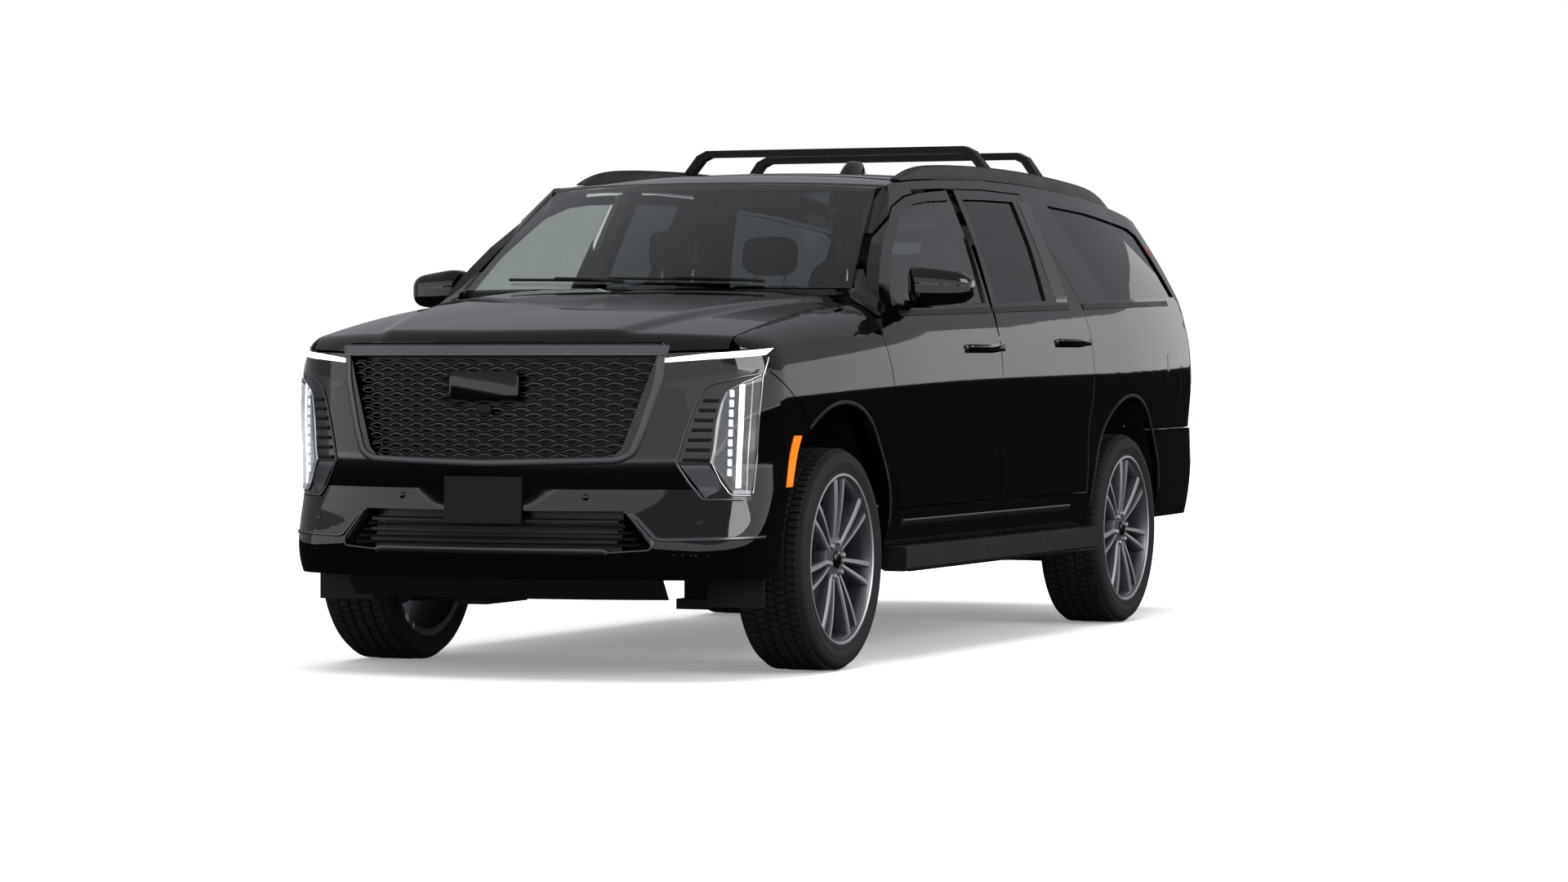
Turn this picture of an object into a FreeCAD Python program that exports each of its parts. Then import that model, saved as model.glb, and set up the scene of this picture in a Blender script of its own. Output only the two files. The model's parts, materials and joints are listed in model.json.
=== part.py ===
import FreeCAD, Part
import Sketcher
import math
import os
from FreeCAD import Vector

# A full-size four-door utility vehicle, in millimetres.
# The front faces -Y, the left side is +X, +Z is up and the tyres stand on Z = 0.
# The origin is under the middle of the whole length.

os.makedirs("parts", exist_ok=True)
doc = FreeCAD.newDocument("utility_vehicle")

# Driving dimensions: name, value, meaning.
SIZES = [
    ("wheelbase", 3407, "front axle to rear axle"),
    ("front_overhang", 1014, "nose of the bumper to the front axle"),
    ("rear_overhang", 1345, "rear axle to the back of the rear bumper"),
    ("body_width", 2059, "widest place of the doors"),
    ("track", 1735, "distance between the middles of two tyres on an axle"),
    ("tyre_diameter", 837.6, "outside of the tread"),
    ("tyre_width", 285, "widest place of the sidewalls"),
    ("tread_width", 236, "flat part of the tread"),
    ("rim_diameter", 616, "bead seat of the rim"),
    ("rim_width", 272, "over the rim flanges"),
    ("flange_height", 17, "rim flange above the bead seat"),
    ("barrel_wall", 15, "thickness of the rim barrel"),
    ("spoke_depth", 46, "depth of a spoke along the axle"),
    ("spoke_inset", 12, "outer face of the spokes behind the rim edge"),
    ("hub_diameter", 190, "centre of the rim"),
    ("spoke_count", 7, "spokes in a rim"),
    ("disc_diameter", 410, "brake disc"),
    ("disc_wall", 30, "thickness of a brake disc"),
    ("sill_height", 452, "lower edge of the body side"),
    ("chin_height", 372, "lower edge of the front bumper"),
    ("door_bottom", 597, "lower edge of the doors"),
    ("line_height", 700, "lower crease of the doors"),
    ("shoulder_height", 1301, "shoulder crease at the middle of the doors"),
    ("belt_height", 1393, "belt line at the middle of the length"),
    ("gutter_height", 1925, "highest place of the roof edge"),
    ("roof_crown", 40, "roof above its edges"),
    ("gutter_inset", 284, "roof edge inside the widest place"),
    ("door_wall", 60, "thickness of a door"),
    ("frame_wall", 42, "thickness of a window frame"),
    ("panel_wall", 30, "thickness of a fender or bumper cover"),
    ("roof_wall", 32, "thickness of the roof"),
    ("hood_wall", 28, "thickness of the hood"),
    ("glass_wall", 5, "thickness of a pane"),
    ("glass_inset", 10, "pane behind the outside of its frame"),
    ("panel_gap", 6, "gap between two panels that meet"),
    ("seat_gap", 0.3, "gap between two pieces where one carries the other"),
    ("run_gap", 8, "gap between a door and the pillar behind it"),
    ("nose_radius", 160, "front corner in plan"),
    ("tail_radius", 120, "rear corner in plan"),
    ("arch_radius", 492, "wheel opening"),
    ("arch_lift", 90, "middle of the wheel opening above the axle"),
    ("front_door_start", 434, "front axle to the foremost point of the front door"),
    ("front_door_length", 1285, "foremost point of the front door to the middle split"),
    ("rear_door_end", 530, "rear edge of the rear door to the rear axle"),
    ("cowl_start", 239, "front axle to the base of the windshield"),
    ("cowl_height", 1447, "base of the windshield"),
    ("glass_run", 698, "windshield from base to top along the length"),
    ("header_height", 1880, "top of the windshield"),
    ("hood_inset", 179.5, "edge of the hood inside the widest place"),
    ("hood_relief", 10, "rear corners of the hood in front of the pillars"),
    ("nose_height", 1196, "lower edge of the hood nose"),
    ("grille_top", 1180, "top of the grille"),
    ("grille_bottom", 792, "bottom of the grille at its corners"),
    ("grille_top_half", 622, "half the width of the grille at its top"),
    ("grille_low_half", 500, "half the width of the grille at its bottom"),
    ("grille_point", 16, "how far the bottom of the grille dips at its middle"),
    ("mesh_rise", 18.5, "height from one row of the grille mesh to the next"),
    ("mesh_pitch", 97, "width of one wave of the grille mesh"),
    ("lamp_inset", 91.5, "outer edge of a headlamp inside the widest place"),
    ("lamp_top", 1123, "top of a headlamp"),
    ("lamp_bottom", 655, "bottom of a headlamp"),
    ("blade_rise", 37, "height of the thin lamp under the hood edge"),
    ("intake_top", 622, "top of the lower air intake"),
    ("intake_bottom", 472, "bottom of the lower air intake"),
    ("tail_inset", 95, "tailgate in front of the back of the bumper"),
    ("bumper_top", 850, "upper edge of the rear bumper"),
    ("tailgate_half", 735, "half the width of the tailgate"),
    ("rail_spacing", 840, "distance between the middles of the frame rails"),
    ("rail_width", 84, "width of a frame rail"),
    ("rail_depth", 130, "height of a frame rail"),
    ("rail_height", 448, "underside of the frame rails"),
    ("rear_kick", 130, "how far the rails rise over the rear axle"),
    ("floor_height", 590, "underside of the cabin floor"),
    ("floor_wall", 40, "thickness of the cabin floor"),
    ("kingpin_inset", 78, "steering axis inside the middle of the tyre"),
    ("pin_gap", 0.05, "clearance round a pin in its hole"),
    ("step_top", 445, "top of the running boards"),
    ("step_depth", 95, "height of a running board"),
    ("step_reach", 1050, "outer edge of a running board"),
    ("bar_rise", 159, "top of the roof crossbars above the roof edge"),
    ("front_bar_start", 705, "middle split to the front crossbar"),
    ("bar_spacing", 678, "distance between the crossbars"),
    ("bar_inset", 429.5, "end of the raised part of a crossbar inside the widest place"),
    ("rail_rise", 50, "roof rail above the roof edge"),
    ("mirror_reach", 1217, "outer end of the mirrors"),
    ("beam_half", 450, "half the length of the front bumper beam"),
    ("beam_wall", 70, "thickness of the front bumper beam"),
    ("receiver_width", 63.5, "outside of the tow receiver"),
    ("receiver_bore", 50.8, "inside of the tow receiver"),
    ("hitch_pin", 15.9, "pin hole of the tow receiver"),
    ("receiver_height", 384, "underside of the tow receiver"),
    ("seat_width", 540, "width of a seat"),
    ("seat_spacing", 840, "distance between the middles of two seats"),
    ("front_seat_start", 700, "middle of the steering wheel to the back of the front seat"),
    ("wheel_rim_diameter", 370, "steering wheel"),
]

sheet = doc.addObject("Spreadsheet::Sheet", "Sizes")
for row, (alias, value, meaning) in enumerate(SIZES, start=1):
    sheet.set("A%d" % row, alias)
    sheet.set("B%d" % row, str(value))
    sheet.setAlias("B%d" % row, alias)
    sheet.set("C%d" % row, meaning)
doc.recompute()


class Size:
    """Driving dimensions as numbers, read from the sheet."""


for alias, value, meaning in SIZES:
    setattr(Size, alias, float(sheet.get(alias)))

# Places that follow from the driving dimensions.
HALF_LENGTH = (Size.front_overhang + Size.wheelbase + Size.rear_overhang) / 2
NOSE_Y = -HALF_LENGTH
TAIL_Y = HALF_LENGTH
FRONT_AXLE_Y = NOSE_Y + Size.front_overhang
REAR_AXLE_Y = TAIL_Y - Size.rear_overhang
AXLE_Z = Size.tyre_diameter / 2
HALF_WIDTH = Size.body_width / 2
HALF_TRACK = Size.track / 2
HOOD_HALF = HALF_WIDTH - Size.hood_inset
BAR_TOP = Size.gutter_height + Size.bar_rise
DOOR_FRONT_Y = FRONT_AXLE_Y + Size.front_door_start
SPLIT_Y = DOOR_FRONT_Y + Size.front_door_length
DOOR_REAR_Y = REAR_AXLE_Y - Size.rear_door_end
COWL_Y = FRONT_AXLE_Y + Size.cowl_start
HEADER_Y = COWL_Y + Size.glass_run
PANE_REAR_Y = TAIL_Y - 365


# Body surfaces: each function gives a height or a width of the outer skin.
def shoulder_z(y):
    """Height of the shoulder crease, which falls towards the nose."""
    along = (y - SPLIT_Y) / 1000
    bend = 9.5 if along < 0 else 2.5
    return Size.shoulder_height + 18 * along - bend * along ** 2


def belt_z(y):
    """Height of the belt line under the side windows."""
    return Size.belt_height + 0.0225 * y


def gutter_z(y):
    """Height of the roof edge, an arc with its top behind the middle split."""
    along = (y - SPLIT_Y - 750) / 1000
    return Size.gutter_height - 27.5 * along ** 2


def bottom_z(y):
    """Lower edge of the body side, lower on the front bumper."""
    share = (FRONT_AXLE_Y - y + 370) / 800
    share = min(1, max(0, share))
    return Size.sill_height + (Size.chin_height - Size.sill_height) * share ** 2 * (3 - 2 * share)


def side_taper(y):
    """How far the side moves in towards the nose and the tail."""
    if y < DOOR_FRONT_Y + 453:
        return 50 * ((DOOR_FRONT_Y + 453 - y) / 1500) ** 2
    if y > DOOR_REAR_Y + 410:
        return 50 * ((y - DOOR_REAR_Y - 410) / 1100) ** 2
    return 0


def front_bow(z):
    """How strongly the front curves back in plan at a height."""
    if z > 650:
        return 0.00036
    return 0.00027 + 0.00009 * max(0, (z - 450) / 200) ** 2


def front_lean(z):
    """How far the front face lies behind the nose at the middle."""
    if z > 800:
        return 20 * ((z - 800) / 400) ** 1.5
    if z < 460:
        return 22 * ((460 - z) / 90) ** 2
    return 0


def front_y(x, z):
    """Outer face of the front at a width and a height."""
    return NOSE_Y + front_lean(z) + front_bow(z) * x ** 2


def tail_y(x, z):
    """Outer face of the tailgate and its glass."""
    base = TAIL_Y - Size.tail_inset - 0.0001 * x ** 2
    knee = Size.belt_height + 55
    if z <= knee:
        return base - 0.06 * (z - Size.bumper_top)
    rise = z - knee
    lean = 0.44 * rise - 0.10 * 90 * (1 - math.exp(-rise / 90))
    return base - 0.06 * (knee - Size.bumper_top) - lean


def bumper_y(x, z):
    """Outer face of the rear bumper."""
    middle = (Size.sill_height + Size.bumper_top) / 2
    return TAIL_Y - 22 * ((z - middle) / 210) ** 4 - 0.0001 * x ** 2


# Bands of the side: share of the band's height, and inset from the widest place.
SILL_BAND = [(0, 47), (0.35, 32), (0.7, 21.8), (1, 17.5)]
FLANK_BAND = [(0, 17.5), (0.13, 19.5), (0.27, 18.5), (0.42, 7.5), (0.57, 0), (0.75, 3), (0.88, 12), (1, 29.5)]
SHOULDER_BAND = [(0, 29.5), (0.5, 45), (1, 66)]
PANE_SHARES = [0, 0.25, 0.5, 0.75, 1]


def pane_inset(share):
    """Inset of the side glass, which leans in and is slightly barrelled."""
    straight = 66 + (Size.gutter_inset - 66) * share
    return straight - 10 * math.sin(math.pi * share)


PANE_BAND = [(share, pane_inset(share)) for share in PANE_SHARES]

BAND_RANGE = {
    "sill": (bottom_z, lambda y: Size.line_height),
    "flank": (lambda y: Size.line_height, shoulder_z),
    "shoulder": (shoulder_z, belt_z),
    "pane": (belt_z, gutter_z),
}
BAND_ROWS = {"sill": SILL_BAND, "flank": FLANK_BAND, "shoulder": SHOULDER_BAND, "pane": PANE_BAND}


def level_z(band, share, y):
    """Height of a row of a band at a place along the length."""
    low, high = BAND_RANGE[band]
    return low(y) + share * (high(y) - low(y))


def side_x(inset, y):
    """Half width of the body at a row with a given inset."""
    return HALF_WIDTH - inset - side_taper(y)


def wrap_point(band, share, inset, end_y, radius, sign, column):
    """Point of a band that runs along the side, round a corner and across an end.

    A column is ("side", share of the way to the corner, start), ("corner", angle) or
    ("end", share of the half width).
    """
    kind, where = column[:2]
    if kind == "side":
        bend_y = wrap_point(band, share, inset, end_y, radius, sign, ("corner", 0)).y
        y = column[2] + (bend_y - column[2]) * where
        return Vector(side_x(inset, y), y, level_z(band, share, y))
    if kind == "corner":
        bend = math.radians(where)
        from_side = radius * (1 - math.cos(bend) ** 0.8)
        from_end = radius * (1 - math.sin(bend) ** 0.8)
        x, y = HALF_WIDTH - 100, sign * HALF_LENGTH * 0.9
        for step in range(12):
            z = level_z(band, share, y)
            x = side_x(inset, y) - from_side
            y = end_y(x, z) - sign * from_end
        return Vector(x, y, level_z(band, share, y))
    corner = wrap_point(band, share, inset, end_y, radius, sign, ("corner", 90))
    x = corner.x * where
    y = corner.y
    for step in range(4):
        z = level_z(band, share, y)
        y = end_y(x, z)
    return Vector(x, y, z)


def through(points, params):
    """Curve through points at given parameters."""
    curve = Part.BSplineCurve()
    curve.interpolate(Points=points, Parameters=params)
    return curve


def spaced(points):
    """Parameters from 0 to 1 by the distance along a row of points."""
    steps = [0.0]
    for here, after in zip(points, points[1:]):
        steps.append(steps[-1] + (after - here).Length)
    return [step / steps[-1] for step in steps]


def net(rows, across):
    """Smooth face through rows of points, with its border curves."""
    middle = len(rows[0]) // 2
    upward = spaced([row[middle] for row in rows])
    row_curves = [through(row, across) for row in rows]
    pole_rows = [curve.getPoles() for curve in row_curves]
    columns = [through([poles[i] for poles in pole_rows], upward) for i in range(len(pole_rows[0]))]
    surface = Part.BSplineSurface()
    surface.buildFromPolesMultsKnots(
        [column.getPoles() for column in columns],
        row_curves[0].getMultiplicities(), columns[0].getMultiplicities(),
        row_curves[0].getKnots(), columns[0].getKnots(),
        False, False, row_curves[0].Degree, columns[0].Degree)
    border = (row_curves[0], row_curves[-1], columns[0], columns[-1])
    return surface.toShape(), border


def ruled(one, other):
    """Flat-ruled face between two border curves."""
    return Part.makeRuledSurface(one.toShape(), other.toShape())


def thick(outer_bands, inner_bands):
    """Solid between two stacks of bands, each a list of rows of points."""
    across = spaced(outer_bands[0][0])
    faces = []
    borders = []
    for bands in (outer_bands, inner_bands):
        made = [net(rows, across) for rows in bands]
        faces += [face for face, border in made]
        borders.append([border for face, border in made])
    outer, inner = borders
    faces.append(ruled(outer[0][0], inner[0][0]))
    faces.append(ruled(outer[-1][1], inner[-1][1]))
    for one, other in zip(outer, inner):
        faces.append(ruled(one[2], other[2]))
        faces.append(ruled(one[3], other[3]))
    shell = Part.makeShell(faces)
    shell.sewShape()
    solid = Part.makeSolid(shell)
    if solid.Volume < 0:
        solid.reverse()
    return solid


def mirrored(shape):
    """The same shape on the other side of the vehicle."""
    return shape.mirror(Vector(0, 0, 0), Vector(1, 0, 0))


def prism(points, axis, start, end):
    """Straight prism with an outline in the plane across an axis.

    The outline is (y, z) for axis x, (x, z) for axis y and (x, y) for axis z.
    """
    if axis == "x":
        corners = [Vector(start, a, b) for a, b in points]
        run = Vector(end - start, 0, 0)
    elif axis == "y":
        corners = [Vector(a, start, b) for a, b in points]
        run = Vector(0, end - start, 0)
    else:
        corners = [Vector(a, b, start) for a, b in points]
        run = Vector(0, 0, end - start)
    wire = Part.makePolygon(corners + corners[:1])
    return Part.Face(wire).extrude(run)


def block(x, y, z):
    """Box between pairs of limits."""
    return Part.makeBox(x[1] - x[0], y[1] - y[0], z[1] - z[0], Vector(x[0], y[0], z[0]))


def arch_cut(axle_y, radius):
    """Cylinder that opens both sides at an axle."""
    reach = HALF_WIDTH + 200
    start = Vector(-reach, axle_y, AXLE_Z + Size.arch_lift)
    return Part.makeCylinder(radius, 2 * reach, start, Vector(1, 0, 0))


def largest(shape):
    """Biggest solid of a cut shape."""
    return max(shape.Solids, key=lambda solid: solid.Volume)


# Side of the cabin: bands from sill to roof edge, shifted in by two depths.
SIDE_BANDS = ["sill", "flank", "shoulder", "pane"]


def side_rows(band, stations, depths):
    """Rows of points of a band along the cabin, moved in by the depth at each end."""
    rows = []
    for share, inset in BAND_ROWS[band]:
        depth = depths[0] + (depths[1] - depths[0]) * share
        rows.append([Vector(side_x(inset, y) - depth, y, level_z(band, share, y)) for y in stations])
    return rows


def side_slab(start, end, outer, inner):
    """Slab of the left side; outer and inner are depths at sill, shoulder and roof edge."""
    count = max(3, int((end - start) / 300))
    stations = [start + (end - start) * i / count for i in range(count + 1)]
    outer_bands = []
    inner_bands = []
    for band in SIDE_BANDS:
        first, last = {"sill": (0, 1), "flank": (1, 1), "shoulder": (1, 1), "pane": (1, 2)}[band]
        outer_bands.append(side_rows(band, stations, (outer[first], outer[last])))
        inner_bands.append(side_rows(band, stations, (inner[first], inner[last])))
    return thick(outer_bands, inner_bands)


# Outlines in the side view, as (y, z).
PANE_MIDDLE_Z = Size.belt_height + 250


def pillar_line(grow):
    """Front edge of the door frame along the windshield pillar, from low to high."""
    corner_y = DOOR_FRONT_Y
    return [
        (corner_y + 40 - grow, belt_z(corner_y) - 32 + grow),
        (corner_y + 125 - grow, belt_z(corner_y) + 82 + grow),
        (corner_y + 235 - grow, belt_z(corner_y) + 180 + grow),
        (corner_y + 350 - grow, belt_z(corner_y) + 266 + grow),
        (corner_y + 620 - grow, belt_z(corner_y) + 416 + grow),
        (corner_y + 800 - grow, gutter_z(corner_y + 800) - 60 + grow),
        (corner_y + 960 - grow, gutter_z(corner_y + 960) - 49 + grow),
        (corner_y + 1120, gutter_z(corner_y + 1120) - 46 + grow),
    ]


def front_door_line(grow=0):
    """Front edge of the front door below the belt, from high to low."""
    return [
        (DOOR_FRONT_Y - grow, shoulder_z(DOOR_FRONT_Y) - 2),
        (DOOR_FRONT_Y + 59 - grow, 1045),
        (DOOR_FRONT_Y + 95 - grow, 881),
        (DOOR_FRONT_Y + 133 - grow, 711),
        (DOOR_FRONT_Y + 158 - grow, Size.door_bottom - grow),
    ]


def split_line(grow=0):
    """Split between the front and the rear door, from low to high."""
    return [
        (SPLIT_Y + 28 + grow, Size.door_bottom - 50),
        (SPLIT_Y + 22 + grow, 700),
        (SPLIT_Y - 10 + grow, 900),
        (SPLIT_Y - 17 + grow, 1045),
        (SPLIT_Y - 2 + grow, Size.shoulder_height),
        (SPLIT_Y + 34 + grow, Size.belt_height),
        (SPLIT_Y + 87 + grow, PANE_MIDDLE_Z),
        (SPLIT_Y + 108 + grow, Size.gutter_height + 60),
    ]


def rear_door_line(grow=0):
    """Rear edge of the rear door, from low to high."""
    return [
        (DOOR_REAR_Y - 30 + grow, Size.door_bottom - grow),
        (DOOR_REAR_Y - 25 + grow, 800),
        (DOOR_REAR_Y - 5 + grow, 1060),
        (DOOR_REAR_Y + 6 + grow, shoulder_z(DOOR_REAR_Y)),
        (DOOR_REAR_Y + 22 + grow, belt_z(DOOR_REAR_Y)),
        (DOOR_REAR_Y - 45 + grow, 1550),
        (DOOR_REAR_Y - 130 + grow, 1701),
        (DOOR_REAR_Y - 168 + grow, gutter_z(DOOR_REAR_Y) - 42 + grow),
    ]


def door_top(start, end, grow=0):
    """Upper edge of the doors under the roof edge."""
    return [(y, gutter_z(y) - 42 + grow) for y in (start, (start + end) / 2, end)]


def front_door_outline(grow=0):
    """Whole outline of the front door, past the middle split."""
    past = SPLIT_Y + 300
    return (front_door_line(grow) + [(past, Size.door_bottom - grow)]
            + [(past, gutter_z(past) - 42 + grow)]
            + [(SPLIT_Y + 60, gutter_z(SPLIT_Y + 60) - 42 + grow)]
            + pillar_line(grow)[::-1])


def rear_door_outline(grow=0):
    """Whole outline of the rear door, past the middle split."""
    past = SPLIT_Y - 300
    top = door_top(SPLIT_Y + 60, DOOR_REAR_Y - 168, grow)
    return ([(past, Size.door_bottom - grow)] + rear_door_line(grow)
            + top[::-1][1:] + [(past, gutter_z(past) - 42 + grow)])


def front_window():
    """Window opening of the front door."""
    corner_y = DOOR_FRONT_Y
    return [
        (corner_y + 195, belt_z(corner_y) + 18), (corner_y + 215, belt_z(corner_y) + 60),
        (corner_y + 400, belt_z(corner_y) + 226), (corner_y + 668, belt_z(corner_y) + 386),
        (corner_y + 860, gutter_z(corner_y + 860) - 90), (corner_y + 1060, gutter_z(corner_y + 1060) - 82),
        (SPLIT_Y + 50, gutter_z(SPLIT_Y) - 80), (SPLIT_Y + 28, PANE_MIDDLE_Z),
        (SPLIT_Y - 28, belt_z(SPLIT_Y) + 12),
    ]


def rear_window():
    """Window opening of the rear door."""
    return [
        (SPLIT_Y + 92, belt_z(SPLIT_Y) + 14), (SPLIT_Y + 145, PANE_MIDDLE_Z),
        (SPLIT_Y + 168, gutter_z(SPLIT_Y + 168) - 80), (SPLIT_Y + 450, gutter_z(SPLIT_Y + 450) - 80),
        (SPLIT_Y + 785, gutter_z(SPLIT_Y + 785) - 80), (SPLIT_Y + 770, PANE_MIDDLE_Z),
        (SPLIT_Y + 722, belt_z(SPLIT_Y + 722) + 14),
    ]


def quarter_window():
    """Window opening of the rear quarter, with a slanted front edge."""
    rear_edge = PANE_REAR_Y - 125
    return [
        (DOOR_REAR_Y + 380, belt_z(DOOR_REAR_Y + 380) + 12),
        (DOOR_REAR_Y + 72, gutter_z(DOOR_REAR_Y + 72) - 75),
        (DOOR_REAR_Y + 600, gutter_z(DOOR_REAR_Y + 600) - 72),
        (rear_edge - 120, gutter_z(rear_edge - 120) - 72),
        (rear_edge, gutter_z(rear_edge) - 90), (rear_edge + 125, belt_z(rear_edge) + 14),
    ]


X_CUT = (500, HALF_WIDTH + 100)
REAR_SLOPE = 0.3
DOOR_DEPTHS = (Size.door_wall, Size.door_wall, Size.frame_wall)
BODY_DEPTHS = (130, 95, 95)
PANE_OUTER = tuple([Size.glass_inset] * 3)
PANE_INNER = tuple([Size.glass_inset + Size.glass_wall] * 3)


def slanted(points, slope):
    """Prism across the side whose outline moves forward going in, so that a door clears on opening."""
    start, end = X_CUT
    corners = [Vector(end, a, b) for a, b in points]
    wire = Part.makePolygon(corners + corners[:1])
    run = Vector(start - end, (start - end) * slope, 0)
    face = Part.Face(wire)
    face.translate(Vector(0, (end - HALF_WIDTH) * slope, 0))
    return face.extrude(run)


def front_door():
    """Left front door with its window frame."""
    slab = side_slab(DOOR_FRONT_Y - 5, SPLIT_Y + 190, (0, 0, 0), DOOR_DEPTHS)
    door = slab.common(prism(front_door_outline(), "x", *X_CUT))
    before_split = split_line(-Size.panel_gap / 2) + [(DOOR_FRONT_Y - 100, 2000), (DOOR_FRONT_Y - 100, 500)]
    door = door.common(slanted(before_split, REAR_SLOPE))
    return largest(door.cut(prism(front_window(), "x", *X_CUT)))


def rear_door():
    """Left rear door with its window frame."""
    slab = side_slab(SPLIT_Y - 60, DOOR_REAR_Y + 60, (0, 0, 0), DOOR_DEPTHS)
    door = slab.common(slanted(rear_door_outline(), REAR_SLOPE))
    after_split = split_line(Size.panel_gap / 2) + [(DOOR_REAR_Y + 200, 2000), (DOOR_REAR_Y + 200, 500)]
    door = door.common(prism(after_split, "x", *X_CUT))
    return largest(door.cut(prism(rear_window(), "x", *X_CUT)))


def handle(start, end, z):
    """Bow-shaped pull of a left door, with its feet in the skin."""
    skin = side_x(inset_at("flank", (z - Size.line_height) / (shoulder_z(start) - Size.line_height)), start)
    outline = [(skin - 8, start), (skin - 8, start + 60), (skin + 12, start + 80), (skin + 12, end - 70),
               (skin - 8, end - 50), (skin - 8, end), (skin + 14, end), (skin + 32, end - 30),
               (skin + 32, start + 40), (skin + 14, start)]
    return prism(outline, "z", z - 14, z + 14)


def pane(outline, start, end):
    """Side pane that fills a window opening."""
    slab = side_slab(start, end, PANE_OUTER, PANE_INNER)
    return largest(slab.common(prism(outline, "x", *X_CUT)))


def body_side():
    """Left side: sill, pillars, rear quarter and rail over the doors."""
    rear_edge = PANE_REAR_Y
    slab = side_slab(DOOR_FRONT_Y - 45, rear_edge + 64, (0, 0, 0), BODY_DEPTHS)
    gap = Size.panel_gap
    side = slab.cut(slanted(front_door_outline(gap), 0))
    side = side.cut(slanted(rear_door_outline(gap), REAR_SLOPE))
    side = side.cut(prism(quarter_window(), "x", *X_CUT))
    for axle_y in (FRONT_AXLE_Y, REAR_AXLE_Y):
        side = side.cut(arch_cut(axle_y, Size.arch_radius))
    low_edge = Size.bumper_top + gap
    tail = [(REAR_AXLE_Y + 300 - gap, 300), (REAR_AXLE_Y + 300 - gap, low_edge),
            (rear_edge + 400, low_edge), (rear_edge + 400, 300)]
    side = side.cut(prism(tail, "x", *X_CUT))
    side = side.cut(prism([(y - Size.seat_gap, z) for y, z in tail_line()], "x", *X_CUT))
    side = side.cut(prism(tailgate_outline(gap + 2), "y", *TAIL_CUT))
    base_y = DOOR_FRONT_Y + 35
    ahead = [(NOSE_Y, 300), (NOSE_Y, 2200), (pillar_front(2200), 2200),
             (pillar_front(Size.cowl_height), Size.cowl_height), (base_y, Size.cowl_height - 8),
             (base_y, belt_z(base_y) - 25), (DOOR_FRONT_Y + 110, belt_z(base_y) - 70),
             (DOOR_FRONT_Y + 150, 640), (DOOR_FRONT_Y + 170, 300)]
    side = side.cut(prism(ahead, "x", *X_CUT)).cut(pillar_bevel())
    inner = tuple(depth + Size.run_gap for depth in DOOR_DEPTHS)
    deep = tuple(depth + 52 for depth in inner)
    middle_pillar = side_slab(SPLIT_Y - 60, SPLIT_Y + 150, inner, deep)
    front = [(SPLIT_Y - 45, 300), (SPLIT_Y - 80, 900), (SPLIT_Y - 70, 1100),
             (SPLIT_Y - 20, Size.belt_height), (SPLIT_Y + 55, 2000)]
    rear = [(SPLIT_Y + 140, 2000), (SPLIT_Y + 90, Size.belt_height), (SPLIT_Y + 50, 1100),
            (SPLIT_Y + 70, 700), (SPLIT_Y + 95, 300)]
    leaning = front + rear
    middle_pillar = middle_pillar.common(prism(leaning, "x", *X_CUT))
    for post in (middle_pillar, hinge_pillar()) + hinge_leaves():
        side = side.fuse(post)
    return largest(side.cut(roof_room()).cut(lip_room()))


def hinge_pillar():
    """Post inside the front edge of the front door, from the sill to the windshield pillar."""
    outside = side_x(pane_inset(0.06), DOOR_FRONT_Y) - Size.door_wall - 3
    low = (DOOR_FRONT_Y + 150, DOOR_FRONT_Y + 260)
    high = (DOOR_FRONT_Y + 40, DOOR_FRONT_Y + 150)
    top = belt_z(DOOR_FRONT_Y) + 30
    outline = [(low[0], Size.sill_height), (low[1], Size.sill_height), (high[1], 1000), (high[1], top),
               (high[0], top), (high[0], 1000)]
    return prism(outline, "x", outside - 33, outside)


def hinge_leaves():
    """Two hinge brackets for each side door, on the posts and against the inside of the doors."""
    near = tuple(depth + Size.seat_gap for depth in DOOR_DEPTHS)
    leaves = []
    for start, end, levels, reach in ((DOOR_FRONT_Y + 85, DOOR_FRONT_Y + 135, (1060, 1200), 90),
                                      (SPLIT_Y + 8, SPLIT_Y + 40, (960, 1200), 20)):
        slab = side_slab(start - 20, end + 20, near, tuple(depth + reach for depth in DOOR_DEPTHS))
        for low in levels:
            outline = [(start, low), (end, low), (end, low + 50), (start, low + 50)]
            leaves.append(largest(slab.common(prism(outline, "x", *X_CUT))))
    return tuple(leaves)


def pillar_front(z):
    """Place along the length of the windshield's side edge at a height."""
    base = glass_point(1, 0)
    top = glass_point(1, 1)
    return base.y + 10 + (z - base.z) * (top.y - base.y) / (top.z - base.z)


def pillar_bevel():
    """Wedge that slants the windshield pillar from the glass to the door frame."""
    base = glass_point(1, 0)
    run = (glass_point(1, 1) - base) * 1.6
    start = base - run * 0.25
    outer = side_x(pane_inset(0), start.y) + 22
    corners = [Vector(start.x + 6, start.y - 6, start.z), Vector(outer, start.y + 62, start.z),
               Vector(outer + 90, start.y + 62, start.z), Vector(outer + 90, start.y - 150, start.z),
               Vector(start.x + 6, start.y - 150, start.z)]
    face = Part.Face(Part.makePolygon(corners + corners[:1]))
    return face.extrude(run)


# Windshield, hood and roof.
def glass_point(side_share, share):
    """Point of the windshield; side_share runs from -1 to 1, share from base to top."""
    base_x = 831 * side_share
    base = Vector(base_x, COWL_Y + 12 + 0.000388 * base_x ** 2, Size.cowl_height)
    top_x = 706 * side_share
    top = Vector(top_x, HEADER_Y + 0.000329 * top_x ** 2, Size.header_height - 0.000044 * top_x ** 2)
    bulge = 14 * math.sin(math.pi * share)
    return base + (top - base) * share + Vector(0, -0.53, 0.85) * bulge


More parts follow.
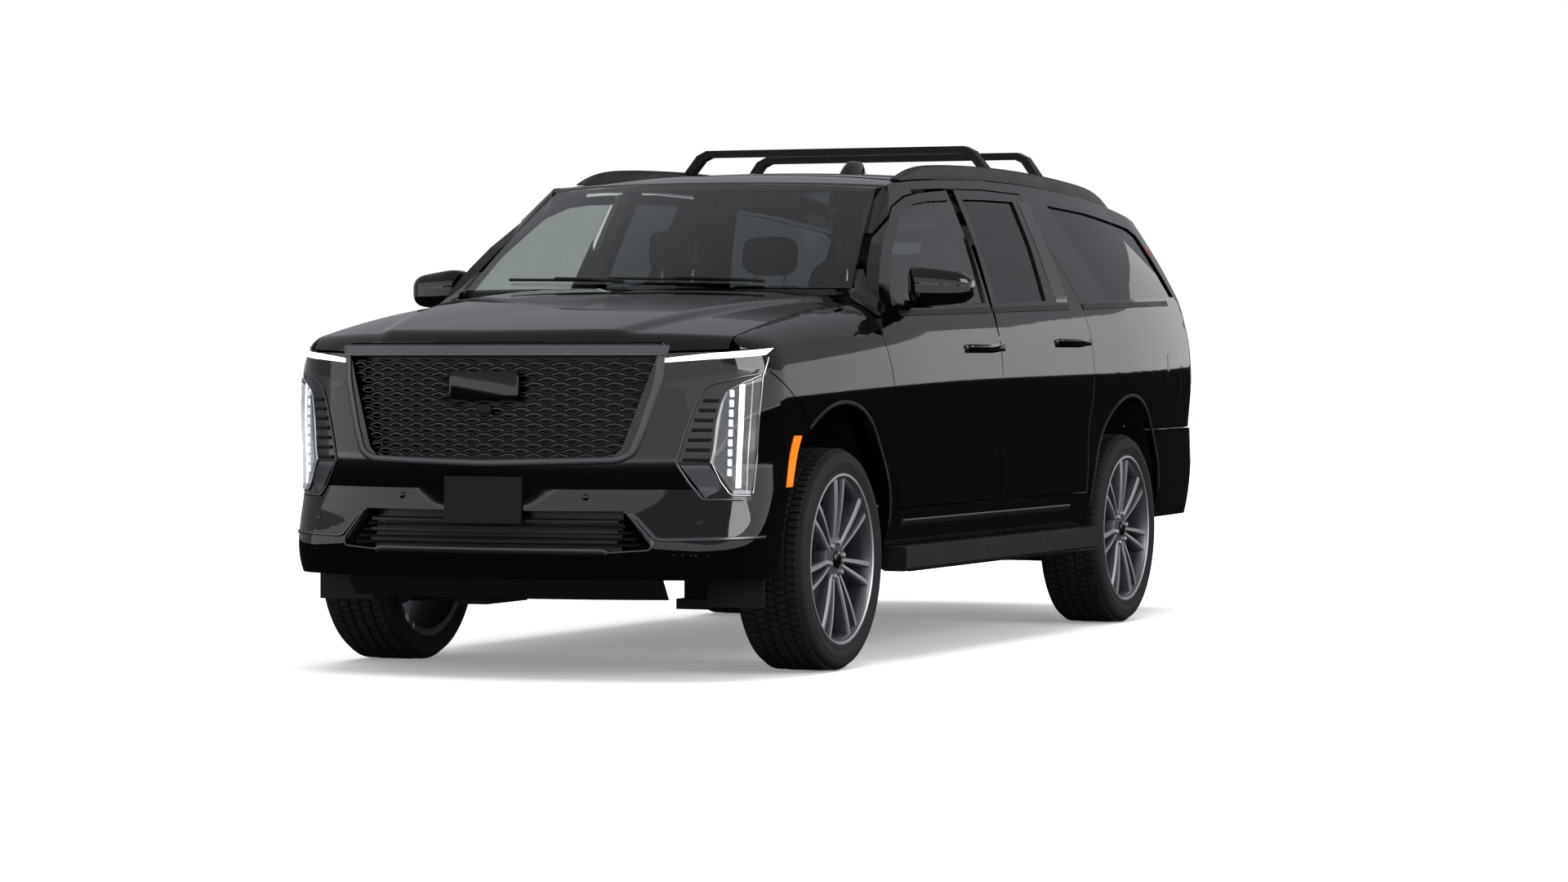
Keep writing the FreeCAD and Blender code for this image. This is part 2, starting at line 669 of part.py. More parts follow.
def windshield():
    """Curved pane between the pillars, the cowl and the roof."""
    shares = [i / 6 for i in range(7)]
    sides = [-1 + i / 6 for i in range(13)]
    outer = [[glass_point(side, share) for side in sides] for share in shares]
    inward = Vector(0, 0.53, -0.85) * Size.glass_wall
    inner = [[point + inward for point in row] for row in outer]
    return thick([outer], [inner])


def cowl():
    """Panel under the base of the windshield, from the hood to the firewall."""
    half = 832
    firewall_y = FRONT_AXLE_Y + 566
    front = [(x, COWL_Y + 6 + 0.000388 * x ** 2) for x in range(-half, half + 1, 70)]
    panel = prism(front + [(half, firewall_y), (-half, firewall_y)], "z", Size.cowl_height - 27,
                  Size.cowl_height - 15)
    lip = front + [(x, y + 16) for x, y in front[::-1]]
    return panel.fuse(prism(lip, "z", Size.cowl_height - 27, Size.cowl_height - 5))


def hood_front(x):
    """Foremost edge of the hood in plan."""
    return front_y(x, Size.nose_height) + 12


def hood_ridge(y):
    """How far out the crease of the hood lies."""
    share = (y - NOSE_Y) / (COWL_Y - NOSE_Y)
    return min(450 + 300 * share, HOOD_HALF - 80)


def hood_z(x, y):
    """Height of the hood: crowned, with a raised middle and a rounded nose."""
    back = (COWL_Y - y) / 1000
    ridge = hood_ridge(y)
    share = min(1, max(0, (ridge + 35 - abs(x)) / 70))
    raised = 14 * share ** 2 * (3 - 2 * share)
    z = Size.cowl_height - 85 * back - 52 * back ** 2 - 58 * (abs(x) / HOOD_HALF) ** 2.6 - 14 + raised
    behind = y - hood_front(x)
    if behind < 60:
        fall = z - Size.nose_height
        z -= fall * (1 - math.sqrt(max(0, 1 - (1 - max(0, behind) / 60) ** 2)))
    return z


def hood():
    """Hood panel with its nose."""
    half = HOOD_HALF - Size.panel_gap / 2
    rows = []
    for behind in (0, 3, 10, 22, 40, 60, 110):
        rows.append(("near", behind))
    for share in (0.15, 0.32, 0.5, 0.68, 0.85, 1):
        rows.append(("far", share))
    outer = []
    for kind, value in rows:
        line = []
        for side in HOOD_COLUMNS:
            ridge_share = side[1]
            x = 0
            for step in range(3):
                start = hood_front(x)
                end = min(COWL_Y - 10 + 0.000388 * x ** 2, DOOR_FRONT_Y + 35 - Size.hood_relief)
                y = start + value if kind == "near" else start + 110 + (end - start - 110) * value
                ridge = hood_ridge(y)
                if side[0] == "in":
                    x = ridge_share * (ridge - 45)
                elif side[0] == "at":
                    x = math.copysign(1, ridge_share) * (ridge + abs(ridge_share) - 100)
                else:
                    x = math.copysign(1, ridge_share) * (ridge + 45 + abs(ridge_share) * (half - ridge - 45))
            line.append(Vector(x, y, hood_z(x, y)))
        outer.append(line)
    inner = []
    for (kind, value), row in zip(rows, outer):
        inward = 0.6 * Size.hood_wall * (1 if kind == "near" else 1 - value)
        inner.append([point + Vector(0, inward, -Size.hood_wall) for point in row])
    panel = thick([outer], [inner])
    notch = Size.grille_top + 52
    width = Size.grille_top_half + 18
    header = block((-width, width), (NOSE_Y - 50, NOSE_Y + 400), (1000, notch))
    front = front_skin(120)
    front.translate(Vector(0, 0, Size.panel_gap))
    return largest(panel.cut(header).cut(front))


HOOD_RIGHT = [("in", 0.25), ("in", 0.5), ("in", 0.75), ("at", 55), ("at", 78), ("at", 100), ("at", 122),
              ("at", 145), ("out", 0.35), ("out", 0.7), ("out", 1)]
HOOD_COLUMNS = [(kind, -value) for kind, value in HOOD_RIGHT[::-1]] + [("in", 0)] + HOOD_RIGHT


def roof_z(x, y):
    """Height of the roof: crowned, and falling to the windshield."""
    ahead = max(0, HEADER_Y + 432 - y)
    edge = HALF_WIDTH - Size.gutter_inset
    return gutter_z(y) + Size.roof_crown * (1 - (x / edge) ** 2) - 0.0001 * ahead ** 2


def roof_sheet(edge_gap, rise, depth):
    """Sheet over the cabin, with its top raised and its underside at a depth."""
    outer = []
    for share in [i / 10 for i in range(11)]:
        row = []
        for side in [-1 + i / 6 for i in range(13)]:
            x = side * (HALF_WIDTH - Size.gutter_inset - edge_gap)
            start = HEADER_Y + 6 + 0.000329 * x ** 2
            end = PANE_REAR_Y + 45 - 0.00012 * x ** 2
            y = start + (end - start) * share
            x = side * (HALF_WIDTH - Size.gutter_inset - side_taper(y) - edge_gap)
            row.append(Vector(x, y, roof_z(x, y)))
        outer.append(row)
    top = [[point + Vector(0, 0, rise) for point in row] for row in outer]
    inner = [[point + Vector(0, 0, -depth) for point in row] for row in outer]
    return thick([top], [inner])


def roof():
    """Roof panel between the side rails."""
    return roof_sheet(4, 0, Size.roof_wall)


def roof_room():
    """Space that the side rails leave for the roof panel, open at both ends."""
    return roof_sheet(3, 40, Size.roof_wall + 0.5)


# Front and rear ends, which wrap round the corners.
def columns(start_y, side_count, end_shares):
    """Columns of a band from the left side round the corner to the middle."""
    side = [("side", i / side_count, start_y) for i in range(side_count)]
    corner = [("corner", angle) for angle in (0, 12, 22, 33, 45, 57, 68, 78, 90)]
    return side + corner + [("end", share) for share in end_shares]


def wrapped(bands, cols, end_fn, radius, sign, depth, both=True, shares=None):
    """Solid skin of bands over columns; both mirrors the columns to the other side."""
    outer_bands = []
    inner_bands = []
    for band in bands:
        rows = BAND_ROWS[band]
        if shares and band in shares:
            rows = [(share, inset_at(band, share)) for share in shares[band]]
        outer = []
        inner = []
        for share, inset in rows:
            half = [wrap_point(band, share, inset, end_fn, radius, sign, column) for column in cols]
            line = half
            if both:
                line = half + [Vector(-p.x, p.y, p.z) for p in half[::-1][1:]]
            outer.append(line)
            inner.append(inset_line(line, depth, sign))
        outer_bands.append(outer)
        inner_bands.append(inner)
    return thick(outer_bands, inner_bands)


def inset_at(band, share):
    """Inset between the named rows of a band."""
    rows = BAND_ROWS[band]
    for (low, first), (high, last) in zip(rows, rows[1:]):
        if share <= high:
            return first + (last - first) * (share - low) / (high - low)
    return rows[-1][1]


def inset_line(line, depth, sign):
    """Row of points moved inward in plan by a depth."""
    moved = []
    for index, point in enumerate(line):
        before = line[max(0, index - 1)]
        after = line[min(len(line) - 1, index + 1)]
        along = after - before
        length = math.hypot(along.x, along.y)
        moved.append(point + Vector(along.y, -along.x, 0) * (-sign * depth / length))
    return moved


END_SHARES = [0.86, 0.7, 0.52, 0.35, 0.17, 0]


def fender_edge():
    """Outline of the fender in the side view."""
    gap = Size.panel_gap
    door = [(y - gap, z) for y, z in front_door_line()]
    return [
        (DOOR_FRONT_Y + 35 - gap, Size.cowl_height), (DOOR_FRONT_Y + 35 - gap, belt_z(DOOR_FRONT_Y) - 32),
    ] + door[:-1] + [
        (DOOR_FRONT_Y + 165 - gap, Size.sill_height - 60),
        (FRONT_AXLE_Y, Size.sill_height - 60), (FRONT_AXLE_Y - 262, 915), (FRONT_AXLE_Y - 376, 999),
        (FRONT_AXLE_Y - 593, 1126), (FRONT_AXLE_Y - 590, shoulder_z(FRONT_AXLE_Y - 590) + 5),
        (FRONT_AXLE_Y - 685, shoulder_z(FRONT_AXLE_Y - 685) + 5),
        (FRONT_AXLE_Y - 780, shoulder_z(FRONT_AXLE_Y - 780) + 5),
        (FRONT_AXLE_Y - 800, Size.cowl_height),
    ]


def fender_rows(band, cols):
    """Rows of a band of the fender; the band named top runs from the shoulder to the hood."""
    if band != "top":
        return [[wrap_point(band, share, inset, front_y, Size.nose_radius, -1, column) for column in cols]
                for share, inset in BAND_ROWS[band]]
    crease = [wrap_point("flank", 1, 29.5, front_y, Size.nose_radius, -1, column) for column in cols]
    return [[fender_top(point, share) for point in crease] for share in (0, 0.25, 0.5, 0.75, 1)]


def fender_skin():
    """Skin of the fender before it is cut to its outline."""
    cols = columns(DOOR_FRONT_Y + 160, 8, [])[:-3]
    outer = [fender_rows(band, cols) for band in ("sill", "flank", "top")]
    inner = []
    for rows in outer[:2]:
        inner.append([inset_line(line, Size.panel_wall, -1) for line in rows])
    top = []
    for index, line in enumerate(outer[2]):
        sink = Vector(0, 0, -Size.panel_wall * index / (len(outer[2]) - 1))
        inward = inset_line(line, Size.panel_wall, -1)
        top.append([point + sink for point in inward])
    return thick(outer, inner + [top])


def fender():
    """Left front fender, from the door to the lamp, with its top up to the hood."""
    skin = fender_skin().common(prism(fender_edge(), "x", *X_CUT))
    skin = skin.cut(arch_cut(FRONT_AXLE_Y, Size.arch_radius))
    hood_side = HOOD_HALF + Size.panel_gap / 2
    skin = skin.cut(block((0, hood_side - 0.01), (NOSE_Y, DOOR_FRONT_Y + 200), (1000, 1600)))
    return largest(skin)


def fender_top(point, share):
    """Point of the fender between the shoulder crease and the hood edge."""
    hood_x = HOOD_HALF + Size.panel_gap / 2
    top = hood_z(hood_x, min(point.y, COWL_Y + 260))
    bend = math.pi / 2 * share
    in_share = 0.5 * share + 0.5 * (1 - math.cos(bend))
    up_share = 0.5 * share + 0.5 * math.sin(bend)
    return Vector(point.x + (hood_x - point.x) * in_share, point.y, point.z + (top - point.z) * up_share)


def grille_outline(grow=0):
    """Opening of the grille in the front view, as (x, z), with a shallow point at the bottom."""
    top_half = Size.grille_top_half + grow
    low_half = Size.grille_low_half + grow
    low = Size.grille_bottom - grow
    return [
        (-top_half, Size.grille_top + grow), (top_half, Size.grille_top + grow),
        (low_half + 12, low + 58), (low_half - 28, low + 20), (0, low - Size.grille_point),
        (-low_half + 28, low + 20), (-low_half - 12, low + 58),
    ]


def lamp_outline(grow=0):
    """Opening of the left lamp in the front view, as (x, z)."""
    outer = HALF_WIDTH - Size.lamp_inset + grow
    inner = outer - 2 * grow
    high = Size.lamp_top + grow
    low = Size.lamp_bottom - grow
    return [
        (inner - 238, high - 33), (outer - 33, high - 3), (outer, high), (outer - 18, low + 3),
        (outer - 103, low), (inner - 163, Size.lamp_bottom + 45), (inner - 238, Size.lamp_bottom + 135),
        (inner - 203, Size.lamp_bottom + 305),
    ]


def blade_outline(grow=0):
    """Opening of the thin running lamp under the hood edge, as (x, z)."""
    start = Size.grille_top_half + 33 - grow
    end = HALF_WIDTH + 70
    low = Size.grille_top - 2 - grow
    high = Size.grille_top - 2 + Size.blade_rise
    return [(start, low), (start, high), (end, high + 10), (end, low)]


def intake_outline(grow=0):
    """Lower air intake in the front view, as (x, z)."""
    high = Size.intake_top + grow
    low = Size.intake_bottom - grow
    wide = Size.grille_top_half + 6 + grow
    return [(108 - wide, high), (wide - 108, high), (wide, low + 18), (wide - 68, low), (68 - wide, low),
            (-wide, low + 18)]


def flip(points):
    """Front outline on the other side."""
    return [(-x, z) for x, z in points]


NOSE_CUT = (NOSE_Y - 100, NOSE_Y + 620)
LAMP_REAR = FRONT_AXLE_Y - 600
COVER_WALL = Size.panel_wall * 1.6


def front_skin(depth):
    """Skin of the front from one wheel opening to the other."""
    cols = columns(FRONT_AXLE_Y - 200, 3, END_SHARES)
    return wrapped(["sill", "flank"], cols, front_y, Size.nose_radius, -1, depth)


def front_bumper():
    """Bumper cover and grille surround, open at the grille, the lamps and the intake."""
    skin = front_skin(COVER_WALL)
    for cut in (grille_outline(), intake_outline()):
        skin = skin.cut(prism(cut, "y", *NOSE_CUT))
    for cut in (lamp_outline(), flip(lamp_outline()), blade_outline(), flip(blade_outline())):
        skin = skin.cut(prism(cut, "y", NOSE_CUT[0], LAMP_REAR + Size.seat_gap))
    skin = skin.cut(arch_cut(FRONT_AXLE_Y, Size.arch_radius))
    fender_side = [(y - Size.panel_gap, z - Size.panel_gap / 2) for y, z in fender_edge()]
    for reach in (X_CUT, (-X_CUT[1], -X_CUT[0])):
        skin = skin.cut(prism(fender_side, "x", *reach))
    header = (-Size.grille_top_half - 20, Size.grille_top_half + 20)
    return largest(skin.cut(block(header, NOSE_CUT, (Size.grille_top, Size.cowl_height))))


def front_plate(half, low, high, outer, inner):
    """Curved plate that follows the front, between two depths behind it."""
    faces = []
    for depth in (outer, inner):
        faces.append([[Vector(half * share, front_y(half * share, z) + depth, z)
                       for share in (-1, -0.66, -0.33, 0, 0.33, 0.66, 1)] for z in (low, high)])
    return thick([faces[0]], [faces[1]])


def inner_face(half):
    """How far the inside of the bumper cover lies behind its outside, at a place across."""
    slope = 2 * front_bow(Size.grille_top) * half
    return COVER_WALL * math.sqrt(1 + slope ** 2) + Size.seat_gap


def grille_half(z):
    """Half the width of the grille opening at a height."""
    edge = sorted((high, x) for x, high in grille_outline() if x >= 0)
    for (low, first), (high, last) in zip(edge, edge[1:]):
        if z <= high:
            return first + (last - first) * (z - low) / (high - low)
    return edge[-1][1]


def wave_bar(z, phase, depth):
    """Mesh row of the grille: a bar that rises and falls, and follows the front."""
    step = Size.mesh_pitch / 2
    half = grille_half(z - 10) - Size.panel_gap
    inside = math.ceil(half / step) - 1
    rings = []
    for x in [-half] + [step * index for index in range(-inside, inside + 1)] + [half]:
        high = z - 4 + 8 * abs((x / step + phase) % 2 - 1)
        y = front_y(x, z) + depth[0]
        back = front_y(x, z) + depth[1]
        rings.append([Vector(x, y, high - 2.5), Vector(x, y, high + 2.5), Vector(x, back, high + 3.5),
                      Vector(x, back, high - 3.5)])
    faces = [Part.Face(Part.makePolygon(ring + ring[:1])) for ring in (rings[0], rings[-1])]
    for here, after in zip(rings, rings[1:]):
        for corner in range(4):
            follow = (corner + 1) % 4
            for triangle in ((here[corner], here[follow], after[follow]),
                             (here[corner], after[follow], after[corner])):
                faces.append(Part.Face(Part.makePolygon(list(triangle) + [triangle[0]])))
    solid = Part.Solid(Part.Shell(faces))
    if solid.Volume < 0:
        solid.reverse()
    return solid


def grille():
    """Grille mesh in staggered waves before its backing, the header bar and the slats of the intake."""
    seat = inner_face(Size.grille_top_half)
    back = front_skin(COVER_WALL)
    back.translate(Vector(0, seat, 0))
    room = prism(grille_outline(15), "y", NOSE_Y - 100, NOSE_Y + 400)
    panel = back.common(room)
    panel = largest(panel.cut(block((-900, 900), NOSE_CUT, (Size.grille_top + 3 - Size.seat_gap, 1400))))
    header = front_plate(Size.grille_top_half + 14, Size.grille_top + 3, Size.grille_top + 48, 4, 74)
    pieces = [panel, header]
    rows = int((Size.grille_top - Size.grille_bottom - 30) / Size.mesh_rise)
    for row in range(rows):
        z = Size.grille_top - 16 - Size.mesh_rise * row
        pieces.append(wave_bar(z, row % 2, (16, seat - Size.seat_gap)))
    shut = inner_face(Size.grille_low_half)
    low, high = Size.intake_bottom + 2, Size.intake_top - 2
    half = Size.grille_low_half
    pieces.append(front_plate(half, low - 14, high + 14, shut, shut + 6))
    for level in (0.25, 0.5, 0.75):
        z = low + (high - low) * level
        pieces.append(front_plate(half, z - 5, z + 5, 12, shut - Size.seat_gap))
    return pieces


def front_lamp():
    """Left lamp: closed body behind a clear front, flush with the skin."""
    body = front_skin(COVER_WALL)
    reach = (NOSE_CUT[0], LAMP_REAR)
    main = body.common(prism(lamp_outline(-Size.seat_gap), "y", *reach))
    blade = body.common(prism(blade_outline(-Size.seat_gap), "y", *reach))
    limit = block((500, HALF_WIDTH + 10), reach, (600, 1300))
    return [largest(main.common(limit)), largest(blade.common(limit))]


def rear_shares():
    """Rows of the flank that lie above the rear bumper."""
    low = (Size.bumper_top + 6 - Size.line_height) / (shoulder_z(REAR_AXLE_Y) - Size.line_height)
    return {"flank": [low, 0.42, 0.57, 0.75, 0.88, 1], "pane": [0, 0.25, 0.5, 0.75, 0.93]}


def rear_skin(depth):
    """Skin of the rear end above the bumper, from one quarter to the other."""
    cols = columns(PANE_REAR_Y - 260, 2, [0.8, 0.55, 0.28, 0])
    return wrapped(["flank", "shoulder", "pane"], cols, tail_y, Size.tail_radius, 1, depth, True,
                   rear_shares())


def tailgate_outline(grow=0):
    """Outline of the tailgate in the rear view, as (x, z)."""
    low = Size.tailgate_half + grow
    high = Size.tailgate_half - 100 + grow
    knee = Size.belt_height + 55
    top = gutter_z(PANE_REAR_Y) - 26 + grow
    return [(-low, 500), (low, 500), (low, knee), (high, top), (-high, top), (-low, knee)]


def tail_window():
    """Window opening of the tailgate, as (x, z)."""
    knee = Size.belt_height + 85
    half = Size.tailgate_half - 70
    top = gutter_z(PANE_REAR_Y) - 95
    return [(-half, knee), (half, knee), (half - 85, top), (85 - half, top)]


TAIL_CUT = (TAIL_Y - 480, TAIL_Y + 100)


def tailgate():
    """Tailgate with its window frame and the spoiler lip over the glass."""
    skin = rear_skin(Size.door_wall)
    gate = skin.common(prism(tailgate_outline(), "y", *TAIL_CUT))
    return largest(gate.cut(prism(tail_window(), "y", *TAIL_CUT)))


def tailgate_pane():
    """Glass of the tailgate, set in from its frame."""
    skin = rear_skin(Size.glass_wall)
    skin.translate(Vector(0, -Size.glass_inset, 0))
    return largest(skin.common(prism(tail_window(), "y", *TAIL_CUT)))


def lip_room():
    """Space round the lip of the tailgate over its glass."""
    half = HALF_WIDTH - Size.gutter_inset - side_taper(PANE_REAR_Y)
    front = [(half * share, PANE_REAR_Y + 46 - 0.00012 * (half * share) ** 2) for share in
             (-1, -0.75, -0.5, -0.25, 0, 0.25, 0.5, 0.75, 1)]
    return prism(front + [(half, TAIL_Y), (-half, TAIL_Y)], "z", 1732, 2000)


def tail_line():
    """Region behind the rear edge of the body side, as (y, z)."""
    return [(PANE_REAR_Y + 3, 2100), (PANE_REAR_Y + 70, belt_z(PANE_REAR_Y)), (PANE_REAR_Y + 70, 500),
            (TAIL_Y + 200, 500), (TAIL_Y + 200, 2100)]


def tail_corner():
    """Left rear corner between the quarter and the tailgate: upright lamp and painted corner."""
    gap = Size.panel_gap / 2
    skin = rear_skin(Size.door_wall)
    inner = tailgate_outline(gap * 2)
    low, knee, top = inner[1], inner[2], inner[3]
    region = [(low[0], 500), (low[0], knee[1]), (top[0], top[1]), (top[0], 2100), (1200, 2100), (1200, 500)]
    corner = skin.common(prism(region, "y", PANE_REAR_Y - 300, TAIL_Y + 100))
    return largest(corner.common(prism(tail_line(), "x", 300, HALF_WIDTH + 100)).cut(lip_room()))


def rear_bumper():
    """Rear bumper cover from one wheel opening to the other."""
    cols = columns(REAR_AXLE_Y + 300, 3, [0.8, 0.55, 0.28, 0])
    high = (Size.bumper_top - Size.line_height) / (shoulder_z(REAR_AXLE_Y) - Size.line_height)
    skin = wrapped(["sill", "flank"], cols, bumper_y, Size.tail_radius + 50, 1, Size.tail_inset + 20, True,
                   {"flank": [0, high * 0.5, high]})
    return largest(skin.cut(arch_cut(REAR_AXLE_Y, Size.arch_radius)))


def spoiler():
    """Lip that carries the roof line over the tailgate glass."""
    rows = []
    for share in (0, 0.4, 0.8, 1):
        row = []
        for side in [-1 + i / 4 for i in range(9)]:
            edge = HALF_WIDTH - Size.gutter_inset - side_taper(PANE_REAR_Y) - 6
            x = side * edge
            y = PANE_REAR_Y + 52 - 0.00012 * x ** 2 + 95 * share
            z = roof_z(x, PANE_REAR_Y + 45) - 14 * share - 16 * share ** 2
            row.append(Vector(x, y, z))
        rows.append(row)
    under = []
    for drop, row in zip((78, 62, 30, 16), rows):
        under.append([point - Vector(0, 0, drop) for point in row])
    return thick([rows], [under])


def add_shape(label, shape):
    """Sub-part whose form is worked out from the sheet in code."""
    part = doc.addObject("Part::Feature", label)
    part.Label = label
    part.Shape = shape
    part.Placement = FreeCAD.Placement()
    NODES.append(part)
    return part


NODES = []


def bind(thing, expressions):
    """Tie properties of an object to the sheet."""
    for name, text in expressions.items():
        thing.setExpression(name, text)


def bar(name, size, corner):
    """Box whose size and low corner are expressions of the sheet."""
    box = doc.addObject("Part::Box", name)
    bind(box, {"Length": size[0], "Width": size[1], "Height": size[2],
               "Placement.Base.x": corner[0], "Placement.Base.y": corner[1], "Placement.Base.z": corner[2]})
    return box


def rod(name, radius, length, start, axis="x"):
    """Cylinder along an axis, from a start point given as expressions."""
    cylinder = doc.addObject("Part::Cylinder", name)
    turns = {"x": FreeCAD.Rotation(Vector(0, 1, 0), 90), "y": FreeCAD.Rotation(Vector(1, 0, 0), -90),
             "z": FreeCAD.Rotation()}
    cylinder.Placement = FreeCAD.Placement(Vector(), turns[axis])
    bind(cylinder, {"Radius": radius, "Height": length, "Placement.Base.x": start[0],
                    "Placement.Base.y": start[1], "Placement.Base.z": start[2]})
    return cylinder


def joined(label, pieces):
    """One solid from pieces that touch."""
    fuse = doc.addObject("Part::MultiFuse", label)
    fuse.Label = label
    fuse.Shapes = pieces
    NODES.append(fuse)
    return fuse


def grouped(label, pieces):
    """Separate solids on one body, kept in one node."""
    group = doc.addObject("Part::Compound", label)
    group.Label = label
    group.Links = pieces
    NODES.append(group)
    return group


# Expressions of the places that several sub-parts share.
NOSE = "(-(Sizes.front_overhang + Sizes.wheelbase + Sizes.rear_overhang) / 2)"
TAIL = "((Sizes.front_overhang + Sizes.wheelbase + Sizes.rear_overhang) / 2)"
FRONT_AXLE = "(%s + Sizes.front_overhang)" % NOSE
REAR_AXLE = "(%s - Sizes.rear_overhang)" % TAIL
AXLE_HEIGHT = "(Sizes.tyre_diameter / 2)"
KINGPIN = "(Sizes.track / 2 - Sizes.kingpin_inset)"


def worked_out(text):
    """Number that an expression of the sheet gives now, from a spare cell."""
    sheet.set("E1", "=" + text.replace("Sizes.", ""))
    sheet.recompute()
    return float(sheet.get("E1"))


def own_plane(body, role):
    """One of the body's own origin planes."""
    return next(item for item in body.Origin.OriginFeatures if item.Role == role)


def outline_sketch(body, name, points, role="XY_Plane"):
    """Closed straight-sided outline on a plane of its body; corners are pairs of expressions."""
    sketch = body.newObject("Sketcher::SketchObject", name)
    sketch.AttachmentSupport = [(own_plane(body, role), "")]
    sketch.MapMode = "FlatFace"
    places = [(worked_out(a), worked_out(b)) for a, b in points]
    count = len(places)
    for index, (a, b) in enumerate(places):
        after = places[(index + 1) % count]
        sketch.addGeometry(Part.LineSegment(Vector(a, b, 0), Vector(after[0], after[1], 0)), False)
    for index in range(count):
        sketch.addConstraint(Sketcher.Constraint("Coincident", index, 2, (index + 1) % count, 1))
    for index, (a, b) in enumerate(places):
        across, along = points[index]
        for direction, text, value in (("DistanceX", across, a), ("DistanceY", along, b)):
            at = sketch.addConstraint(Sketcher.Constraint(direction, -1, 1, index, 1, value))
            sketch.setExpression("Constraints[%d]" % at, text)
    return sketch


def new_body(label, place=None, turn=None):
    """Body with its own label, placed by expressions."""
    body = doc.addObject("PartDesign::Body", label)
    body.Label = label
    if turn:
        body.Placement = FreeCAD.Placement(Vector(), turn)
    if place:
        bind(body, {"Placement.Base.x": place[0], "Placement.Base.y": place[1], "Placement.Base.z": place[2]})
    return body


def turned(body, name, points):
    """Revolution of an outline about the wheel axis, which is the body's X axis."""
    sketch = outline_sketch(body, name + "_outline", points)
    feature = body.newObject("PartDesign::Revolution", name)
    feature.Profile = sketch
    feature.ReferenceAxis = (sketch, ["H_Axis"])
    feature.Angle = 360
    body.Tip = feature
    return feature


def padded_outline(body, name, points, length, role="XY_Plane", symmetric=True):
    """Pad of an outline, even about its plane unless told otherwise."""
    sketch = outline_sketch(body, name + "_outline", points, role)
    feature = body.newObject("PartDesign::Pad", name)
    feature.Profile = sketch
    feature.Midplane = symmetric
    feature.setExpression("Length", length)
    body.Tip = feature
    return feature


# Wheels: the outer face looks along the body's own +X.
SEAT_R = "(Sizes.rim_diameter / 2)"
TYRE_R = "(Sizes.tyre_diameter / 2)"
RIM_HALF = "(Sizes.rim_width / 2)"


def tyre(label, place, turn):
    """Tyre on its rim: tread, shoulders and two-part sidewalls."""
    body = new_body(label, place, turn)
    half = "(Sizes.tyre_width / 2)"
    tread = "(Sizes.tread_width / 2)"
    bead = "(%s - 11.3)" % RIM_HALF
    middle = "(%s + 54)" % SEAT_R
    right = [(bead, SEAT_R), (half, middle), (tread, TYRE_R)]
    left = [("-" + a, b) for a, b in right[::-1]]
    turned(body, label + "_ring", right + left)
    NODES.append(body)
    return body


def rim(label, place, turn):
    """Rim with its spokes, hub and brake disc."""
    body = new_body(label, place, turn)
    hub_r = "(Sizes.hub_diameter / 2)"
    face = "(%s - Sizes.spoke_inset)" % RIM_HALF
    back = "(%s - Sizes.spoke_depth)" % face
    disc_face = "20"
    disc_back = "(20 - Sizes.disc_wall)"
    hub = [("%s - 6" % face, "0"), ("%s - 6" % face, hub_r), ("40", hub_r), ("40", "85"), (disc_face, "85"),
           (disc_face, "Sizes.disc_diameter / 2"), (disc_back, "Sizes.disc_diameter / 2"),
           (disc_back, "SPINDLE"), ("64", "SPINDLE"), ("64", "0")]
    turned(body, label + "_hub", [(a, b.replace("SPINDLE", "36")) for a, b in hub])
    outer = "(%s - Sizes.barrel_wall / 2)" % SEAT_R
    spoke = [("-24", "hub_r"), ("24", "hub_r"), ("34", "190"),
             ("60", "outer"), ("-60", "outer"), ("-34", "190")]
    spoke = [(a, b.replace("hub_r", "(%s - 20)" % hub_r).replace("outer", outer)) for a, b in spoke]
    sketch = outline_sketch(body, label + "_spoke_outline", spoke, "YZ_Plane")
    sketch.setExpression("AttachmentOffset.Base.z", back)
    pad = body.newObject("PartDesign::Pad", label + "_spoke")
    pad.Profile = sketch
    pad.setExpression("Length", "Sizes.spoke_depth")
    body.Tip = pad
    doc.recompute()
    ring = body.newObject("PartDesign::PolarPattern", label + "_spokes")
    ring.Originals = [pad]
    ring.Axis = (next(item for item in body.Origin.OriginFeatures if item.Role == "X_Axis"), [""])
    ring.Angle = 360
    ring.setExpression("Occurrences", "Sizes.spoke_count")
    body.Tip = ring
    doc.recompute()
    top = "(%s + Sizes.flange_height)" % SEAT_R
    low = "(%s - 0.3)" % SEAT_R
    inside = "(%s - Sizes.barrel_wall)" % SEAT_R
    right = [("(%s - 11)" % RIM_HALF, low), ("(%s - 5)" % RIM_HALF, top), (RIM_HALF, top), (RIM_HALF, inside)]
    left = [("-" + a, b) for a, b in right[::-1]]
    turned(body, label + "_barrel", right + left)
    NODES.append(body)
    return body


def block_set(name, boxes):
    """Boxes from limits given as expressions: ((x0, x1), (y0, y1), (z0, z1))."""
    made = []
    for index, (x, y, z) in enumerate(boxes):
        size = ["(%s) - (%s)" % (high, low) for low, high in (x, y, z)]
        made.append(bar("%s_%d" % (name, index), size, [x[0], y[0], z[0]]))
    return made


def both_sides(boxes):
    """The same boxes and their mirror images."""
    return boxes + [(("-(%s)" % x[1], "-(%s)" % x[0]), y, z) for x, y, z in boxes]


def shift(base, amount):
    """Expression of a place plus a number."""
    return "(%s + %s)" % (base, amount)


def about(place, low, high):
    """Two expressions, from low to high about a place."""
    return shift(place, low), shift(place, high)


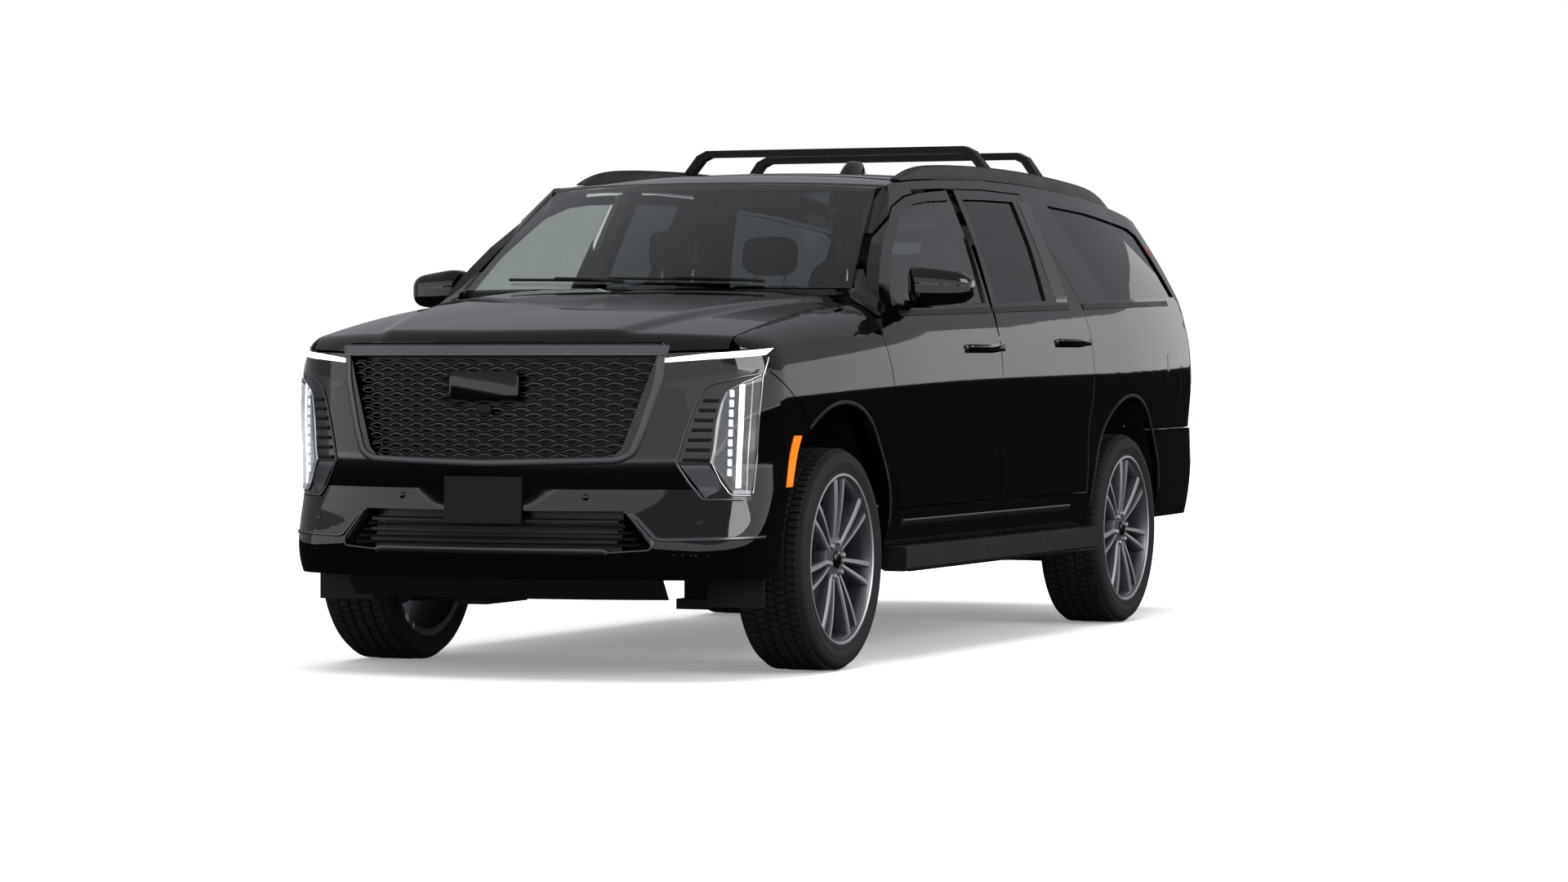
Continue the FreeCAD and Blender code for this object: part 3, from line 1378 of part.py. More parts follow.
def knuckle_pieces(name, side, axle):
    """Upright, spindle, caliper and steering arm about a wheel, as bound primitives."""
    def span(low, high):
        ends = ("(Sizes.track / 2 + %s)" % low, "(Sizes.track / 2 + %s)" % high)
        return ends if side > 0 else ("-" + ends[1], "-" + ends[0])

    def along(low, high):
        return shift(axle, low), shift(axle, high)

    def height(low, high):
        return shift(AXLE_HEIGHT, low), shift(AXLE_HEIGHT, high)

    boxes = [
        (span(-110, -46), along(-50, 50), height(-150, 190)),
        (span(-70, -24), along(30, 235), height(-75, 75)),
        (span(-70, 50), along(212, 235), height(-75, 75)),
        (span(26, 50), along(120, 235), height(-75, 75)),
        (span(-105, -75), along(-190, -40), height(-70, -40)),
    ]
    pieces = block_set(name, boxes)
    pieces.append(rod(name + "_spindle", "35", "150", (span(-90, 60)[0], axle, AXLE_HEIGHT)))
    return pieces


def build_wheels():
    """Four wheels, with the rims and tyres of the right side turned round."""
    for end, axle in (("front", FRONT_AXLE), ("rear", REAR_AXLE)):
        for side, sign in (("left", ""), ("right", "-")):
            place = (sign + "Sizes.track / 2", axle, AXLE_HEIGHT)
            turn = FreeCAD.Rotation(Vector(0, 0, 1), 0 if side == "left" else 180)
            rim("rim_%s_%s" % (end, side), place, turn)
            tyre("tyre_%s_%s" % (end, side), place, turn)


RAIL_IN = "(Sizes.rail_spacing / 2 - Sizes.rail_width / 2)"
RAIL_OUT = "(Sizes.rail_spacing / 2 + Sizes.rail_width / 2)"
RAIL_TOP = "(Sizes.rail_height + Sizes.rail_depth)"
KICK_LOW = "(Sizes.rail_height + Sizes.rear_kick)"
KICK_TOP = "(%s + Sizes.rail_depth)" % KICK_LOW
KICK_START = shift(REAR_AXLE, -520)
RAIL_START = shift(NOSE, 190)
RAIL_END = shift(TAIL, -190)
FLOOR_TOP = "(Sizes.floor_height + Sizes.floor_wall)"
REAR_FLOOR = "(%s + 40)" % KICK_TOP


def build_frame():
    """Ladder frame: two rails that rise over the rear axle, cross members and body mounts."""
    level = ("Sizes.rail_height", RAIL_TOP)
    raised = (KICK_LOW, KICK_TOP)
    rails = both_sides([
        ((RAIL_IN, RAIL_OUT), (RAIL_START, shift(KICK_START, 160)), level),
        ((RAIL_IN, RAIL_OUT), (KICK_START, RAIL_END), raised),
    ])
    across = ("-" + RAIL_IN, RAIL_IN)
    crosses = []
    for place in (RAIL_START, shift(FRONT_AXLE, 190), shift(FRONT_AXLE, 900), shift(REAR_AXLE, -900)):
        height = ("Sizes.rail_height", shift("Sizes.rail_height", 90))
        crosses.append((across, (place, shift(place, 110)), height))
    for place in (shift(REAR_AXLE, -55), shift(RAIL_END, -110)):
        crosses.append((across, (place, shift(place, 110)), (KICK_LOW, shift(KICK_LOW, 90))))
    pads = []
    for place in (shift(FRONT_AXLE, 700), shift(FRONT_AXLE, 1700), shift(KICK_START, -120)):
        pads.append(((RAIL_IN, RAIL_OUT), (place, shift(place, 80)), (RAIL_TOP, "Sizes.floor_height")))
    for place in (shift(REAR_AXLE, -40), shift(RAIL_END, -160)):
        pads.append(((RAIL_IN, RAIL_OUT), (place, shift(place, 80)), (KICK_TOP, REAR_FLOOR)))
    low = "Sizes.receiver_height"
    high = shift(low, "Sizes.receiver_width")
    hanger = ((RAIL_IN, shift(RAIL_IN, 14)), about(RAIL_END, -160, -20), (low, KICK_LOW))
    beam = [((across[0], across[1]), about(RAIL_END, -120, -60), (low, high))]
    post = ((RAIL_IN, RAIL_OUT), about(RAIL_START, -55, 60), ("Sizes.rail_height", "700"))
    half = "(Sizes.receiver_width / 2)"
    stop = (("-" + half, half), about(RAIL_END, 75, 105),
            (shift(high, -5), "Sizes.sill_height - Sizes.seat_gap"))
    solids = block_set("frame_box", rails + crosses + both_sides(pads + [hanger, post]) + beam + [stop])
    beam_solid = doc.addObject("Part::Feature", "bumper_beam")
    beam_solid.Shape = bumper_beam()
    joined("frame", solids + [beam_solid, receiver()])


def bumper_beam():
    """Beam across the front posts of the frame, along the inside of the bumper cover."""
    half = Size.beam_half
    skin = front_skin(Size.beam_wall)
    skin.translate(Vector(0, inner_face(half), 0))
    room = block((-half, half), NOSE_CUT, (Size.intake_top + 20, Size.grille_bottom - 40))
    return largest(skin.common(room))


def receiver():
    """Square tube of the tow receiver with its cross hole for a pin."""
    low = "Sizes.receiver_height"
    half = "(Sizes.receiver_width / 2)"
    inside = "(Sizes.receiver_bore / 2)"
    wall = "((Sizes.receiver_width - Sizes.receiver_bore) / 2)"
    end = shift(TAIL, -45)
    high = shift(low, "Sizes.receiver_width")
    tube = block_set("receiver_box", [(("-" + half, half), (shift(RAIL_END, -60), end), (low, high))])[0]
    bore = (shift(low, wall), shift(high, "-" + wall))
    hollow = block_set("receiver_hollow", [(("-" + inside, inside), (RAIL_END, shift(end, 10)), bore)])[0]
    pin = rod("receiver_pin", "Sizes.hitch_pin / 2", "Sizes.receiver_width + 20",
              ("-%s - 10" % half, shift(end, -44), shift(low, half)))
    tools = doc.addObject("Part::MultiFuse", "receiver_tools")
    tools.Shapes = [hollow, pin]
    cut = doc.addObject("Part::Cut", "receiver")
    cut.Base = tube
    cut.Tool = tools
    return cut


def build_floor():
    """Cabin floor, firewall and the raised rear floor with its wheelhouses."""
    inner = "(Sizes.body_width / 2 - 184)"
    narrow = "(Sizes.track / 2 - Sizes.tyre_width / 2 - 38)"
    firewall = shift(FRONT_AXLE, 536)
    rear_top = shift(REAR_FLOOR, "Sizes.floor_wall")
    step = shift(REAR_AXLE, -560)
    boxes = [
        (("-" + inner, inner), (firewall, shift(step, 40)), ("Sizes.floor_height", FLOOR_TOP)),
        (("-" + inner, inner), (firewall, shift(firewall, 30)), ("Sizes.floor_height", "Sizes.cowl_height - 27")),
        (("-" + inner, inner), (step, shift(step, 40)), ("Sizes.floor_height", rear_top)),
        (("-" + narrow, narrow), (step, shift(TAIL, -215)), (REAR_FLOOR, rear_top)),
    ]
    pieces = block_set("floor_box", boxes)
    for side, start in (("left", narrow), ("right", "-(Sizes.body_width / 2 - 156)")):
        width = "(Sizes.body_width / 2 - 156) - %s" % narrow
        pieces.append(arch_shell("wheelhouse_%s" % side, start, width, REAR_AXLE, REAR_FLOOR))
    cowl_part = doc.addObject("Part::Feature", "cowl")
    cowl_part.Shape = cowl()
    pieces.append(cowl_part)
    joined("floor", pieces)


def arch_shell(name, start, width, axle, low):
    """Half ring over a wheel, from a height upward, as bound primitives."""
    height = shift(AXLE_HEIGHT, "Sizes.arch_lift")
    outer = rod(name + "_outer", "Sizes.arch_radius + 12", width, (start, axle, height))
    hole = rod(name + "_hole", "Sizes.arch_radius + 7", "%s + 20" % width, ("%s - 10" % start, axle, height))
    ring = doc.addObject("Part::Cut", name + "_ring")
    ring.Base = outer
    ring.Tool = hole
    limit = (("-Sizes.body_width", "Sizes.body_width"), about(axle, -700, 700), (low, "1400"))
    upper = block_set(name + "_upper", [limit])[0]
    half = doc.addObject("Part::Common", name)
    half.Base = ring
    half.Tool = upper
    return half


def build_liners():
    """Liners over the front wheels, plate bracket, air dam and tyre flaps."""
    start = shift(RAIL_OUT, 18)
    width = "430"
    liners = [arch_shell("liner_left", start, width, FRONT_AXLE, "520"),
              arch_shell("liner_right", "-(%s + %s)" % (start, width), width, FRONT_AXLE, "520")]
    bracket = front_plate(155, 575, 745, -14, -Size.seat_gap)
    for index, shape in enumerate([bracket] + air_dam()):
        piece = doc.addObject("Part::Feature", "trim_%d" % index)
        piece.Shape = shape
        liners.append(piece)
    grouped("front_trim", liners)


def build_front_axle():
    """Arms, springs, half shafts and differential between the frame and the knuckles."""
    ball = "(%s)" % KINGPIN
    lower = shift(AXLE_HEIGHT, -190)
    upper = shift(AXLE_HEIGHT, 190.5)
    boxes = [
        ((shift(RAIL_IN, 20), shift(ball, 20)), about(FRONT_AXLE, -22, 22), (lower, shift(lower, 39.5))),
        ((shift(RAIL_IN, 20), shift(RAIL_OUT, 60)), about(FRONT_AXLE, -180, 180), (lower, shift(lower, 39.5))),
        ((RAIL_IN, RAIL_OUT), about(FRONT_AXLE, -60, 60), (shift(lower, 20), "Sizes.rail_height")),
        ((RAIL_IN, shift(ball, 20)), about(FRONT_AXLE, -22, 22), (upper, shift(upper, 28))),
        ((RAIL_IN, shift(RAIL_OUT, 60)), about(FRONT_AXLE, -90, 90), (RAIL_TOP, shift(upper, 28))),
        (("0", "150"), about(FRONT_AXLE, -120, 150), about(AXLE_HEIGHT, -90, 90)),
        (("0", RAIL_IN), about(FRONT_AXLE, -50, 50), about(AXLE_HEIGHT, 50, 90)),
    ]
    pieces = block_set("front_axle_box", both_sides(boxes))
    for side, sign in (("left", ""), ("right", "-")):
        pieces.append(rod("spring_front_" + side, "50", "430", (sign + "590", FRONT_AXLE, shift(lower, 20)), "z"))
        pieces.append(rod("spring_cap_" + side, "62", "40", (sign + "575", FRONT_AXLE, shift(lower, 440)), "z"))
        start = "0" if side == "left" else "-720"
        pieces.append(rod("half_shaft_front_" + side, "22", "720", (start, FRONT_AXLE, AXLE_HEIGHT)))
    whole = doc.addObject("Part::MultiFuse", "front_axle_whole")
    whole.Shapes = pieces
    bore = 16 + Size.pin_gap
    holes = [kingpin("kingpin_hole_left", "", bore), kingpin("kingpin_hole_right", "-", bore)]
    drill = doc.addObject("Part::MultiFuse", "kingpin_holes")
    drill.Shapes = holes
    axle = doc.addObject("Part::Cut", "front_axle")
    axle.Label = "front_axle"
    axle.Base = whole
    axle.Tool = drill
    NODES.append(axle)


def kingpin(name, sign, radius):
    """Upright pin through the ends of the front arms, on the steering axis."""
    return rod(name, str(radius), "402", (sign + KINGPIN, FRONT_AXLE, shift(AXLE_HEIGHT, -186)), "z")


def build_rear_axle():
    """Rear hubs, arms, springs, half shafts and differential."""
    pieces = []
    for side, sign in (("left", 1), ("right", -1)):
        pieces += knuckle_pieces("rear_hub_" + side, sign, REAR_AXLE)
        start = "0" if sign > 0 else "-770"
        pieces.append(rod("half_shaft_rear_" + side, "22", "770", (start, REAR_AXLE, AXLE_HEIGHT)))
        spring = "590" if sign > 0 else "-590"
        pieces.append(rod("spring_rear_" + side, "62", "360", (spring, REAR_AXLE, shift(AXLE_HEIGHT, -150)), "z"))
    low = shift(AXLE_HEIGHT, -150)
    boxes = [
        ((shift(RAIL_IN, 20), "Sizes.track / 2 - 50"), about(REAR_AXLE, -45, 45), (low, shift(low, 34))),
        ((RAIL_IN, RAIL_OUT), about(REAR_AXLE, -60, 60), (low, KICK_LOW)),
        ((RAIL_OUT, "660"), about(REAR_AXLE, -50, 50), about(KICK_LOW, 40, 70)),
        (("0", "170"), about(REAR_AXLE, -150, 130), about(AXLE_HEIGHT, -110, 130)),
        (("0", RAIL_IN), about(REAR_AXLE, -50, 50), (shift(AXLE_HEIGHT, 115), KICK_LOW)),
    ]
    pieces += block_set("rear_axle_box", both_sides(boxes))
    joined("rear_axle", pieces)


def seat(label, x, back_y, width, floor):
    """Seat with its base, cushion, back and head restraint, seen from the side and padded across."""
    body = new_body(label, (x, back_y, floor))
    profile = [("-520", "0"), ("-60", "0"), ("-40", "230"), ("110", "860"), ("20", "880"), ("-130", "340"),
               ("-560", "350"), ("-580", "240"), ("-520", "220")]
    padded_outline(body, label + "_seat", profile, width, "YZ_Plane")
    rest = [("50", "830"), ("95", "830"), ("112", "905"), ("140", "910"), ("158", "1085"), ("60", "1090"),
            ("40", "915"), ("72", "905")]
    padded_outline(body, label + "_rest", rest, "260", "YZ_Plane")
    return body


def build_seats():
    """Two front seats, two second-row seats and the third-row bench."""
    half = "Sizes.seat_spacing / 2"
    front = shift(FRONT_AXLE, 1590)
    second = shift(front, 1010)
    third = shift(second, 960)
    rows = [("front_seat", front, FLOOR_TOP, [half, "-" + half], "Sizes.seat_width"),
            ("second_row_seat", second, FLOOR_TOP, [half, "-" + half], "Sizes.seat_width"),
            ("third_row_seat", third, shift(REAR_FLOOR, "Sizes.floor_wall"), ["0"], "Sizes.seat_width * 2.3")]
    seats = []
    for label, back_y, floor, places, width in rows:
        seats += [seat("%s_%d" % (label, index), x, back_y, width, floor) for index, x in enumerate(places)]
    grouped("seats", seats)


def build_cabin():
    """Dashboard with its console, and the steering wheel on its column."""
    body = new_body("dashboard", ("0", shift(FRONT_AXLE, 566), "0"))
    profile = [("0", "900"), ("260", "900"), ("380", "1010"), ("400", "1250"), ("330", "1385"), ("0", "1410")]
    padded_outline(body, "dash_profile", profile, "Sizes.body_width - 400", "YZ_Plane")
    console = [("20", "630"), ("1150", "630"), ("1150", "930"),
               ("500", "960"), ("380", "1060"), ("20", "1060")]
    padded_outline(body, "console_profile", console, "260", "YZ_Plane")
    NODES.append(body)
    wheel = doc.addObject("Part::Torus", "steering_ring")
    wheel.setExpression("Radius1", "Sizes.wheel_rim_diameter / 2")
    wheel.Radius2 = 15
    hub = rod("steering_hub", "62", "40", ("0", "0", "-25"), "z")
    column = rod("steering_column", "22", "143.7", ("0", "0", "-163.7"), "z")
    spokes = block_set("steering_spoke", [
        (("-(Sizes.wheel_rim_diameter / 2)", "Sizes.wheel_rim_diameter / 2"), ("-14", "14"), ("-10", "4")),
        (("-14", "14"), ("-(Sizes.wheel_rim_diameter / 2)", "0"), ("-10", "4"))])
    fuse = joined("steering_wheel", [wheel, hub, column] + spokes)
    fuse.Placement = FreeCAD.Placement(Vector(), FreeCAD.Rotation(Vector(1, 0, 0), -65))
    bind(fuse, {"Placement.Base.x": "Sizes.seat_spacing / 2", "Placement.Base.y": shift(FRONT_AXLE, 1120),
                "Placement.Base.z": "1250"})


def build_engine():
    """Closed engine block at its real place, on mounts to the frame rails."""
    boxes = [
        (("-300", "300"), about(FRONT_AXLE, -560, 300), (shift(RAIL_TOP, 20), "1130")),
        (("-" + RAIL_OUT, RAIL_OUT), about(FRONT_AXLE, -260, -160), (RAIL_TOP, shift(RAIL_TOP, 60))),
    ]
    joined("engine", block_set("engine_box", boxes))


def build_outside():
    """Running boards, roof bars, exhaust and tow receiver."""
    boards = []
    for side, turn in (("left", 0), ("right", 180)):
        middle = "(%s + %s) / 2" % (shift(FRONT_AXLE, 545), shift(REAR_AXLE, -545))
        body = new_body("board_" + side, ("0", middle, "0"), FreeCAD.Rotation(Vector(0, 0, 1), turn))
        low = "(Sizes.step_top - Sizes.step_depth)"
        profile = [("Sizes.step_reach", shift(low, 12)), ("Sizes.step_reach", shift("Sizes.step_top", -6)),
                   ("Sizes.step_reach - 12", "Sizes.step_top"), ("945", "Sizes.step_top"),
                   ("945", "Sizes.sill_height"), ("880", "Sizes.sill_height"), ("880", shift(low, 40)),
                   ("Sizes.step_reach - 90", low), ("Sizes.step_reach - 12", low)]
        padded_outline(body, "board_%s_profile" % side, profile, "Sizes.wheelbase - 1090", "XZ_Plane")
        boards.append(body)
    grouped("running_boards", boards)
    bars = []
    first_bar = shift(FRONT_AXLE, "Sizes.front_door_start + Sizes.front_door_length + Sizes.front_bar_start")
    for index, place in enumerate((first_bar, shift(first_bar, "Sizes.bar_spacing"))):
        body = new_body("crossbar_%d" % index, ("0", place, "0"))
        bar_y = SPLIT_Y + Size.front_bar_start + index * Size.bar_spacing
        top = "(Sizes.gutter_height + Sizes.bar_rise)"
        foot = shift(top, "%.2f" % (rail_top(bar_y) - 4 - BAR_TOP))
        half = "(Sizes.body_width / 2 - Sizes.bar_inset)"
        right = [(half, top), (shift(half, 45), shift(top, -22)), (shift(half, 112), foot),
                 (shift(half, 72), foot), (shift(half, 22), shift(top, -46)),
                 (shift(half, -12), shift(top, -30))]
        left = [("-(%s)" % a, b) for a, b in right[::-1]]
        padded_outline(body, "crossbar_%d_profile" % index, right + left, "62", "XZ_Plane")
        bars.append(body)
    for side, shape in (("left", roof_rail()), ("right", mirrored(roof_rail()))):
        rail = doc.addObject("Part::Feature", "roof_rail_" + side)
        rail.Shape = shape
        bars.append(rail)
    joined("roof_rails", bars)
    low = "(Sizes.rail_height - 38.3)"
    over = "490"
    pipe = [rod("exhaust_pipe", "38", "%s - %s" % (shift(REAR_AXLE, -680), shift(FRONT_AXLE, 600)),
                ("240", shift(FRONT_AXLE, 600), low), "y"),
            rod("exhaust_tail", "30", "1700", ("290", shift(REAR_AXLE, -720), over), "y")]
    pipe += block_set("exhaust_box", [
        (("100", "360"), about(FRONT_AXLE, 1300, 1900), about(low, -80, 36)),
        (("215", "320"), about(REAR_AXLE, -740, -660), (shift(low, -20), shift(over, 25)))])
    joined("exhaust", pipe)


RAIL_FROM = HEADER_Y + 380
RAIL_TO = PANE_REAR_Y - 330


def rail_x(y):
    """Middle of the left roof rail at a place along the length."""
    return HALF_WIDTH - Size.gutter_inset - side_taper(y) - 45


def rail_top(y):
    """Top of the roof rail at a place along the length."""
    share = (y - RAIL_FROM) / (RAIL_TO - RAIL_FROM)
    rise = 6 + (Size.rail_rise - 6) * min(1, math.sin(math.pi * share) * 3.2)
    return roof_z(rail_x(y) - 20, y) + 0.4 + rise


def roof_rail():
    """Left roof rail, a low blade that follows the roof edge."""
    outer = []
    inner = []
    for share in [i / 12 for i in range(13)]:
        y = RAIL_FROM + (RAIL_TO - RAIL_FROM) * share
        x = rail_x(y)
        base = roof_z(x - 20, y) + 0.4
        rise = rail_top(y) - base
        section = [(20, base), (19, base + rise * 0.7), (8, base + rise)]
        outer.append([Vector(x + across, y, z) for across, z in section])
        inner.append([Vector(x - across, y, z) for across, z in section])
    return thick([outer], [inner])


def mirror_ring(x, y, z):
    """Closed rounded section of the mirror housing at a place across, from its limits."""
    middle = Vector(x, (y[0] + y[1]) / 2, (z[0] + z[1]) / 2)
    points = []
    for step in range(12):
        turn = math.pi * step / 6
        a = math.copysign(abs(math.cos(turn)) ** 0.55, math.cos(turn)) * (y[1] - y[0]) / 2
        b = math.copysign(abs(math.sin(turn)) ** 0.55, math.sin(turn)) * (z[1] - z[0]) / 2
        points.append(middle + Vector(0, a, b))
    curve = Part.BSplineCurve()
    curve.interpolate(points, PeriodicFlag=True)
    return Part.Wire(curve.toShape())


def mirror_housing():
    """Left door mirror: rounded housing that narrows to its tip, on an arm from the belt of the door."""
    y = DOOR_FRONT_Y + 345
    base_x = side_x(66, y)
    low = belt_z(y)
    reach = Size.mirror_reach - base_x
    rings = [mirror_ring(base_x + 16, (y - 34, y + 66), (low + 34, low + 158)),
             mirror_ring(base_x + 40, (y - 58, y + 76), (low + 16, low + 166)),
             mirror_ring(base_x + reach * 0.5, (y - 50, y + 80), (low + 12, low + 158)),
             mirror_ring(base_x + reach * 0.85, (y - 18, y + 82), (low + 22, low + 142)),
             mirror_ring(base_x + reach, (y + 22, y + 76), (low + 52, low + 112))]
    housing = Part.makeLoft(rings, True)
    arm = Part.makeBox(90, 70, 30, Vector(base_x - 6, y - 20, low + 4))
    return housing.fuse(arm)


def air_dam():
    """Dark strip under the front bumper with a flap ahead of each front tyre."""
    high = Size.chin_height - Size.seat_gap
    strip = front_plate(Size.grille_top_half + 18, high - 75, high, 32, 44)
    flap = block((HALF_WIDTH - 340, HALF_WIDTH - 114), (FRONT_AXLE_Y - 560, FRONT_AXLE_Y - 548),
                 (high - 110, high))
    return [strip, flap, mirrored(flap)]


def build_panels():
    """Rear end, roof trim and small outer pieces."""
    add_shape("tailgate", tailgate().fuse(spoiler()))
    add_shape("tailgate_glass", tailgate_pane())
    corner = tail_corner()
    add_shape("tail_lamps", Part.makeCompound([corner, mirrored(corner)]))
    add_shape("rear_bumper", rear_bumper())
    mirror = mirror_housing().cut(front_door())
    add_shape("mirror_left", mirror)
    add_shape("mirror_right", mirrored(mirror))


def build_knuckles():
    """Steered front knuckles."""
    for side, way, sign in (("left", 1, ""), ("right", -1, "-")):
        pieces = knuckle_pieces("knuckle_%s_box" % side, way, FRONT_AXLE)
        joined("knuckle_" + side, pieces + [kingpin("kingpin_" + side, sign, 16)])


def build_body():
    """Outer panels and panes."""
    left_front = front_door().fuse(handle(SPLIT_Y - 404, SPLIT_Y - 12, 1218))
    left_rear = rear_door().fuse(handle(DOOR_REAR_Y - 448, DOOR_REAR_Y - 66, 1244))
    add_shape("door_front_left", left_front)
    add_shape("door_front_right", mirrored(left_front))
    add_shape("door_rear_left", left_rear)
    add_shape("door_rear_right", mirrored(left_rear))
    pane_front = pane(front_window(), DOOR_FRONT_Y + 100, SPLIT_Y + 150)
    pane_rear = pane(rear_window(), SPLIT_Y, DOOR_REAR_Y + 60)
    add_shape("glass_front_left", pane_front)
    add_shape("glass_front_right", mirrored(pane_front))
    add_shape("glass_rear_left", pane_rear)
    add_shape("glass_rear_right", mirrored(pane_rear))
    pane_quarter = pane(quarter_window(), DOOR_REAR_Y - 50, PANE_REAR_Y + 60)
    add_shape("fixed_glass", Part.makeCompound([windshield(), pane_quarter, mirrored(pane_quarter)]))
    side = body_side()
    add_shape("body_side_left", side)
    add_shape("body_side_right", mirrored(side))
    left_fender = fender()
    add_shape("fenders", Part.makeCompound([left_fender, mirrored(left_fender)]))
    add_shape("hood", hood())
    add_shape("roof", roof())
    add_shape("front_bumper", front_bumper())
    lamps = front_lamp()
    add_shape("headlamps", Part.makeCompound(lamps + [mirrored(lamp) for lamp in lamps]))
    add_shape("grille", Part.makeCompound(grille()))


build_body()
build_panels()
build_frame()
build_floor()
build_front_axle()
build_rear_axle()
build_knuckles()
build_wheels()
build_seats()
build_cabin()
build_engine()
build_outside()
build_liners()
doc.recompute()

for item in doc.Objects:
    if "Invalid" in item.State or "Error" in item.State:
        raise RuntimeError("failed: " + item.Label)
for node in NODES:
    if node.Shape.isNull() or not node.Shape.isValid():
        raise RuntimeError("bad shape: " + node.Label)
for node in NODES:
    node.Shape.exportStep("parts/%s.step" % node.Label)
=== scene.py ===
"""Looks of a black full-size utility vehicle, dressed over its packed construction."""

import json
import logging
import math
from dataclasses import dataclass, field
from enum import Enum
from typing import Callable, Iterable, Optional, Sequence

import bmesh
import bpy
import numpy as np
from mathutils import Euler, Matrix, Vector


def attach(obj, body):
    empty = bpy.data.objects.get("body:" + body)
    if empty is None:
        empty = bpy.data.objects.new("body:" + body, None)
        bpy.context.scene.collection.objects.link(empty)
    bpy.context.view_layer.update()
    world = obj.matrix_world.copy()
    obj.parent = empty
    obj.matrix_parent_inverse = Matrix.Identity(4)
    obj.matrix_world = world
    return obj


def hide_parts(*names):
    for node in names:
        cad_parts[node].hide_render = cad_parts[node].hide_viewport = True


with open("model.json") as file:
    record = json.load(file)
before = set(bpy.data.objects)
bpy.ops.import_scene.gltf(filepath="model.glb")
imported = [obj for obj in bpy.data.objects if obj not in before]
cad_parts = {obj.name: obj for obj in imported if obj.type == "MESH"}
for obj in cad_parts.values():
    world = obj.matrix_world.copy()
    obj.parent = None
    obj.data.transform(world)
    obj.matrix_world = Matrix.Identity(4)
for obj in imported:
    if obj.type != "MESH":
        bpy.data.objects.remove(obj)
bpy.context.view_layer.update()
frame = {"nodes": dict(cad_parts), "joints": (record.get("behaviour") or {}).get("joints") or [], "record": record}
LOG = logging.getLogger("utility_vehicle")
MM = 0.001
GLASS_OUT = np.array([0, -0.53, 0.85])
WHITE = "#ffffff"
Point = Sequence[float]
Array = np.ndarray
Piece = bpy.types.Object
Mesh = bpy.types.Mesh
Material = bpy.types.Material
Tree = bpy.types.NodeTree
Node = bpy.types.Node
Socket = bpy.types.NodeSocket


class Side(Enum):
    """Side of the vehicle, with the sign of its X."""

    LEFT = 1
    RIGHT = -1

    @property
    def word(self) -> str:
        """Name of the side as the node names have it."""
        return self.name.lower()


class End(Enum):
    """End of the body that a panel wraps round."""

    FRONT = "front"
    TAIL = "tail"
    BUMPER = "bumper"


class Band(Enum):
    """Bands of the body side, from low to high."""

    SILL = 0
    FLANK = 1
    SHOULDER = 2
    PANE = 3


def linear(code: str) -> tuple[float, float, float, float]:
    """Linear colour of an sRGB hex code.

    Args:
        code: Six hex digits after a hash.

    Returns:
        Red, green, blue and a full alpha.
    """
    channels = [int(code[i:i + 2], 16) / 255 for i in (1, 3, 5)]
    bent = [c / 12.92 if c <= 0.04045 else ((c + 0.055) / 1.055) ** 2.4 for c in channels]
    return (*bent, 1.0)


def add_node(tree: Tree, kind: str, inputs: Optional[dict] = None, **settings: object) -> Node:
    """Adds a node with its settings, values and links.

    Args:
        tree: Tree that the node goes into.
        kind: Blender's identifier of the node.
        inputs: Values or output sockets by input name or number.
        settings: Properties of the node.

    Returns:
        The new node.
    """
    node = tree.nodes.new(kind)
    for key, value in settings.items():
        setattr(node, key, value)
    for key, value in (inputs or {}).items():
        if isinstance(value, Socket):
            tree.links.new(value, node.inputs[key])
        else:
            node.inputs[key].default_value = value
    return node


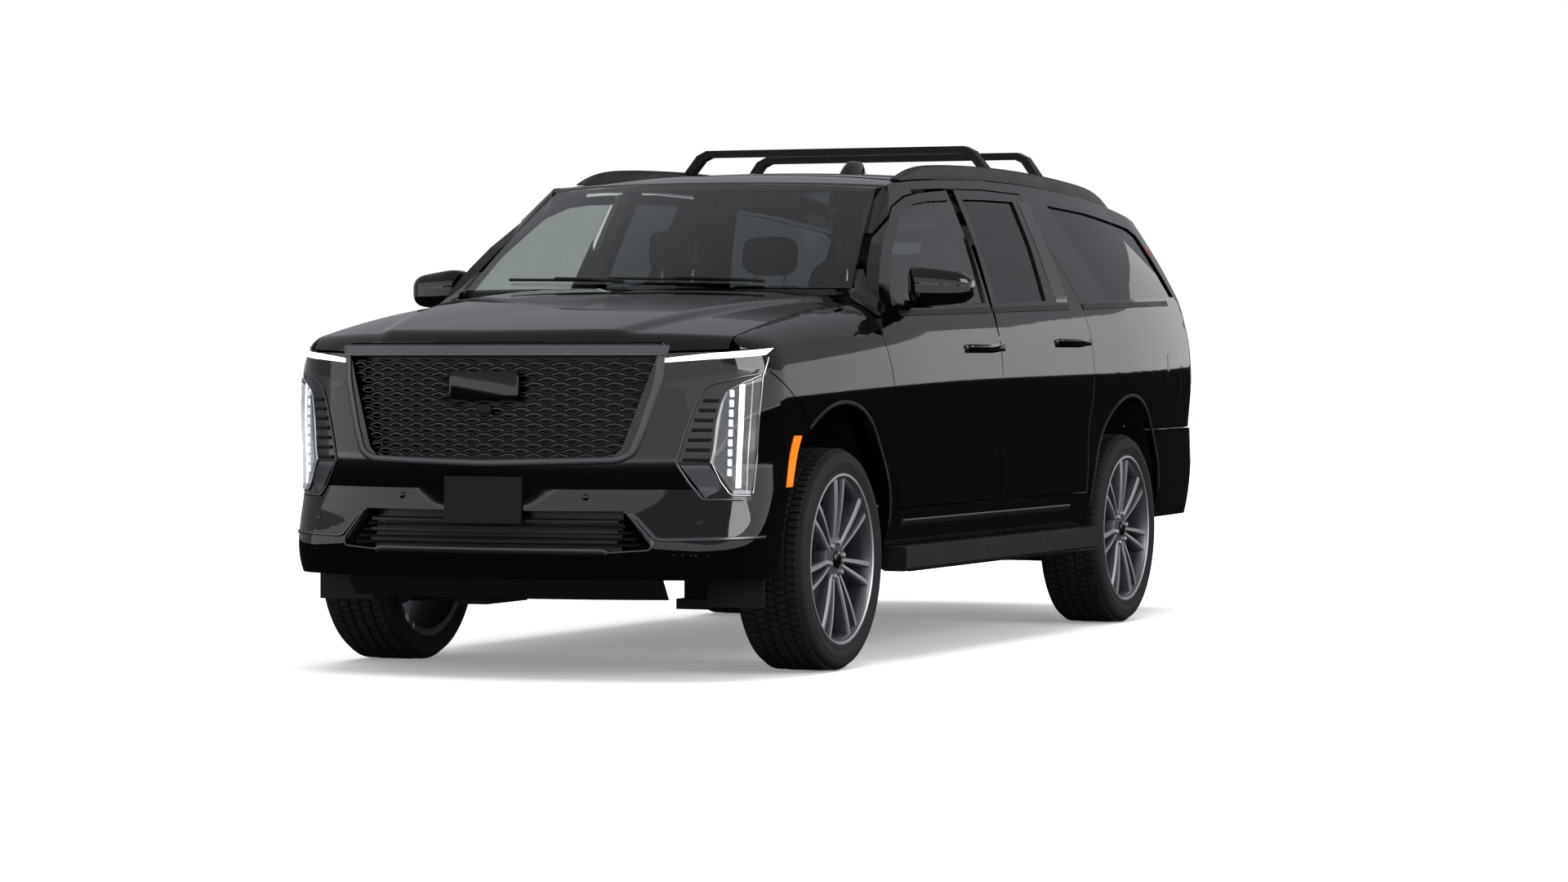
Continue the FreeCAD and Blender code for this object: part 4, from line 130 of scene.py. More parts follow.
@dataclass(frozen=True)
class Finish:
    """Surface finish of one real material, with the grain that its making leaves."""

    name: str
    colour: str
    roughness: float
    metallic: float = 0.0
    ior: float = 1.5
    coat: float = 0.0
    coat_roughness: float = 0.03
    grain_mm: float = 3.0
    grain_depth_mm: float = 0.0
    mottling: float = 0.06
    mottle_mm: float = 180.0

    def material(self) -> Material:
        """Makes the material, or returns it where it is made already."""
        made = bpy.data.materials.get(self.name)
        if made:
            return made
        made = bpy.data.materials.new(self.name)
        made.use_nodes = True
        tree = made.node_tree
        shader = tree.nodes["Principled BSDF"]
        shader.inputs["Metallic"].default_value = self.metallic
        if not self.metallic:
            shader.inputs["IOR"].default_value = self.ior
        shader.inputs["Coat Weight"].default_value = self.coat
        shader.inputs["Coat Roughness"].default_value = self.coat_roughness
        place = add_node(tree, "ShaderNodeTexCoord").outputs["Object"]
        self.dress(tree, shader, place)
        return made

    def dress(self, tree: Tree, shader: Node, place: Socket) -> None:
        """Adds colour, roughness and grain to the shader.

        Args:
            tree: Tree of the material.
            shader: Principled shader of the material.
            place: Object coordinates.
        """
        cloud = self.tint(tree, shader, place, 1 - self.mottling, 4.0)
        wear = add_node(tree, "ShaderNodeMapRange", {"Value": cloud, "To Min": self.roughness * 0.85,
                                                     "To Max": min(1.0, self.roughness * 1.15)})
        tree.links.new(wear.outputs["Result"], shader.inputs["Roughness"])
        if self.grain_depth_mm:
            grain = add_node(tree, "ShaderNodeTexNoise",
                             {"Vector": place, "Scale": 1000 / self.grain_mm, "Detail": 2.0})
            self.bump(tree, shader, grain.outputs["Fac"])

    def tint(self, tree: Tree, shader: Node, place: Socket, darkest: float, detail: float) -> Socket:
        """Clouds the base colour.

        Args:
            tree: Tree of the material.
            shader: Principled shader of the material.
            place: Object coordinates.
            darkest: Share of the colour that its darkest spots have.
            detail: Number of octaves of the cloud.

        Returns:
            Strength of the cloud.
        """
        cloud = add_node(tree, "ShaderNodeTexNoise", {"Vector": place, "Scale": 1000 / self.mottle_mm,
                                                      "Detail": detail}).outputs["Fac"]
        dark, light = ((*(min(1.0, c * share) for c in linear(self.colour)[:3]), 1.0)
                       for share in (darkest, 1 + self.mottling))
        mixed = add_node(tree, "ShaderNodeMix", {"Factor": cloud, 6: dark, 7: light}, data_type="RGBA")
        tree.links.new(mixed.outputs[2], shader.inputs["Base Color"])
        return cloud

    def bump(self, tree: Tree, shader: Node, height: Socket) -> None:
        """Gives the surface a grain from a height."""
        raised = add_node(tree, "ShaderNodeBump",
                          {"Height": height, "Strength": 0.6, "Distance": self.grain_depth_mm * MM})
        tree.links.new(raised.outputs["Normal"], shader.inputs["Normal"])


@dataclass(frozen=True)
class GlassFinish(Finish):
    """Clear or tinted pane that light passes through."""

    def dress(self, tree: Tree, shader: Node, place: Socket) -> None:
        """Makes the shader transparent, with a faint cloud in its tint."""
        shader.inputs["Transmission Weight"].default_value = 1.0
        self.tint(tree, shader, place, 1.0, 3.0)
        shader.inputs["Roughness"].default_value = self.roughness


@dataclass(frozen=True)
class GlowFinish(Finish):
    """Lit lamp surface behind its lens."""

    strength: float = 1.0

    def dress(self, tree: Tree, shader: Node, place: Socket) -> None:
        """Adds the light of the lamp to the common dressing."""
        Finish.dress(self, tree, shader, place)
        shader.inputs["Emission Color"].default_value = linear(self.colour)
        shader.inputs["Emission Strength"].default_value = self.strength


@dataclass(frozen=True)
class HideFinish(Finish):
    """Leather with pores and creases between them."""

    def dress(self, tree: Tree, shader: Node, place: Socket) -> None:
        """Lays a cell pattern of pores over the common dressing."""
        Finish.dress(self, tree, shader, place)
        cells = add_node(tree, "ShaderNodeTexVoronoi", {"Vector": place, "Scale": 1000 / self.grain_mm})
        self.bump(tree, shader, cells.outputs["Distance"])


# Clear-coated black enamel: deep black under a hard, mirror-like lacquer.
PAINT = Finish("clear_coated_black_enamel", "#040405", 0.045, coat=0.3, coat_roughness=0.02,
               mottling=0.15, mottle_mm=260.0)
# Injection-moulded ABS polished in the mould: black with a soft mirror.
GLOSS_TRIM = Finish("polished_black_abs", "#060607", 0.12, ior=1.53, coat=0.5, mottling=0.1)
# Grained polypropylene: a dull black skin with a fine leather-like grain.
GRAINED = Finish("grained_black_polypropylene", "#0b0b0c", 0.52, grain_mm=2.4, grain_depth_mm=0.25, mottling=0.12)
# Extruded EPDM rubber of the seals: nearly matt and very dark.
SEAL = Finish("extruded_epdm_rubber", "#0b0b0c", 0.72, grain_depth_mm=0.1, mottling=0.12)
# Vulcanised tyre rubber: carbon black with a faint bloom.
TYRE = Finish("vulcanised_tyre_rubber", "#131415", 0.74, grain_mm=5.0, grain_depth_mm=0.35, mottling=0.2,
              mottle_mm=90.0)
# Cast aluminium under a dark metallic paint.
DARK_ALLOY = Finish("dark_painted_cast_aluminium", "#6a6c73", 0.5, metallic=0.9, coat=0.5, mottling=0.08)
# Cast aluminium turned bright on a lathe, under clear lacquer.
BRIGHT_ALLOY = Finish("turned_aluminium_under_lacquer", "#d6d8dc", 0.5, metallic=1.0, coat=0.3, mottling=0.05)
# Anodised aluminium extrusion in black.
ANODISED = Finish("black_anodised_aluminium", "#1a1b1d", 0.42, metallic=0.6, grain_mm=4.0, mottling=0.08)
# Stamped steel under thick chassis paint.
CHASSIS = Finish("black_chassis_enamel", "#131415", 0.55, grain_mm=8.0, grain_depth_mm=0.4, mottling=0.2)
# Grey cast iron of the brake discs and calipers, ground on its working faces.
IRON = Finish("ground_grey_cast_iron", "#6d6e70", 0.38, metallic=1.0, mottling=0.15, mottle_mm=60.0)
# Aluminised steel of the exhaust, dulled by heat.
STEEL = Finish("aluminised_exhaust_steel", "#7b7873", 0.45, metallic=1.0, grain_mm=6.0, grain_depth_mm=0.2,
               mottling=0.25, mottle_mm=70.0)
# Laminated safety glass with a light green-grey tint.
CLEAR_GLASS = GlassFinish("laminated_safety_glass", "#c3c9c8", 0.0, mottling=0.02)
# Deep-tinted tempered glass behind the middle pillar.
DARK_GLASS = GlassFinish("deep_tinted_tempered_glass", "#4b5054", 0.0, mottling=0.05)
# Clear polycarbonate of the lamp lenses.
LENS = GlassFinish("clear_polycarbonate", "#f4f6f8", 0.0, ior=1.58, mottling=0.01)
# Red polycarbonate of the tail lamps.
RED_LENS = Finish("red_polycarbonate", "#5a0508", 0.08, ior=1.58, coat=0.8, mottling=0.1)
# White light guide behind the lens, lit.
GLOW = GlowFinish("lit_acrylic_light_guide", "#f7fbff", 0.3, ior=1.49, mottling=0.0, strength=1.6)
# Diode cells behind the headlamp lens, lit more softly than the guides.
CELL_GLOW = GlowFinish("lit_diode_reflector", "#e6eefc", 0.2, ior=1.49, mottling=0.02, strength=0.75)
# Amber polycarbonate of the side marker, faintly lit.
AMBER = GlowFinish("amber_polycarbonate", "#ff7a10", 0.2, ior=1.58, coat=0.6, mottling=0.04, strength=0.35)
# Red light guide behind the tail lens, lit.
RED_GLOW = GlowFinish("lit_red_light_guide", "#c2121a", 0.25, ior=1.49, coat=0.8, mottling=0.05, strength=0.5)
# Vacuum-metallised reflector of the lamps: silver and smooth.
LAMP_SILVER = Finish("metallised_reflector", "#c6cad0", 0.16, metallic=1.0, mottling=0.06, mottle_mm=40.0)
# Satin black chrome of the trims: a grey metal sheen.
SATIN = Finish("satin_black_chrome", "#6a6c70", 0.3, metallic=1.0, mottling=0.06)
# Bright chrome plating of thin trims.
CHROME = Finish("bright_chrome_plating", "#c9ccd0", 0.1, metallic=1.0, mottling=0.04)
# Silvered glass of the mirrors.
MIRROR = Finish("silvered_mirror_glass", "#dfe3e6", 0.02, metallic=1.0, mottling=0.02)
# Moulded black plastic of the grille mesh, with a dull gloss.
MESH_BLACK = Finish("moulded_black_mesh_abs", "#0a0a0b", 0.34, mottling=0.1)
# Pigmented black leather of the seats.
LEATHER = HideFinish("pigmented_black_leather", "#1b1c1e", 0.5, grain_mm=6.0, grain_depth_mm=0.5, mottling=0.1)


def spline_of(rows: Sequence[tuple[float, float]]) -> Callable[[Array], Array]:
    """Smooth curve through points, with natural ends.

    Args:
        rows: Pairs of place and value, in rising order of place.

    Returns:
        Function that gives the value at places.
    """
    at, value = np.array(rows, float).T
    count = len(at)
    step = np.diff(at)
    system = np.eye(count)
    right = np.zeros(count)
    for i in range(1, count - 1):
        system[i, i - 1:i + 2] = (step[i - 1], 2 * (step[i - 1] + step[i]), step[i])
        right[i] = 6 * ((value[i + 1] - value[i]) / step[i] - (value[i] - value[i - 1]) / step[i - 1])
    bend = np.linalg.solve(system, right)

    def curve(where: Array) -> Array:
        """Value of the curve at places, run on straight past its ends."""
        where = np.asarray(where, float)
        i = np.clip(np.searchsorted(at, where) - 1, 0, count - 2)
        low, high = at[i], at[i + 1]
        span = high - low
        inside = np.clip(where, at[0], at[-1])
        a, b = (high - inside) / span, (inside - low) / span
        bent = (a ** 3 - a) * bend[i] + (b ** 3 - b) * bend[i + 1]
        turned = (3 * b ** 2 - 1) * bend[i + 1] - (3 * a ** 2 - 1) * bend[i]
        level = a * value[i] + b * value[i + 1] + bent * span ** 2 / 6
        slope = (value[i + 1] - value[i]) / span + turned * span / 6
        return level + slope * (where - inside)

    return curve


def joint_place(name: str) -> Vector:
    """Point on a joint's axis, in millimetres."""
    found = next(joint for joint in frame["joints"] if joint["name"] == name)
    return Vector(found["pos_m"]) / MM


@dataclass
class BodyForm:
    """Outer skin of the body as formulas, in millimetres: front faces -Y, left side is +X."""

    nose_y: float = -2883.0
    tail_end_y: float = 2883.0
    half_width: float = 1029.5
    door_front_y: float = -1435.0
    split_y: float = -150.0
    door_rear_y: float = 1008.0
    cowl_y: float = -1630.0
    glass_run: float = 698.0
    cowl_height: float = 1447.0
    header_height: float = 1880.0
    sill_height: float = 452.0
    chin_height: float = 372.0
    line_height: float = 700.0
    shoulder_height: float = 1301.0
    belt_height: float = 1393.0
    gutter_height: float = 1925.0
    gutter_inset: float = 284.0
    roof_crown: float = 40.0
    bumper_top: float = 850.0
    tail_inset: float = 95.0
    tail_bow: float = 0.0001
    gate_blend: float = 90.0
    glass_base_half: float = 831.0
    glass_top_half: float = 706.0
    glass_bulge: float = 14.0
    glass_base_bow: float = 0.000388
    glass_top_bow: float = 0.000329
    nose_height: float = 1196.0
    nose_shoulder: float = 1193.0
    hood_half: float = 850.0
    nose_radius: float = 160.0
    tail_radius: float = 120.0
    bumper_radius: float = 170.0
    hood_relief: float = 10.0
    insets: dict = field(default_factory=dict)

    def __post_init__(self) -> None:
        """Works out the places that follow from the wheels, and the curves of the bands."""
        self.front_axle_y = joint_place("front_left_spin").y
        self.rear_axle_y = joint_place("rear_left_spin").y
        self.axle_z = joint_place("front_left_spin").z
        self.header_y = self.cowl_y + self.glass_run
        self.pane_rear_y = self.tail_end_y - 365
        flank = [(0, 17.5), (0.13, 19.5), (0.27, 18.5), (0.42, 7.5), (0.57, 0), (0.75, 3), (0.88, 12), (1, 29.5)]
        pane = [(share, 66 + (self.gutter_inset - 66) * share - 10 * math.sin(math.pi * share))
                for share in (0, 0.25, 0.5, 0.75, 1)]
        self.radii = {End.FRONT: self.nose_radius, End.TAIL: self.tail_radius, End.BUMPER: self.bumper_radius}
        low, high = self.line_height - self.chin_height, self.nose_shoulder - self.line_height
        rows = {Band.SILL: [self.chin_height + low * share for share in (0, 0.35, 0.7, 1)],
                Band.FLANK: [self.line_height + high * share for share, _ in flank]}
        self.leans = {band: spline_of([(z, self.lean_at(z)) for z in rows[band]]) for band in rows}
        self.bows = {band: spline_of([(z, self.bow_at(z)) for z in rows[band]]) for band in rows}
        self.insets = {
            Band.SILL: spline_of([(0, 47), (0.35, 32), (0.7, 21.8), (1, 17.5)]),
            Band.FLANK: spline_of(flank),
            Band.SHOULDER: spline_of([(0, 29.5), (0.5, 45), (1, 66)]),
            Band.PANE: spline_of(pane),
        }

    def shoulder_z(self, y: Array) -> Array:
        """Height of the shoulder crease."""
        along = (y - self.split_y) / 1000
        return self.shoulder_height + 18 * along - np.where(along < 0, 9.5, 2.5) * along ** 2

    def belt_z(self, y: Array) -> Array:
        """Height of the belt line under the side windows."""
        return self.belt_height + 0.0225 * y

    def gutter_z(self, y: Array) -> Array:
        """Height of the roof edge."""
        return self.gutter_height - 27.5 * ((y - self.split_y - 750) / 1000) ** 2

    def bottom_z(self, y: Array) -> Array:
        """Lower edge of the body side."""
        share = np.clip((self.front_axle_y - y + 370) / 800, 0, 1)
        return self.sill_height + (self.chin_height - self.sill_height) * share ** 2 * (3 - 2 * share)

    def side_taper(self, y: Array) -> Array:
        """How far the side moves in towards the nose and the tail."""
        ahead = np.clip(self.door_front_y + 453 - y, 0, None) / 1500
        behind = np.clip(y - self.door_rear_y - 410, 0, None) / 1100
        return 50 * (ahead ** 2 + behind ** 2)

    def limits(self, band: Band, y: Array) -> tuple[Array, Array]:
        """Lower and upper edge of a band."""
        line = np.full_like(y, self.line_height)
        return {
            Band.SILL: (self.bottom_z(y), line),
            Band.FLANK: (line, self.shoulder_z(y)),
            Band.SHOULDER: (self.shoulder_z(y), self.belt_z(y)),
            Band.PANE: (self.belt_z(y), self.gutter_z(y)),
        }[band]

    def side_x(self, band: Band, y: Array, z: Array) -> Array:
        """Half width of the body at a place and a height."""
        low, high = self.limits(band, y)
        return self.half_width - self.insets[band]((z - low) / (high - low)) - self.side_taper(y)

    def bow_at(self, z: float) -> float:
        """How strongly the front is bowed in plan at a row."""
        return 0.00036 if z > 650 else 0.00027 + 0.00009 * (max(0.0, z - 450) / 200) ** 2

    def lean_at(self, z: float) -> float:
        """How far the front lies behind the nose at a row."""
        return 20 * (max(0.0, z - 800) / 400) ** 1.5 + 22 * (max(0.0, 460 - z) / 90) ** 2

    def front_y(self, x: Array, z: Array) -> Array:
        """Outer face of the front."""
        low = z < self.line_height
        lean = np.where(low, self.leans[Band.SILL](z), self.leans[Band.FLANK](z))
        bow = np.where(low, self.bows[Band.SILL](z), self.bows[Band.FLANK](z))
        return self.nose_y + lean + bow * x ** 2

    def tail_y(self, x: Array, z: Array) -> Array:
        """Outer face of the tailgate and its glass."""
        knee = self.belt_height + 55
        rise = np.clip(z - knee, 0, None)
        lean = 0.44 * rise - 0.10 * self.gate_blend * (1 - np.exp(-rise / self.gate_blend))
        low = 0.06 * (np.minimum(z, knee) - self.bumper_top)
        return self.tail_end_y - self.tail_inset - self.tail_bow * x ** 2 - low - lean

    def bumper_y(self, x: Array, z: Array) -> Array:
        """Outer face of the rear bumper."""
        middle = (self.sill_height + self.bumper_top) / 2
        return self.tail_end_y - 22 * ((z - middle) / 210) ** 4 - self.tail_bow * x ** 2

    def band_at(self, places: Array) -> Array:
        """Number of the band at each place."""
        y, z = places[:, 1], places[:, 2]
        edges = [self.limits(band, y)[0] for band in (Band.FLANK, Band.SHOULDER, Band.PANE)]
        return sum((z > edge).astype(int) for edge in edges)

    def depth(self, end: End, band: Band, places: Array) -> Array:
        """How far places lie outside the skin, near it, as a value that is zero on the skin.

        Args:
            end: End that the panel wraps round.
            band: Band of all the places.
            places: Rows of x, y and z with x towards the left.

        Returns:
            One value for each place.
        """
        x, y, z = np.abs(places[:, 0]), places[:, 1], places[:, 2]
        radius = self.radii[end]
        from_side = (self.side_x(band, y, z) - x) / radius
        if end is End.FRONT:
            from_end = (y - self.front_y(x, z)) / radius
        else:
            face = self.tail_y if end is End.TAIL else self.bumper_y
            from_end = (face(x, z) - y) / radius
        side_part = np.maximum(1 - from_side, 0)
        end_part = np.maximum(1 - from_end, 0)
        return side_part ** 2.5 + end_part ** 2.5 - 1

    def outward(self, end: End, band: Band, places: Array) -> tuple[Array, Array]:
        """Outward direction of the skin at places, and the distance from it in millimetres."""
        slope = np.zeros_like(places)
        for axis in range(3):
            step = np.zeros(3)
            step[axis] = 0.5
            slope[:, axis] = self.depth(end, band, places + step) - self.depth(end, band, places - step)
        length = np.linalg.norm(slope, axis=1)
        length[length == 0] = 1
        return slope / length[:, None], self.depth(end, band, places) / length

    def side_any(self, y: Array, z: Array) -> Array:
        """Half width of the body, with the band picked place by place."""
        bands = self.band_at(np.stack([y, y, z], -1))
        x = np.zeros_like(y)
        for band in Band:
            picked = bands == band.value
            x[picked] = self.side_x(band, y[picked], z[picked])
        return x

    def outward_any(self, end: End, places: Array) -> tuple[Array, Array]:
        """Outward direction and distance of the skin, with the band picked place by place."""
        bands = self.band_at(places)
        direction, distance = np.zeros_like(places), np.zeros(len(places))
        for band in Band:
            picked = bands == band.value
            if picked.any():
                direction[picked], distance[picked] = self.outward(end, band, places[picked])
        return direction, distance

    def hood_ridge(self, y: Array) -> Array:
        """Half width of the raised middle of the hood."""
        return np.minimum(450 + 300 * (y - self.nose_y) / (self.cowl_y - self.nose_y), self.hood_half - 80)

    def hood_rear(self, x: Array) -> Array:
        """Rear edge of the hood in plan, with its corners ahead of the pillars."""
        return np.minimum(self.cowl_y - 10 + self.glass_base_bow * x ** 2, self.door_front_y + 35 - self.hood_relief)

    def hood_front(self, x: Array) -> Array:
        """Foremost edge of the hood in plan."""
        return self.front_y(x, np.full_like(x, self.nose_height)) + 12

    def hood_z(self, x: Array, y: Array) -> Array:
        """Height of the hood."""
        back = (self.cowl_y - y) / 1000
        share = np.clip((self.hood_ridge(y) + 35 - np.abs(x)) / 70, 0, 1)
        raised = 14 * share ** 2 * (3 - 2 * share)
        z = (self.cowl_height - 85 * back - 52 * back ** 2 - 58 * (np.abs(x) / self.hood_half) ** 2.6 - 14 + raised)
        behind = np.clip((y - self.hood_front(x)) / 60, 0, 1)
        return z - (z - self.nose_height) * (1 - np.sqrt(np.clip(1 - (1 - behind) ** 2, 0, 1)))

    def roof_z(self, x: Array, y: Array) -> Array:
        """Height of the roof."""
        ahead = np.clip(self.header_y + 432 - y, 0, None)
        edge = self.half_width - self.gutter_inset
        return self.gutter_z(y) + self.roof_crown * (1 - (x / edge) ** 2) - 0.0001 * ahead ** 2

    def glass_point(self, side: Array, share: Array) -> Array:
        """Points of the windshield, from -1 to 1 across and from base to top."""
        base_x, top_x = self.glass_base_half * side, self.glass_top_half * side
        base = np.stack([base_x, self.cowl_y + 12 + self.glass_base_bow * base_x ** 2,
                         np.full_like(side, self.cowl_height)], -1)
        top = np.stack([top_x, self.header_y + self.glass_top_bow * top_x ** 2,
                        self.header_height - 0.000044 * top_x ** 2], -1)
        bulge = self.glass_bulge * np.sin(np.pi * share)[..., None] * GLASS_OUT
        return base + (top - base) * share[..., None] + bulge


def face_outwards(mesh: Mesh) -> Mesh:
    """Closed mesh with its faces turned outwards."""
    turned = bmesh.new()
    turned.from_mesh(mesh)
    bmesh.ops.recalc_face_normals(turned, faces=turned.faces)
    turned.to_mesh(mesh)
    turned.free()
    return mesh


def new_piece(name: str, verts: Array, faces: Iterable[Sequence[int]], finish: Finish,
              sharp_degrees: float = 32.0) -> Piece:
    """Mesh object at the origin from places in millimetres.

    Args:
        name: Name of the piece.
        verts: Rows of x, y and z in millimetres.
        faces: Corner numbers of each face.
        finish: Finish of the whole piece.
        sharp_degrees: Edges that bend more than this stay sharp.

    Returns:
        The new object.
    """
    mesh = bpy.data.meshes.new(name)
    mesh.from_pydata((np.asarray(verts, float) * MM).tolist(), [], [list(face) for face in faces])
    return finish_piece(name, face_outwards(mesh), finish, sharp_degrees)


def finish_piece(name: str, mesh: Mesh, finish: Finish, sharp_degrees: float = 32.0) -> Piece:
    """Object of a mesh with a finish, smooth except over sharp edges."""
    mesh.materials.clear()
    mesh.materials.append(finish.material())
    mesh.shade_smooth()
    mesh.set_sharp_from_angle(angle=math.radians(sharp_degrees))
    piece = bpy.data.objects.new(name, mesh)
    bpy.context.scene.collection.objects.link(piece)
    return piece


def grid_faces(rows: int, columns: int, start: int = 0) -> list[tuple[int, int, int, int]]:
    """Faces of a grid whose points are numbered row by row."""
    return [(start + r * columns + c, start + r * columns + c + 1, start + (r + 1) * columns + c + 1,
             start + (r + 1) * columns + c) for r in range(rows - 1) for c in range(columns - 1)]


def slab_faces(rows: int, columns: int) -> list[tuple[int, ...]]:
    """Faces of a closed slab between two grids of the same size, the top one first."""
    size = rows * columns
    faces = grid_faces(rows, columns)
    faces += [tuple(reversed(face)) for face in grid_faces(rows, columns, size)]
    rim = (list(range(columns)) + [r * columns + columns - 1 for r in range(1, rows)]
           + [(rows - 1) * columns + c for c in range(columns - 2, -1, -1)]
           + [r * columns for r in range(rows - 2, 0, -1)])
    for here, after in zip(rim, rim[1:] + rim[:1]):
        faces.append((after, here, here + size, after + size))
    return faces


def slab(name: str, top: Array, under: Array, finish: Finish, sharp_degrees: float = 32.0) -> Piece:
    """Closed slab between two grids of places in millimetres."""
    verts = np.concatenate([top.reshape(-1, 3), under.reshape(-1, 3)])
    return new_piece(name, verts, slab_faces(*top.shape[:2]), finish, sharp_degrees)


def settle(piece: Piece, slot: str, *nodes: str, body: str = "vehicle") -> Piece:
    """Makes a piece ride on its body and hides the nodes that it stands for."""
    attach(piece, body)
    if nodes:
        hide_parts(*nodes)
    LOG.info("%s: %d faces", piece.name, len(piece.data.polygons))
    return piece


def body_named(node: str) -> str:
    """Body that a node rides on."""
    bodies = frame["record"]["behaviour"]["bodies"]
    return next(body for body, nodes in bodies.items() if node in nodes)


def even_path(points: Sequence[Point], step: float, closed: bool = False, round_mm: float = 0.0) -> Array:
    """Path resampled at even steps, with its corners rounded.

    Args:
        points: Corners of the path.
        step: Distance between samples, in millimetres.
        closed: True where the last corner joins the first.
        round_mm: How far from each corner its rounding starts.

    Returns:
        Rows of places along the path.
    """
    corners = np.asarray(points, float)
    if round_mm:
        rounded = []
        count = len(corners)
        for i, corner in enumerate(corners):
            if not closed and i in (0, count - 1):
                rounded.append(corner)
                continue
            before, after = corners[i - 1], corners[(i + 1) % count]
            back, ahead = before - corner, after - corner
            reach = min(round_mm, np.linalg.norm(back) * 0.45, np.linalg.norm(ahead) * 0.45)
            first = corner + back / np.linalg.norm(back) * reach
            last = corner + ahead / np.linalg.norm(ahead) * reach
            for t in np.linspace(0, 1, 7):
                rounded.append(first * (1 - t) ** 2 + corner * 2 * t * (1 - t) + last * t ** 2)
        corners = np.array(rounded)
    if closed:
        corners = np.concatenate([corners, corners[:1]])
    lengths = np.concatenate([[0], np.cumsum(np.linalg.norm(np.diff(corners, axis=0), axis=1))])
    count = max(2, int(round(lengths[-1] / step)) + 1)
    places = np.linspace(0, lengths[-1], count)
    path = np.stack([np.interp(places, lengths, corners[:, k]) for k in range(corners.shape[1])], -1)
    return path[:-1] if closed else path


def loft_faces(rings: int, corners: int, closed: bool = False) -> list[tuple[int, ...]]:
    """Faces of a tube whose rings follow one another, with flat ends where it is open."""
    faces = []
    for ring in range(rings if closed else rings - 1):
        after = (ring + 1) % rings
        for corner in range(corners):
            follow = (corner + 1) % corners
            faces.append((ring * corners + corner, ring * corners + follow, after * corners + follow,
                          after * corners + corner))
    if not closed:
        faces.append(tuple(range(corners - 1, -1, -1)))
        faces.append(tuple((rings - 1) * corners + corner for corner in range(corners)))
    return faces


def loft(name: str, rings: Array, finish: Finish, closed: bool = False, sharp_degrees: float = 38.0) -> Piece:
    """Closed piece over rings of places in millimetres, of shape rings by corners by 3."""
    faces = loft_faces(*rings.shape[:2], closed)
    return new_piece(name, rings.reshape(-1, 3), faces, finish, sharp_degrees)


def joined(name: str, pieces: Sequence[Piece], finish: Finish) -> Piece:
    """One piece of several that share a finish and a body."""
    whole = bmesh.new()
    for piece in pieces:
        whole.from_mesh(piece.data)
        bpy.data.objects.remove(piece)
    mesh = bpy.data.meshes.new(name)
    whole.to_mesh(mesh)
    whole.free()
    return finish_piece(name, mesh, finish, 38)


